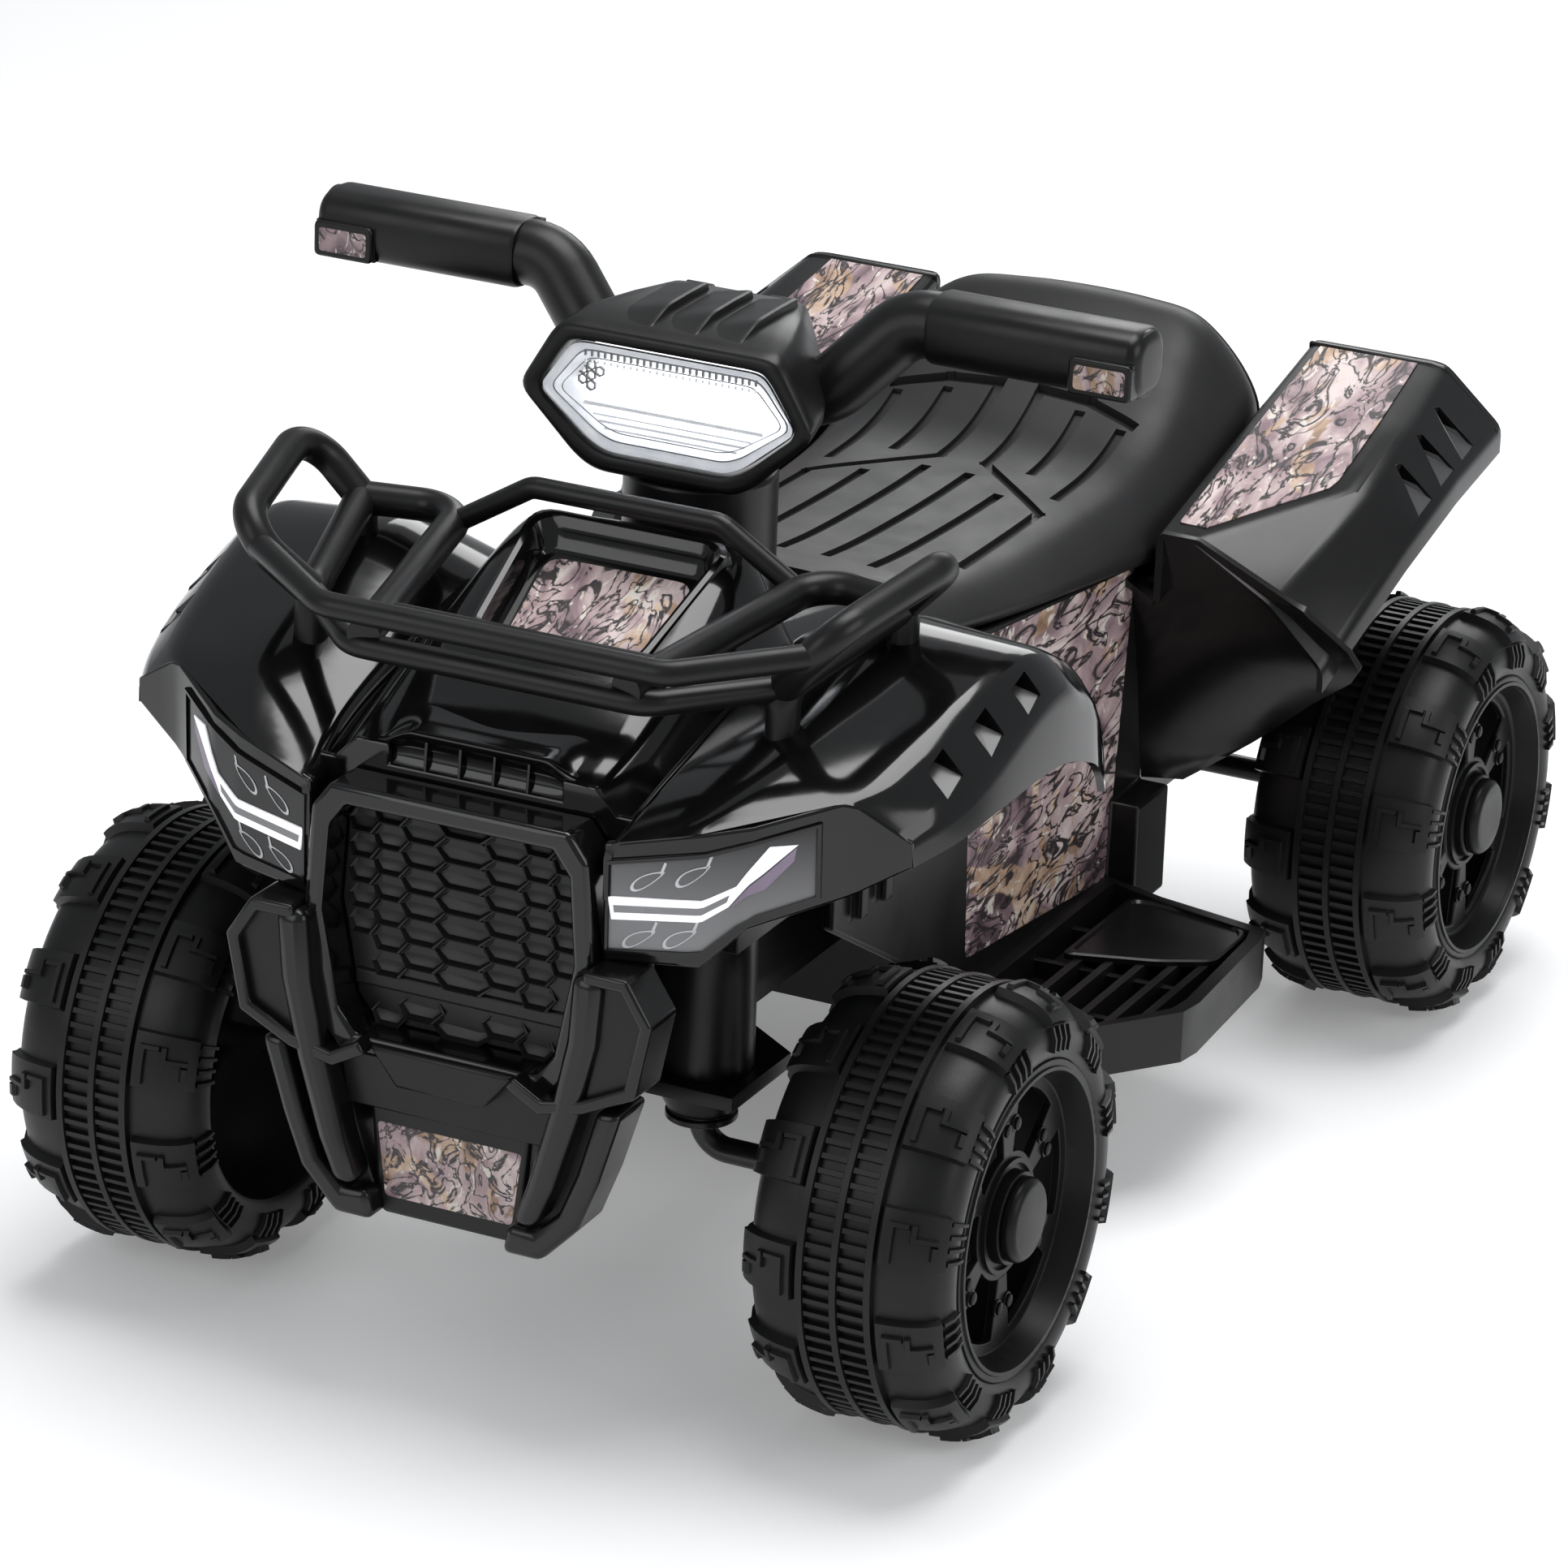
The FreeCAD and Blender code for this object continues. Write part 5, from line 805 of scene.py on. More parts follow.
def groove_cutter(name, piece, start, end):
    """A slot that follows a piece's skin from one place to another."""
    along = (end - start).normalized() * SLOT_HALF
    across = Vector((-along.y, along.x, 0.0))
    start, end = start - along, end + along
    steps = max(int((end - start).length / GROOVE_STEP), 1)
    rows = []
    for share in evenly(0.0, 1.0, steps + 1):
        place = start.lerp(end, share)
        floor_z = piece.ray_cast(place + UP, -UP)[1].z - GROOVE_DEPTH
        low, high = UP * floor_z, UP * (floor_z + SLOT_HEIGHT)
        inner, outer = place - across, place + across
        rows.append([inner + low, outer + low, outer + high, inner + high])
    return tube(name, rows, True, True)


def seat():
    """Moulded saddle with a raised back, a grooved top and piping round its back."""
    low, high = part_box("seat")
    size = high - low
    stations = []
    for along, *parts in SEAT_SHARES:
        half = [(high.y * y, z) for z, y in zip(parts[::2], parts[1::2])]
        half[-1] = (half[-1][0], half[-1][1] + SEAT_CROWN_SHARE)
        section = [(y, low.z + size.z * z) for y, z in mirrored(half)]
        stations.append(frontal(high.x - size.x * along, section))
    rows = [smooth_line(station, 12) for station in spline_rows(stations, 14)]
    build = Build(rows)
    build.cap(-len(rows[-1]), len(rows[-1]))
    piece = frozen(thickened(build.piece("seat_shown"), -SEAT_WALL))
    bpy.context.view_layer.update()
    cutters = []
    for count, run in enumerate(GROOVES):
        for part, ends in enumerate(zip(run, run[1:])):
            for hand in (1, -1):
                start, end = (Vector((x, y * hand, 0.0)) for x, y in ends)
                cutters.append(groove_cutter(f"groove_{count}_{part}_{hand}", piece, start, end))
    cut_by(piece, cutters)
    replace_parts(shown(piece, "seat_black", angle=radians(40)), "seat")
    seam = rows[-SEAM_ROW]
    rings = []
    for i, point in enumerate(seam):
        run = (seam[min(i + 1, len(seam) - 1)] - seam[max(i - 1, 0)]).normalized()
        rings.append(circle(point, AHEAD, run.cross(AHEAD), SEAM_RADIUS, 8))
    shown(tube("seat_piping", rings, True, True), "seat_black")


seat()


# Rear fenders: length from the front, heights of inner edge, panel edge, ridge, lip and skirt, then widths
# of panel edge, ridge and lip
WING_WIDTH = 0.087
WING_RISE = 0.095
WING_WALL = 0.003
WING_HEM = 0.03
WING_ROUND = 0.004
WING_END_ROUND = 0.001
WING_VENT_SHARES = (0.44, 0.15, 0.09)
WING_VENT_CORNERS = ((0, 0.88), (1, 0.88), (1, 0.6), (1, 0.18), (0.75, 0.12))
WING_SHARES = [
    (0.0, 0.586, 0.576, 0.354, 0.1, 0.0, 0.14, 0.56, 0.85),
    (0.33, 0.727, 0.737, 0.727, 0.535, 0.414, 0.68, 0.77, 1.0),
    (0.67, 0.869, 0.874, 0.869, 0.677, 0.556, 0.655, 0.75, 1.0),
    (1.0, 1.0, 1.0, 0.99, 0.747, 0.626, 0.61, 0.68, 0.98),
]
# Forward plate: height, setback at the inner and outer edge, inner and outer width
WING_PLATE_SHARES = [
    (0.0, 0.18, 0.22, 0.0, 0.16),
    (0.14, 0.155, 0.31, 0.0, 0.4),
    (0.39, 0.12, 0.19, 0.0, 0.72),
    (0.62, 0.075, 0.045, 0.0, 1.0),
    (0.79, 0.04, 0.015, 0.0, 0.79),
    (0.83, 0.03, 0.005, 0.147, 0.73),
    (1.0, 0.0, 0.0, 0.147, 0.31),
]
# outer face and top of the body beside the seat, and the deck behind the seat
BODY_FACE_Y = 0.0708
BODY_TOP_Z = 0.2135
DECK_HALF = 0.0695
DECK_LAP = 0.01
DECK_WALL = 0.0032
DECK_ROUND = 0.0015


class WingForm(MudguardForm):
    """Places points on one rear fender."""

    def __init__(self, side, hand):
        super().__init__(f"rear_fender_{side}", hand, WING_SHARES, WING_WIDTH, WING_RISE)
        self.start_x, self.run = self.high.x, self.low.x - self.high.x
        self.first_y = self.inner_y - WING_WALL

    def hemmed(self, at):
        """A station with the lower edge of its inner side before it."""
        station = self.station(at)
        return [station[0] - UP * WING_HEM] + station

    def plate(self, height, inner_back, outer_back, near, far):
        z = between(self.low.z, self.low_z + WING_RISE * WING_SHARES[0][1], height)
        reach = WING_WIDTH + self.inner_y - self.root_y
        return [
            Vector((self.start_x + self.run * back, (self.root_y + reach * share) * self.hand, z))
            for back, share in ((inner_back, near), (outer_back, far))
        ]


def rear_fender(side, hand):
    """Faceted wing with vents in its bevel, a plate in front of the wheel, and inner and end walls."""
    form = WingForm(side, hand)
    node = f"rear_fender_{side}"

    def finished(piece):
        return shown(piece, "satin_black")

    stations = [form.hemmed(row[0]) for row in WING_SHARES]
    top = skin_piece(f"{node}_top", [rounded_path(row, WING_ROUND) for row in stations], WING_WALL, hand)
    cut_vents(top, node, form, WING_VENT_SHARES, WING_VENT_CORNERS, ((0, 1, 2), (3, 4)))
    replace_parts(finished(bevelled(top, FINE_ROUND, 2)), node)
    rows = [
        [near.lerp(far, i / 6) for i in range(7)]
        for near, far in spline_rows([form.plate(*row) for row in WING_PLATE_SHARES], 3)
    ]
    finished(bevelled(frozen(skin_piece(f"{node}_plate", rows, WING_WALL, hand)), EDGE_ROUND, 2))
    feet = [Vector((row[0].x, BODY_FACE_Y * hand, BODY_TOP_Z)) for row in stations]
    rows = [[foot.lerp(row[0], i / 4) for i in range(5)] for foot, row in zip(feet, stations)]
    finished(frozen(skin_piece(f"{node}_liner", rows, WING_WALL, hand)))
    inset = AHEAD * WING_WALL
    wall = prism(f"{node}_end", [point + inset for point in feet[-1:] + stations[-1]], inset / 2)
    finished(bevelled(wall, WING_END_ROUND, 2))


def deck():
    """Deck behind the seat, on the walls of the tail."""
    rear_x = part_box("body_side_left")[0].x
    front_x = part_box("seat")[0].x + DECK_LAP
    corners = ((rear_x, -DECK_HALF), (front_x, -DECK_HALF), (front_x, DECK_HALF), (rear_x, DECK_HALF))
    cover = prism("body_side_deck", [Vector((x, y, BODY_TOP_Z)) for x, y in corners], UP * (DECK_WALL / 2))
    shown(bevelled(cover, DECK_ROUND), "matte_black")


both_sides(rear_fender)
deck()


# Hood and dash: length from the rear, low height, top height, low half width, top half width
HOOD_LENGTH = 0.1387
HOOD_RISE = 0.061
HOOD_HALF = 0.064
HOOD_WALL = 0.003
HOOD_FLANGE = 0.007
HOOD_CROWN = 0.002
HOOD_ROUND = 0.009
HOOD_SHARES = [
    (0.0, 0.34, 0.87, 0.97, 0.69),
    (0.11, 0.44, 1.0, 1.0, 0.72),
    (0.44, 0.34, 0.69, 1.0, 0.78),
    (0.76, 0.15, 0.34, 0.97, 0.81),
    (1.0, 0.0, 0.15, 0.92, 0.78),
]
NOSE_DROP = 0.024
NOSE_EAR = 0.009
# pan: places along the hood with the half width there, then inset and rise of its levels from the rim inwards
PAN_REAR, PAN_REAR_HALF = 0.13, 0.039
PAN_FRONT, PAN_FRONT_HALF = 0.58, 0.033
PAN_DEPTH = 0.009
PAN_ROUND = 0.01
PAN_CUT_REACH = 0.03
PAN_FILM_SHARE = 0.2
PAN_LEVELS = [
    (-0.12, 0.0), (-0.1, 0.0028), (-0.05, 0.0035), (0.0, 0.00245), (0.03, -PAN_DEPTH * 0.2),
    (0.06, -PAN_DEPTH * 0.85), (0.1, -PAN_DEPTH),
]
DASH_FRONT_Z = 0.276
DASH_REAR_Z = 0.256
DASH_DROP = 0.03
DASH_HALF = 0.063
DASH_ROUND = 0.012
DASH_REAR_SHARE = 0.97
DASH_CROWN_SHARE = 0.86
NECK_GAP = 0.0007
NECK_CUT_REACH = 0.05
# collar round the neck: reach past the hole, lift above the dash
COLLAR = [
    (0.005, -0.012), (0.005, 0.0012), (0.0042, 0.002), (0.0008, 0.002), (0.0, 0.0012), (0.0, -0.012),
    (0.005, -0.012),
]
# scoop at the front of the hood, with its mouth
MOUTH_HALF = 0.036
MOUTH_DEPTH = 0.0034
SCOOP_HALF = 0.041
SCOOP_FLAT = 0.027
SCOOP_TOP_Z = 0.2624
SCOOP_LOW_Z = 0.2494
SCOOP_WALL = 0.0012
SCOOP_LIP_BACK, SCOOP_LIP_LIFT = 0.0015, 0.0006
SCOOP_RIBS = 4
SCOOP_RIB_PITCH = 0.0142
SCOOP_RIB_HALF = 0.0006
SCOOP_RIB_ROUND = 0.0003
SCOOP_RIB_TOP_Z, SCOOP_RIB_LOW_Z = SCOOP_TOP_Z - 0.0035, SCOOP_LOW_Z - 0.002
# profile of a rib: place along from the hood's front, height
SCOOP_RIB = [
    (-0.004, SCOOP_RIB_TOP_Z), (-0.0018, SCOOP_RIB_TOP_Z), (-0.0004, SCOOP_RIB_LOW_Z),
    (-0.004, SCOOP_RIB_LOW_Z),
]
# profile of the scoop's back: place along from the hood's front, lift
SCOOP_BACK = [(-0.031, 0.0), (-0.024, 0.0004), (-0.014, 0.002), (-0.007, 0.004)]
# profile of its mouth: place along, share of the way from the lip down to the floor, drop below that
SCOOP_MOUTH = [
    (-0.0017, 0.0, 0.0), (-0.0009, 0.0, 0.0012), (-0.0032, 0.45, 0.0), (-0.0036, 0.8, 0.0),
    (-0.0026, 1.0, 0.0), (0.0002, 1.0, 0.0035),
]

hood_front_x, hood_top_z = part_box("front_cover")[1].x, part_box("front_cover")[1].z
hood_rear_x = hood_front_x - HOOD_LENGTH
dash_rear_x, dash_front_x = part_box("front_cover")[0].x, hood_rear_x + HOOD_WALL


def hood_row(at):
    """Low height, top height, low half width and top half width of the hood, in metres."""
    row = row_at(HOOD_SHARES, at)
    low_z = hood_top_z - HOOD_RISE
    return low_z + HOOD_RISE * row[1], low_z + HOOD_RISE * row[2], HOOD_HALF * row[3], HOOD_HALF * row[4]


def hood():
    """Hood with a rimmed pan and an opening for the scoop, closed by a wall at each end."""
    stations = []
    for row in HOOD_SHARES:
        low_z, top_z, low_half, top_half = hood_row(row[0])
        side = [(low_half + HOOD_FLANGE, low_z - HOOD_FLANGE), (low_half, low_z), (top_half, top_z)]
        section = mirrored(side)
        section.insert(len(side), (0.0, top_z + HOOD_CROWN))
        stations.append(frontal(hood_rear_x + HOOD_LENGTH * row[0], section))
    rows = [rounded_path(row, HOOD_ROUND, 4) for row in spline_rows(stations, 6)]
    skin = skin_piece("front_cover_hood", rows, HOOD_WALL)
    loop = [
        Vector((hood_rear_x + HOOD_LENGTH * at, y, hood_row(at)[1])) for at, y in (
            (PAN_REAR, PAN_REAR_HALF), (PAN_REAR, -PAN_REAR_HALF),
            (PAN_FRONT, -PAN_FRONT_HALF), (PAN_FRONT, PAN_FRONT_HALF),
        )
    ]
    ring = closed_round(loop, PAN_ROUND)
    mouth = [
        Vector((hood_front_x + MOUTH_DEPTH * x, MOUTH_HALF * y, hood_top_z))
        for x, y in ((-1, 1), (-1, -1), (1, -1), (1, 1))
    ]
    cutters = ("pan_cutter", ring, PAN_CUT_REACH), ("mouth_cutter", mouth, HOOD_RISE)
    cut_by(skin, [prism(name, outline, UP * reach) for name, outline, reach in cutters])
    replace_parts(shown(skin, "gloss_black"), "front_cover")
    centre = sum(ring, Vector()) / len(ring)
    levels = [[between(p, centre, inset) + UP * rise for p in ring] for inset, rise in PAN_LEVELS]
    build = Build([level + level[:1] for level in levels])
    build.cap(-len(ring) - 1, len(ring))
    shown(build.piece("hood_pan"), "gloss_black")
    film("hood_print", [between(p, centre, PAN_FILM_SHARE) + UP * (FILM_WALL - PAN_DEPTH) for p in ring])


def dash():
    """Dash round the steering neck, with a collar."""
    top_half = hood_row(0.0)[3]
    rows = []
    for share in evenly(0.0, 1.0, 5):
        z = between(DASH_REAR_Z, DASH_FRONT_Z, share)
        half = between(DASH_HALF * DASH_REAR_SHARE, DASH_HALF, share)
        crown = between(top_half * DASH_CROWN_SHARE, top_half, share)
        x = between(dash_rear_x, dash_front_x, share)
        section = frontal(x, mirrored([(half, z - DASH_DROP), (crown, z)]))
        rows.append(rounded_path(section, DASH_ROUND, 4))
    piece = skin_piece("front_cover_dash", rows, HOOD_WALL)
    neck_low, neck_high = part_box("column_neck")
    radius = (neck_high.y - neck_low.y) / 2 + NECK_GAP
    centre = Vector(((neck_low.x + neck_high.x) / 2, 0.0, DASH_REAR_Z))
    hole = circle(centre, AHEAD, ACROSS, radius, 36)
    shown(cut_by(piece, [prism("neck_cutter", hole, UP * NECK_CUT_REACH)]), "gloss_black")
    slope = (DASH_FRONT_Z - DASH_REAR_Z) / (dash_front_x - dash_rear_x)
    rings = []
    for reach, lift in COLLAR:
        ring = circle(centre, AHEAD, ACROSS, radius + reach, 48)
        rings.append([point + UP * ((point.x - dash_rear_x) * slope + lift) for point in ring])
    shown(tube("front_cover_collar", rings), "gloss_black")


def hood_walls():
    """Walls at the rear and front of the hood."""
    low_z, top_z, low_half, top_half = hood_row(0.0)
    back = [(top_half, top_z), (low_half, low_z), (DASH_HALF, DASH_FRONT_Z - DASH_DROP)]
    low_z, top_z, low_half, top_half = hood_row(1.0)
    ear = low_half + NOSE_EAR
    nose = [
        (MOUTH_HALF, SCOOP_LOW_Z - SCOOP_WALL), (MOUTH_HALF, top_z), (top_half, top_z), (low_half, low_z),
        (ear, low_z), (ear, low_z - NOSE_DROP),
    ]
    half_wall = HOOD_WALL / 2
    for name, x, half in (("back", hood_rear_x + half_wall, back), ("nose", hood_front_x - half_wall, nose)):
        wall = prism(f"front_cover_{name}", frontal(x, mirrored(half)), AHEAD * half_wall)
        dress(bevelled(wall, FINE_ROUND, 2), "gloss_black")


def scoop():
    """Low hump that ends in an upright mouth with thin ribs."""
    def hood_z(x):
        return hood_row((x - hood_rear_x) / HOOD_LENGTH)[1]

    rows = []
    for y in evenly(-SCOOP_HALF, SCOOP_HALF, 49):
        share = min(max((SCOOP_HALF - abs(y)) / (SCOOP_HALF - SCOOP_FLAT), 0.0), 1.0)
        swell = share * share * (3 - 2 * share)
        profile = [(x, hood_z(hood_front_x + x) + lift * swell) for x, lift in SCOOP_BACK]
        lip_z = between(hood_z(hood_front_x - SCOOP_LIP_BACK) + SCOOP_LIP_LIFT, SCOOP_TOP_Z, swell)
        profile += [(x, between(lip_z, SCOOP_LOW_Z, down) - drop) for x, down, drop in SCOOP_MOUTH]
        rows.append(smooth_line([Vector((hood_front_x + x, y, z)) for x, z in profile], 4))
    shown(frozen(skin_piece("hood_scoop", rows, SCOOP_WALL)), "gloss_black", angle=radians(50))
    for step in range(SCOOP_RIBS):
        y = SCOOP_RIB_PITCH * (step - (SCOOP_RIBS - 1) / 2)
        loop = [Vector((hood_front_x + x, y, z)) for x, z in SCOOP_RIB]
        rib = prism(f"hood_scoop_rib_{step}", loop, ACROSS * SCOOP_RIB_HALF)
        dress(bevelled(rib, SCOOP_RIB_ROUND, 2), "gloss_black")


hood()
dash()
hood_walls()
scoop()


# Printed films on the body, the rear fenders and the skid plate

SIDE_FILM = [(-0.131, 0.213), (-0.116, 0.079), (0.024, 0.093), (0.027, 0.15), (0.04, 0.2), (0.059, 0.234)]
SIDE_FILM_ROUND = 0.004
WING_FILM_SHARES = (0.06, 0.965)
WING_FILM_MARGIN, WING_FILM_MARGIN_SHARE = 0.006, 0.45
WING_FILM_LIFT = 0.0006
SKID_BORDER = 0.0075
SKID_INSET = 0.0035
SKID_LOW_SHARE = 0.88
SKID_FILM_ROUND = 0.002


def body_film(side, hand):
    low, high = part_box(f"footboard_{side}")
    face_y = (low.y if hand > 0 else -high.y) + FILM_GAP
    ring = closed_round([Vector((x, face_y * hand, z)) for x, z in SIDE_FILM], SIDE_FILM_ROUND)
    film(f"body_print_{side}", ring[::-hand])


def wing_film(side, hand):
    form = WingForm(side, hand)
    rows = []
    for at in evenly(*WING_FILM_SHARES, 22):
        inner, edge = form.station(at)[:2]
        margin = min(WING_FILM_MARGIN / (edge - inner).length, WING_FILM_MARGIN_SHARE)
        shares = evenly(margin, 1 - margin, 6)
        rows.append([inner.lerp(edge, share) + UP * WING_FILM_LIFT for share in shares])
    dress(frozen(skin_piece(f"wing_print_{side}", rows, FILM_WALL, hand)), "mottled_print")


def skid_film():
    low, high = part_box("skid_plate")
    half, top_z, low_z = high.y - SKID_INSET, high.z - SKID_BORDER, low.z + SKID_BORDER
    low_half = half * SKID_LOW_SHARE
    places = ((half, top_z), (-half, top_z), (-low_half, low_z), (low_half, low_z))
    film("skid_print", closed_round(frontal(high.x + FILM_GAP, places), SKID_FILM_ROUND))


both_sides(body_film)
both_sides(wing_film)
skid_film()


# Light panels: a bar with a hook that glows as painted glow, a tinted facet and four small leaf marks on a
# dark field with a painted reflection

PANEL_ACROSS = (0.02, 0.9)
PANEL_UP = (0.09, 0.86)
PANEL_LIFT = 0.0006
# border: its width at the inner and outer end, below at both ends and above, in shares of the face
BORDER_SHARES = (0.012, 0.014, 0.03, 0.04, 0.03)
BORDER_LIFT = 0.0004
BORDER_HEIGHT = 0.0014
FACET_HEIGHT = 0.0006
PANEL_SLOT_HEIGHT = 0.0002
BAR_HEIGHT = 0.0009
PRINT_HEIGHT = 0.0003
BAR_LOW = [(0.047, 0.37), (0.3, 0.36), (0.561, 0.35), (0.69, 0.52), (0.813, 0.71)]
BAR_HIGH = [(0.03, 0.56), (0.3, 0.525), (0.59, 0.497), (0.64, 0.6), (0.709, 0.77)]
SLOT_LOW = [(0.06, 0.43), (0.3, 0.415), (0.555, 0.4)]
SLOT_HIGH = [(0.055, 0.49), (0.3, 0.468), (0.565, 0.45)]
FACET_LOW = [(0.575, 0.33), (0.7, 0.36), (0.8, 0.56)]
FACET_HIGH = [(0.575, 0.345), (0.7, 0.515), (0.808, 0.69)]
LEAVES = [(0.2, 0.68), (0.4, 0.7), (0.17, 0.215), (0.355, 0.225)]
LEAF_SIZES = (0.075, 0.062)
LEAF_ASPECT, LEAF_BELLY, LEAF_POINT, LEAF_SLANT = 0.95, 0.7, 0.3, 0.75
STEM_LOW = [(0.066, 0.04), (0.084, 0.125)]
STEM_HIGH = [(0.054, 0.05), (0.074, 0.135)]


def face_strip(form, name, low_edge, high_edge, lift, height, finish, steps=10):
    """A low raised strip on the fender's face, between two edges."""
    rows = []
    for i in range(len(low_edge) - 1):
        last = i == len(low_edge) - 2
        for step in range(steps + (1 if last else 0)):
            low, high = (
                [between(a, b, step / steps) for a, b in zip(edge[i], edge[i + 1])]
                for edge in (low_edge, high_edge)
            )
            rows.append([
                form.face(*low, lift), form.face(*low, lift + height),
                form.face(*high, lift + height), form.face(*high, lift),
            ])
    ends_apart = (rows[0][0] - rows[-1][0]).length > height
    return shown(tube(name, rows, ends_apart, ends_apart), finish)


def leaf_edge(centre, size):
    """A slim pointed oval round a place on the panel, with its tip at the outer end."""
    edge = []
    for angle in evenly(0.0, 2 * pi, 29):
        across = size * cos(angle)
        up = size * LEAF_ASPECT * sin(angle) * (LEAF_BELLY - LEAF_POINT * cos(angle))
        edge.append((centre[0] + across, centre[1] + up + across * LEAF_SLANT))
    return edge


def light_panel(side, hand):
    form = FenderForm(side, hand)
    node = f"light_panel_{side}"
    (start, end), (low, high) = PANEL_ACROSS, PANEL_UP
    ups = evenly(low, high, 7)
    rows = [[form.face(across, up, PANEL_LIFT) for up in ups] for across in evenly(start, end, 25)]
    panel = frozen(skin_piece(f"{node}_field", rows, -PANEL_LIFT, hand))
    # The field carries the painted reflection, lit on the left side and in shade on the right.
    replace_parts(shown(panel, f"panel_{side}"), node)
    border = [(start, low), (end, low), (end, high), (start, high), (start, low)]
    at_start, at_end, below_start, below_end, above = BORDER_SHARES
    inner_start, inner_end = start + at_start, end - at_end
    inner = [
        (inner_start, low + below_start), (inner_end, low + below_end), (inner_end, high - above),
        (inner_start, high - above), (inner_start, low + below_start),
    ]
    face_strip(form, f"{node}_border", border, inner, BORDER_LIFT, BORDER_HEIGHT, "gloss_black", 12)
    # The bar glows as painted glow.
    face_strip(form, f"{node}_bar", BAR_LOW, BAR_HIGH, PANEL_LIFT, BAR_HEIGHT, "painted_glow_bar")
    slot_lifts = (PANEL_LIFT + BAR_HEIGHT, PANEL_SLOT_HEIGHT)
    face_strip(form, f"{node}_slot", SLOT_LOW, SLOT_HIGH, *slot_lifts, "panel_slot")
    face_strip(form, f"{node}_facet", FACET_LOW, FACET_HIGH, PANEL_LIFT, FACET_HEIGHT, "panel_mauve")
    for count, (x, y) in enumerate(LEAVES):
        edges = (leaf_edge((x, y), size) for size in LEAF_SIZES)
        face_strip(form, f"{node}_leaf_{count}", *edges, PANEL_LIFT, PRINT_HEIGHT, "panel_line", 1)
        edges = ([(x + dx, y + dy) for dx, dy in edge] for edge in (STEM_LOW, STEM_HIGH))
        face_strip(form, f"{node}_stem_{count}", *edges, PANEL_LIFT, PRINT_HEIGHT, "panel_line", 3)


both_sides(light_panel)


# Headlight: a clear lens over a reflector with painted glow, with ticks along its top and ribs along its
# bottom; the lower row of ticks and the ribs also glow as painted glow

LENS_SHARES = [(0.68, 0.92), (0.76, 0.88), (1.0, 0.48), (0.6, 0.1), (0.46, 0.03)]
# rings of the lens: place ahead of its front, inset
LENS_RINGS = [(-0.0015, 0.0012), (-0.0015, 0.0), (-0.0003, 0.0002), (0.0, 0.0014), (0.0, 0.003)]
# outlines behind the lens: name, inset, width
LENS_OUTLINES = [("34", 0.0034, 0.0005), ("66", 0.0066, 0.0004)]
OUTLINE_DEPTH, OUTLINE_SLOPE, OUTLINE_HEIGHT, OUTLINE_DRAFT = 0.0026, 0.3, 0.0004, 0.0001
# rows of ticks: drop from the top, length, finish
LENS_TICKS = [(0.0038, 0.0022, "lens_cell"), (0.0074, 0.0012, "lens_mark")]
TICK_COUNT = 27
TICK_HALF, TICK_DEPTH, TICK_WALL = 0.0004, 0.0034, 0.0004
TICK_SPAN_SHARE = 0.66
# ribs: rise from the bottom, half width share, height
LENS_RIBS = [(0.0075, 0.52, 0.0007), (0.0098, 0.57, 0.0009), (0.0122, 0.62, 0.0007), (0.0155, 0.7, 0.0014)]
LENS_RIB_DEPTH, LENS_RIB_STEP, LENS_RIB_WALL = 0.0052, 0.0006, 0.0005
LENS_RIB_TOP_SHARE = 0.985
# six-sided cells: column, row
LENS_CELLS = ((0, 0), (0, 1), (1, -0.5), (1, 0.5), (1, 1.5), (2, 1.0))
LENS_CELL_RADII = (0.0023, 0.0015)
LENS_CELL_DEPTH = 0.0012
LENS_CELL_PITCH_Y, LENS_CELL_PITCH_Z = 0.0036, 0.0041
LENS_CELL_RISE, LENS_CELL_AHEAD, LENS_CELL_SIDE_SHARE = 0.003, 0.0016, 0.74
LENS_ROUND = 0.004
# reflector: insets of its inner and outer skin at the lip, step, waist and foot
REFLECTOR_INNER = (0.0006, 0.0035, 0.0045, 0.0085)
REFLECTOR_OUTER = (0.0, 0.0025, 0.0035, 0.0075)
# light board: inset, then how far it lies behind and ahead of the solid's face
LIGHT_BOARD_INSET, LIGHT_BOARD_BEHIND, LIGHT_BOARD_AHEAD = 0.003, 0.001, 0.0004


def lens_loop(x, inset):
    """The lens's six-sided outline at a depth, drawn in by an inset."""
    low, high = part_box("headlight_lens")
    top_share, low_share = LENS_SHARES[0][1], LENS_SHARES[-1][1]
    rise = (high.z - low.z - inset * 2) / (top_share - low_share)
    half_width, foot_z = high.y - inset, low.z + inset
    half = [(half_width * across, foot_z + rise * (up - low_share)) for across, up in LENS_SHARES]
    return closed_round(frontal(x, mirrored(half)), LENS_ROUND, 4)


def lens_tube(name, places, finish, capped=False):
    """A form from the lens's outline at several depths and insets."""
    return shown(tube(name, [lens_loop(*place) for place in places], capped, capped), finish, "steering")


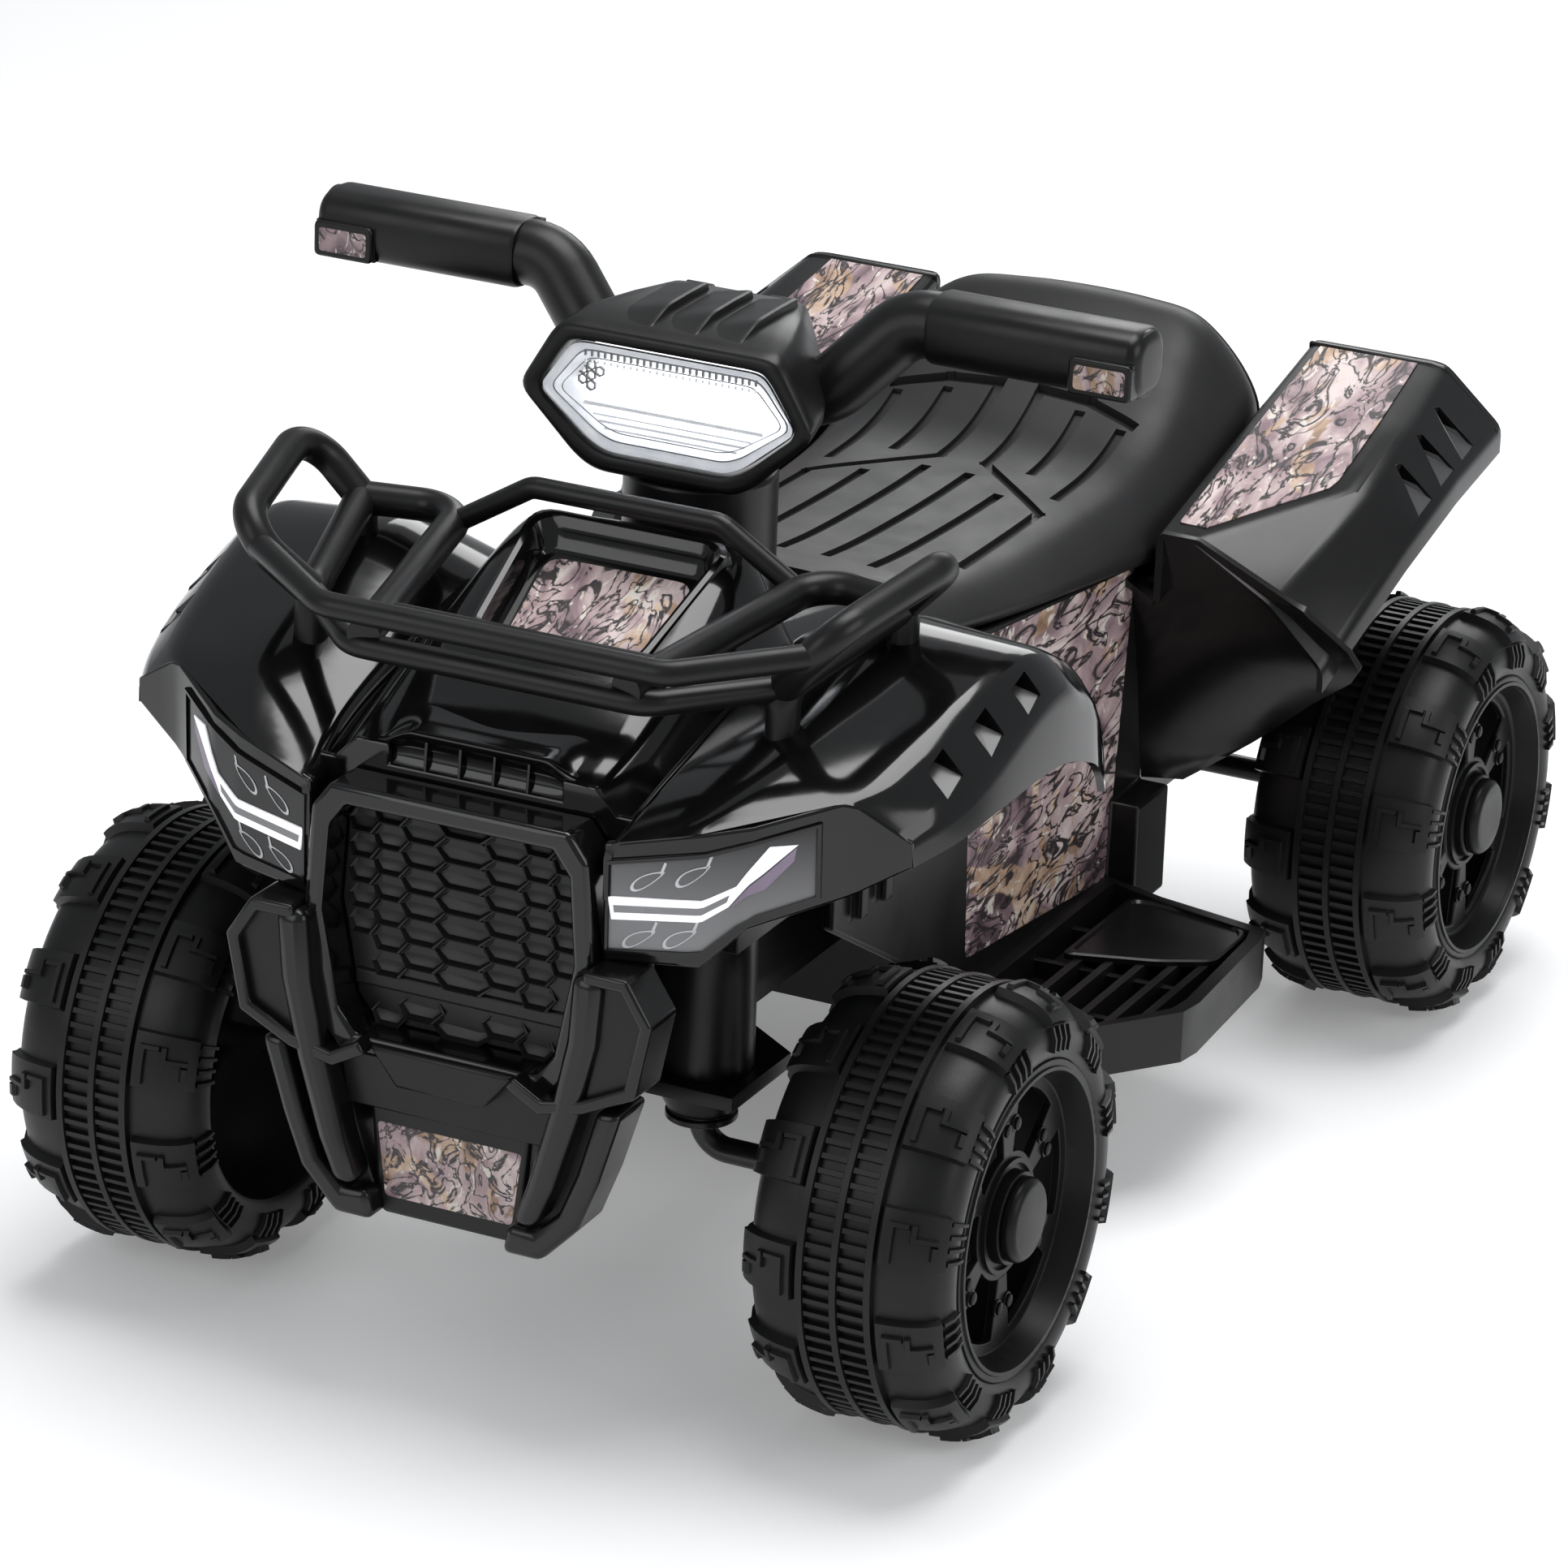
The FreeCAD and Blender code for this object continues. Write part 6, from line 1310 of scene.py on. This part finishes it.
def headlight():
    low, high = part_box("headlight_lens")
    front, back = high.x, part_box("light_board")[1].x
    lens = lens_tube(
        "headlight_lens_shown", [(front + ahead, inset) for ahead, inset in LENS_RINGS], "lens_clear", True,
    )
    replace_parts(lens, "headlight_lens")
    lip, step, waist, foot = front - 0.0022, front - 0.004, front - 0.0065, back + 0.0012
    places = (lip, step, waist, foot)
    inner, outer = (list(zip(places, insets)) for insets in (REFLECTOR_INNER, REFLECTOR_OUTER))
    # The reflector glows as painted glow, for the lamp's light on it.
    lens_tube("headlight_reflector", inner + outer[::-1] + inner[:1], "reflector")
    levels = [(back - LIGHT_BOARD_BEHIND, LIGHT_BOARD_INSET), (back + LIGHT_BOARD_AHEAD, LIGHT_BOARD_INSET)]
    board = lens_tube("light_board_shown", levels, "board_white", True)
    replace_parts(board, "light_board")
    for name, inset, width in LENS_OUTLINES:
        place = front - OUTLINE_DEPTH - inset * OUTLINE_SLOPE
        face = place + OUTLINE_HEIGHT
        lens_tube(f"headlight_outline_{name}", [
            (place, inset), (face, inset + OUTLINE_DRAFT), (face, inset + width),
            (place, inset + width), (place, inset),
        ], "lens_cell")
    # The second, lower row of ticks glows as painted glow.
    for level, (drop, length, finish) in enumerate(LENS_TICKS):
        top_z = high.z - drop
        span = high.y * TICK_SPAN_SHARE
        for step, y in enumerate(evenly(-span, span, TICK_COUNT)):
            near, far = y - TICK_HALF, y + TICK_HALF
            places = ((near, top_z), (far, top_z), (far, top_z - length), (near, top_z - length))
            loop = frontal(front - TICK_DEPTH, places)
            dress(prism(f"headlight_tick_{level}_{step}", loop, AHEAD * TICK_WALL), finish, "steering")
    # The ribs glow as painted glow.
    for step, (rise, half_share, width) in enumerate(LENS_RIBS):
        half, low_z = high.y * half_share, low.z + rise
        top = half * LENS_RIB_TOP_SHARE
        places = ((-half, low_z), (half, low_z), (top, low_z + width), (-top, low_z + width))
        loop = frontal(front - LENS_RIB_DEPTH - step * LENS_RIB_STEP, places)
        dress(prism(f"headlight_rib_{step}", loop, AHEAD * LENS_RIB_WALL), "lens_mark", "steering")
    for column, row in LENS_CELLS:
        y = -high.y * LENS_CELL_SIDE_SHARE + column * LENS_CELL_PITCH_Y
        z = (low.z + high.z) / 2 + LENS_CELL_RISE + row * LENS_CELL_PITCH_Z
        centre = Vector((back + LENS_CELL_AHEAD, y, z))
        outer, inner = (circle(centre, ACROSS, UP, radius, 6, pi / 6) for radius in LENS_CELL_RADII)
        raised = [[p + AHEAD * LENS_CELL_DEPTH for p in ring] for ring in (outer, inner)]
        cell = tube(f"headlight_cell_{column}_{int(row * 2 + 1)}", [outer, *raised, inner, outer])
        shown(cell, "lens_cell", "steering")


headlight()


# Grips: a squared sleeve with a rounded end over each end of the bar, and a printed pad in front

GRIP_X = 0.104
GRIP_RADIUS = 0.013
GRIP_DEPTH = 0.0142
GRIP_HEIGHT = 0.0136
GRIP_SQUARE = 2.9
GRIP_START = 0.088
GRIP_ROUND = 0.0055
GRIP_ROUND_START = 0.25
GRIP_LIP = 0.0016
GRIP_PAST = 0.0016
BUTTON_TRAVEL = 0.0025
BUTTON_GAP = 0.0004
# middle and half length of the button's way, as shares of its travel
BUTTON_WAY_SHARES = (1.6, 1.8)
PAD_BACK_X = 0.108
PAD_FACE_X = 0.1204
PAD_ENDS = (0.0255, -0.0002)
PAD_HEIGHTS = (0.0101, 0.0244)
PAD_BORDER = 0.0024
PAD_ROUND = 0.0025
PAD_EDGE_ROUND = 0.0009
PAD_FILM_ROUND = 0.0016


def button_way():
    """Room in the sleeve for the pressed drive button."""
    low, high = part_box("drive_button")
    centre = (low + high) / 2 + AHEAD * (BUTTON_TRAVEL * BUTTON_WAY_SHARES[0])
    hole = circle(centre, ACROSS, UP, (high.z - low.z) / 2 + BUTTON_GAP, 32)
    return prism("button_cutter", hole, AHEAD * (BUTTON_TRAVEL * BUTTON_WAY_SHARES[1]))


def grip(side, hand):
    """A sleeve with its pad and print."""
    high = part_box("handlebar")[1]
    tip_y = high.y + GRIP_PAST
    stops = [(GRIP_START, GRIP_HEIGHT - GRIP_RADIUS), (GRIP_START + GRIP_LIP, 0.0), (tip_y - GRIP_ROUND, 0.0)]
    for turn in evenly(GRIP_ROUND_START, pi / 2, 6):
        stops.append((tip_y - GRIP_ROUND * (1 - sin(turn)), GRIP_ROUND * (1 - cos(turn))))
    squared = [
        [copysign(abs(part) ** (2 / GRIP_SQUARE), part) for part in (cos(turn), sin(turn))]
        for turn in full_turn(40)
    ]
    middle_z = high.z - GRIP_RADIUS
    rings = []
    for y, inset in stops:
        depth, height = GRIP_DEPTH - inset, GRIP_HEIGHT - inset
        rings.append([Vector((GRIP_X + depth * x, y * hand, middle_z + height * z)) for x, z in squared])
    sleeve = shown(tube(f"grip_sleeve_{side}", rings, True, True), "matte_black", "steering")
    if hand < 0:
        cut_by(sleeve, [button_way()])
    near, far = (high.y - end for end in PAD_ENDS)
    top_z, low_z = (high.z - drop for drop in PAD_HEIGHTS)

    def loop(x, inset):
        a, b, c, d = near + inset, far - inset, top_z - inset, low_z + inset
        return frontal(x, ((a, c), (b, c), (b, d), (a, d)), hand)

    middle_x = (PAD_BACK_X + PAD_FACE_X) / 2
    outline = closed_round(loop(middle_x, 0.0), PAD_ROUND)
    pad = prism(f"grip_pad_{side}", outline, AHEAD * (PAD_FACE_X - middle_x))
    shown(bevelled(pad, PAD_EDGE_ROUND, 2), "matte_black", "steering")
    outline = loop(PAD_FACE_X + FILM_GAP, PAD_BORDER)[::-hand]
    film(f"grip_print_{side}", closed_round(outline, PAD_FILM_ROUND), "steering")


both_sides(grip)


# Headlight pod: shell that tapers to the rider, with a rounded bezel and three stepped louvres on top

POD_LOW_Z = 0.319
POD_HEIGHT = 0.068
POD_ROUND = 0.006
# stations: length from the rear, width, height
POD_SHARES = [
    (0.0, 0.58, 0.985), (0.03, 0.63, 1.0), (0.35, 0.79, 1.005), (0.7, 0.94, 1.0), (0.9, 0.985, 0.965),
    (1.0, 1.0, 0.94),
]
# bezel: reach ahead of the front, inset
BEZEL = [(0.0011, 0.0012), (0.0016, 0.0034), (0.0006, 0.0066), (-0.003, 0.0078), (-0.0125, 0.008)]
LOUVRES = 3
LOUVRE_PITCH = 0.019
LOUVRE_LIFT = 0.0032
LOUVRE_ENDS = (0.12, 0.93)
# share of the length over which a louvre sinks into the shell, and how deep its foot lies
LOUVRE_FADE_SHARE = 0.3
LOUVRE_SUNK = 0.0004
# section of a louvre: share of the pitch, share of the lift
LOUVRE_SECTION = [(0.0, 0.0), (0.3, 0.32), (0.6, 0.66), (0.86, 0.96), (0.92, 1.0), (0.96, 0.9), (0.99, 0.0)]


def pod():
    low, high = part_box("headlight_pod")
    length = high.x - low.x

    def ring(x, width, height, inset=0.0):
        rise = POD_HEIGHT * height - inset * 2
        half_width, foot_z = high.y * width - inset, POD_LOW_Z + inset
        half = [(half_width * across, foot_z + rise * up) for across, up in LENS_SHARES]
        return closed_round(frontal(x, mirrored(half)), POD_ROUND, 5)

    rings = [ring(low.x + length * along, width, height) for along, width, height in POD_SHARES]
    rings += [ring(high.x + reach, 1.0, POD_SHARES[-1][2], inset) for reach, inset in BEZEL]
    shell = tube("headlight_pod_shown", rings, True)
    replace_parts(shown(shell, "matte_black", "steering", angle=radians(50)), "headlight_pod")
    for step in range(LOUVRES):
        start = LOUVRE_PITCH * (step - LOUVRES / 2)
        rows = []
        for along in evenly(*LOUVRE_ENDS, 15):
            top_z = POD_LOW_Z + POD_HEIGHT * row_at(POD_SHARES, along)[2] * LENS_SHARES[0][1] - LOUVRE_SUNK
            rise = LOUVRE_LIFT * min((LOUVRE_ENDS[1] - along) / LOUVRE_FADE_SHARE, 1.0)
            section = [(start + LOUVRE_PITCH * y, top_z + rise * lift) for y, lift in LOUVRE_SECTION]
            rows.append(frontal(low.x + length * along, section))
        build = Build(rows[::-1])
        width = len(LOUVRE_SECTION)
        build.cap(0, width)
        build.cap(-width, width, True)
        slat = welded(build.piece(f"headlight_louvre_{step}"), fill=True)
        shown(slat, "matte_black", "steering", angle=radians(45))


pod()


# Grille: columns of flattened six-sided scales with a thick lower lip, wide in the middle and narrow outside

CELL_COLUMNS = [(0.0, 0.0265), (0.0175, 0.0205), (0.031, 0.0165), (0.0425, 0.0145)]
CELL_HEIGHT = 0.0096
CELL_PITCH_Z = 0.0101
CELL_FLAT_SHARE = 0.29
CELL_TOP_GAP = 0.0045
CELL_GAP = 0.0006
CELL_ROOT = -0.0006
CELL_SUNK = 0.0004
# how much of a scale has to be clear of the field's foot, the band and the ring
FOOT_SHARE, BAND_SHARE, RING_SHARE = 0.4, 0.3, 0.45
BAND_GAP, BAND_BACK, BAND_REACH, BAND_SLOPE = 0.0006, 0.001, 0.0014, 0.001
GRILLE_PLATE_ROUND = 0.0006
GRILLE_PLATE = 0.004
BAND_LOW_Z = 0.1612
BAND_HIGH_Z = 0.1668
# levels of a scale: inset, then depth at its top, middle and lower edge
CELL_LEVELS = [
    (0.0002, 0.0, 0.0014, 0.0034), (0.0009, 0.0, 0.0016, 0.0038), (0.0013, -0.0002, 0.0012, 0.003),
    (0.0018, -0.0003, 0.0005, 0.0014), (0.0024, -0.0004, 0.0003, 0.0009),
]
# inner outline of the grille's ring, half from the top: width, height
GRILLE_SHARES = [(0.82, 1.0), (0.95, 0.9), (1.0, 0.52), (0.86, 0.1), (0.72, 0.0)]


def web(name, outline, hand, back_x, front_x, width, finish, slot=None):
    """A flat panel in the frontal plane."""
    loop = frontal((back_x + front_x) / 2, outline, hand)
    return shown(bevelled(prism(name, loop, AHEAD * ((front_x - back_x) / 2)), width, 2), finish)


def scale_cell(build, x, y, z, width, sunk):
    """One scale: a flat face that rises to a thick lip along its lower edges."""
    tip, flat, rise = width / 2, width * CELL_FLAT_SHARE, CELL_HEIGHT / 2
    outline = [(tip, 0.0), (flat, rise), (-flat, rise), (-tip, 0.0), (-flat, -rise), (flat, -rise)]
    levels = [(0.0, CELL_ROOT, CELL_ROOT, CELL_ROOT)]
    levels += [(inset, top - sunk, middle, low) for inset, top, middle, low in CELL_LEVELS]
    rows = []
    for inset, top, middle, low in levels:
        row = []
        for dy, dz in outline:
            depth = middle if dz == 0.0 else (top if dz > 0 else low)
            row.append(Vector((x + depth, y + dy * (1 - inset / tip), z + dz * (1 - inset / rise))))
        rows.append(row + row[:1])
    build.grid(rows)
    build.cap(-7, 6)


def grille():
    low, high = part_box("grille_insert")
    face_x = low.x + GRILLE_PLATE

    def inside_half(z):
        """Half width of the grille's field at a height."""
        share = (z - low.z) / (high.z - low.z)
        return high.y * row_at(sorted((up, across) for across, up in GRILLE_SHARES), share)[1]

    build = Build()
    for column, (place, width) in enumerate(CELL_COLUMNS):
        z = high.z - CELL_TOP_GAP - (CELL_PITCH_Z / 2 if column % 2 else 0.0)
        while z > low.z + CELL_HEIGHT * FOOT_SHARE:
            room = CELL_HEIGHT * BAND_SHARE
            clear = z + room < BAND_LOW_Z or z - room > BAND_HIGH_Z
            if clear and place + width * RING_SHARE < inside_half(z):
                for y in sorted({place, -place}):
                    scale_cell(build, face_x, y, z, width - CELL_GAP, CELL_SUNK if z < BAND_LOW_Z else 0.0)
            z -= CELL_PITCH_Z
    cells = welded(build.piece("grille_scales"), fill=True)
    shown(cells, "grille_black", angle=radians(25))
    band_half = inside_half((BAND_LOW_Z + BAND_HIGH_Z) / 2) - BAND_GAP
    back_x, front_x = face_x - BAND_BACK, face_x + BAND_REACH
    loop = [
        Vector((back_x, 0.0, BAND_LOW_Z - BAND_SLOPE)), Vector((front_x, 0.0, BAND_LOW_Z)),
        Vector((front_x, 0.0, BAND_HIGH_Z)), Vector((back_x, 0.0, BAND_HIGH_Z + BAND_SLOPE)),
    ]
    dress(bevelled(prism("grille_band", loop, ACROSS * band_half), FINE_ROUND, 2), "grille_black")
    outline = mirrored([(high.y * across, between(low.z, high.z, up)) for across, up in GRILLE_SHARES])
    plate = web("grille_insert_shown", outline, 1, low.x, face_x, GRILLE_PLATE_ROUND, "grille_black")
    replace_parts(plate, "grille_insert")


grille()


# Bumper guard: rimmed side plates, upright posts that run down into hooked legs, and a bib under the grille,
# as places across and up in metres

GUARD_BACK = 0.02
PLATE_OUTER = [
    (0.0605, 0.196), (0.0785, 0.196), (0.089, 0.1797), (0.083, 0.15), (0.0615, 0.1395), (0.0432, 0.1355),
    (0.0294, 0.143),
]
PLATE_INNER = [
    (0.0605, 0.191), (0.076, 0.191), (0.0838, 0.1787), (0.0785, 0.1538), (0.0605, 0.1448), (0.0445, 0.1412),
    (0.0325, 0.148),
]
PLATE_WEB = [
    (0.056, 0.1935), (0.077, 0.1935), (0.0865, 0.179), (0.081, 0.152), (0.061, 0.1425), (0.0475, 0.139),
    (0.0535, 0.165),
]
POST_OUTER = [(0.0685, 0.1935), (0.0665, 0.167), (0.0595, 0.137), (0.05, 0.106), (0.0425, 0.0885)]
POST_INNER = [(0.0555, 0.1945), (0.0535, 0.167), (0.047, 0.137), (0.0385, 0.106), (0.0325, 0.0885)]
LEG_OUTER = [(0.0755, 0.1405), (0.0665, 0.111), (0.0585, 0.0905), (0.0435, 0.0745), (0.0275, 0.0745)]
LEG_INNER = [(0.0655, 0.1405), (0.0575, 0.113), (0.0505, 0.0955), (0.0405, 0.0855), (0.0295, 0.0865)]
LEG_WEB = [
    (0.0705, 0.139), (0.062, 0.111), (0.054, 0.092), (0.041, 0.0795), (0.029, 0.0795), (0.035, 0.096),
    (0.043, 0.122), (0.05, 0.139),
]
BIB = [(0.0305, 0.1455), (0.0185, 0.1305), (-0.0185, 0.1305), (-0.0305, 0.1455)]
BIB_WEB = [(0.0475, 0.143), (0.0425, 0.117), (-0.0425, 0.117), (-0.0475, 0.143)]
# pieces of the guard: reach behind its back, setback from the nose, rounding
GUARD_DEPTHS = {
    "web": (0.008, 0.0125, 0.0008), "bib": (0.0, 0.005, 0.0016), "plate": (0.0, 0.0045, 0.0006),
    "rim": (0.002, 0.0005, 0.0014), "post": (0.006, 0.0002, 0.0045), "leg": (0.008, 0.013, 0.0008),
    "hook": (0.008, 0.004, 0.003),
}


def ridge(name, outer, inner, hand, back_x, front_x, width):
    """A bar between two edges in the frontal plane, with rounded edges."""
    edges = ((back_x, outer), (front_x, outer), (front_x, inner), (back_x, inner))
    corners = zip(*(frontal(x, edge, hand) for x, edge in edges))
    bar = tube(name, [list(ring) for ring in corners], True, True)
    return shown(bevelled(bar, width, 3, radians(40)), "satin_black")


def bumper():
    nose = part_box("bumper_guard")[1].x
    matte = ("matte_black", "gloss_black")

    def depths(kind):
        behind, setback, rounding = GUARD_DEPTHS[kind]
        return nose - GUARD_BACK - behind, nose - setback, rounding

    backing = web("bumper_guard_web", BIB_WEB, 1, *depths("web"), *matte)
    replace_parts(backing, "bumper_guard")
    web("bumper_bib", BIB, 1, *depths("bib"), *matte)
    for side, hand in SIDES:
        web(f"bumper_plate_{side}", PLATE_WEB, hand, *depths("plate"), *matte)
        ridge(f"bumper_rim_{side}", PLATE_OUTER, PLATE_INNER, hand, *depths("rim"))
        ridge(f"bumper_post_{side}", POST_OUTER, POST_INNER, hand, *depths("post"))
        web(f"bumper_leg_{side}", LEG_WEB, hand, *depths("leg"), *matte)
        ridge(f"bumper_hook_{side}", LEG_OUTER, LEG_INNER, hand, *depths("hook"))


bumper()


# Footboards: a plain framed panel over the rear half of the lattice

BOARD_SHARES = [(0.07, 0.2), (0.42, 0.2), (0.36, 0.62), (0.3, 0.86), (0.13, 0.86), (0.07, 0.7)]
BOARD_LIFT = 0.0012
BOARD_ROUND = 0.005
# levels of the panel: inset, rise as a share of the lift
BOARD_LEVELS = [(0.0, -2.0), (0.0, 0.0), (0.03, 0.6), (0.08, 0.6), (0.11, -0.3)]


def board_panel(side, hand):
    low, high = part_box(f"footboard_{side}")
    near, width = (low.y if hand > 0 else -high.y), high.y - low.y
    outer = closed_round([
        Vector((between(low.x, high.x, along), (near + width * across) * hand, high.z - BOARD_LIFT))
        for along, across in BOARD_SHARES
    ], BOARD_ROUND)
    centre = sum(outer, Vector()) / len(outer)
    rings = [
        [between(p, centre, inset) + UP * (BOARD_LIFT * rise) for p in outer]
        for inset, rise in BOARD_LEVELS
    ]
    panel = shown(tube(f"footboard_{side}_panel", rings, True, True), "satin_black")


both_sides(board_panel)


# Wheel trim: bolt heads on the spokes, a ring at the rim's edge and one round the hub

SPOKES = 6
BOLT_PLACE = 0.0365
BOLT_TURN = 0.115
DISC_Y = -0.0095
# profiles as radius and distance outwards
BOLT = [
    (0.00351, -0.0004), (0.00338, 0.0006), (0.0026, 0.0008), (0.00247, 0.00176), (0.00156, 0.0022),
    (0.00001, 0.0022),
]
EDGE_RING = [(-0.0022, -0.0006), (-0.0028, 0.0008), (-0.0042, 0.0008), (-0.0048, -0.0008), (-0.0022, -0.0006)]
HUB_RING = [(0.0228, -0.0004), (0.0224, 0.0016), (0.0206, 0.0016), (0.0202, -0.0004), (0.0228, -0.0004)]


def wheel_trim(node, hand):
    low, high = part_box(node)
    centre = (low + high) / 2
    centre.y = high.y if hand > 0 else low.y
    disc = centre + ACROSS * (DISC_Y * hand)
    radius = (high.z - low.z) / 2
    build = Build()

    def spun(middle, profile, steps):
        rows = [
            [middle + Vector((reach * cos(a), hand * out, reach * sin(a))) for reach, out in profile]
            for a in full_turn(steps)
        ]
        build.grid(rows, closed=True)

    for step in range(SPOKES):
        for offset in (-BOLT_TURN, BOLT_TURN):
            angle = 2 * pi * (step + 0.5) / SPOKES + offset
            spun(disc + (AHEAD * cos(angle) + UP * sin(angle)) * BOLT_PLACE, BOLT, 14)
    spun(centre, [(radius + reach, out) for reach, out in EDGE_RING], 96)
    spun(disc, HUB_RING, 64)
    shown(welded(build.piece(f"{node}_trim"), fill=True), "rim_black", body_of_node[node])


for wheel, hand in WHEELS:
    wheel_trim(f"{wheel}_rim", hand)


# Softened copies of the moulded and formed pieces

FLAT_ANGLE = radians(0.6)
EDGE_WIDTHS = {
    "rim": 0.0012, "hub_cap": 0.0012, "grille_frame": 0.003, "skid_plate": 0.002, "handlebar": 0.003,
    "column_neck": 0.002, "footboard": 0.0015, "body_side": 0.0015, "kingpin_post": 0.001,
    "front_subframe": 0.001, "chassis_tray": 0.001, "gearbox": 0.001, "power_switch": 0.001,
    "direction_switch": 0.001, "drive_button": 0.0008, "battery": 0.001,
}


def rounded(node, width):
    """A copy of a solid with softened edges, which stands for it."""
    build = bmesh.new()
    build.from_mesh(frame["nodes"][node].data)
    bmesh.ops.remove_doubles(build, verts=build.verts, dist=WELD_GAP)
    bmesh.ops.dissolve_limit(build, angle_limit=FLAT_ANGLE, verts=build.verts, edges=build.edges)
    mesh = bpy.data.meshes.new(f"{node}_shown")
    build.to_mesh(mesh)
    build.free()
    piece = bevelled(add_object(f"{node}_shown", mesh), width)
    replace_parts(shown(piece, slot_of_node[node], body_of_node[node]), node)


for node in sorted(frame["nodes"]):
    width = next((w for stem, w in EDGE_WIDTHS.items() if stem in node), None)
    if width:
        rounded(node, width)
    else:
        solid = frame["nodes"][node]
        solid.data.materials.clear()
        solid.data.materials.append(FINISH[slot_of_node[node]])


# Stage: pale floor, soft light and the camera

FLOOR_HALF = 9.0
FLOOR_Z = -0.0003
FLOOR_GLOW = 0.2
ends = (-FLOOR_HALF, FLOOR_HALF)
floor = Build([[Vector((x, y, FLOOR_Z)) for y in ends] for x in ends]).piece("floor")

floor_material = bpy.data.materials.new("pale_floor")
floor_material.use_nodes = True
tree = floor_material.node_tree
tree.nodes.remove(tree.nodes["Principled BSDF"])
path = tree.nodes.new("ShaderNodeLightPath").outputs
seen = add_node(tree, "ShaderNodeMath", path["Is Camera Ray"], path["Is Glossy Ray"], operation="MAXIMUM")
level = add_node(tree, "ShaderNodeMath", seen.outputs[0], FLOOR_GLOW, operation="MULTIPLY")
matte = add_node(tree, "ShaderNodeBsdfDiffuse", (0.88, 0.88, 0.89, 1.0))
glow = add_node(tree, "ShaderNodeEmission", (1.0, 1.0, 1.0, 1.0), level.outputs[0])
both = add_node(tree, "ShaderNodeAddShader", matte.outputs[0], glow.outputs[0])
plug(tree, tree.nodes["Material Output"], Surface=both.outputs[0])
floor.data.materials.append(floor_material)

world = bpy.data.worlds.new("studio")
bpy.context.scene.world = world
world.use_nodes = True
tree = world.node_tree
tree.nodes.clear()
soft_light, white = (
    add_node(tree, "ShaderNodeBackground", colour, strength).outputs[0]
    for colour, strength in (((0.94, 0.97, 1.0, 1.0), 0.34), ((1.0, 1.0, 1.0, 1.0), 1.0))
)
from_camera = tree.nodes.new("ShaderNodeLightPath").outputs["Is Camera Ray"]
choice = add_node(tree, "ShaderNodeMixShader", from_camera, soft_light, white)
add_node(tree, "ShaderNodeOutputWorld", choice.outputs[0])

middle = (cad_low + cad_high) / 2
# area lamps that face the object: place, width, height, watts
SOFT_BOXES = {
    "overhead_box": ((-0.2, 0.1, 2.2), 1.4, 1.3, 36.0),
    "left_box": ((0.4, 2.1, 1.2), 1.4, 1.1, 12.0),
    "front_box": ((2.2, -0.9, 1.3), 1.2, 1.4, 10.0),
    "rear_box": ((-2.2, -0.5, 1.3), 1.1, 0.9, 11.0),
}
for name, (place, width, height, watts) in SOFT_BOXES.items():
    lamp_data = bpy.data.lights.new(name, "AREA")
    lamp_data.shape = "RECTANGLE"
    lamp_data.size, lamp_data.size_y, lamp_data.energy = width, height, watts
    lamp = add_object(name, lamp_data)
    lamp.location = place
    lamp.rotation_euler = (middle - Vector(place)).to_track_quat("-Z", "Y").to_euler()

CAMERA_PLACE = Vector((2.46303, 1.15833, 1.21099))
CAMERA_AIM = Vector((0.02719, -0.00683, 0.15311))
CAMERA_ROLL = radians(2.06)
CAMERA_LENS = 165.05
camera_data = bpy.data.cameras.new("camera")
camera_data.sensor_width = 36.0
camera_data.lens = CAMERA_LENS
camera_data.clip_end = 100.0
camera = add_object("camera", camera_data)
ahead = (CAMERA_AIM - CAMERA_PLACE).normalized()
level_right = ahead.cross(UP).normalized()
right = level_right * cos(CAMERA_ROLL) + level_right.cross(ahead) * sin(CAMERA_ROLL)
turn = Matrix((right, right.cross(ahead), -ahead)).transposed()
camera.matrix_world = Matrix.Translation(CAMERA_PLACE) @ turn.to_4x4()
bpy.context.scene.camera = camera
bpy.context.scene.view_settings.view_transform = "Standard"
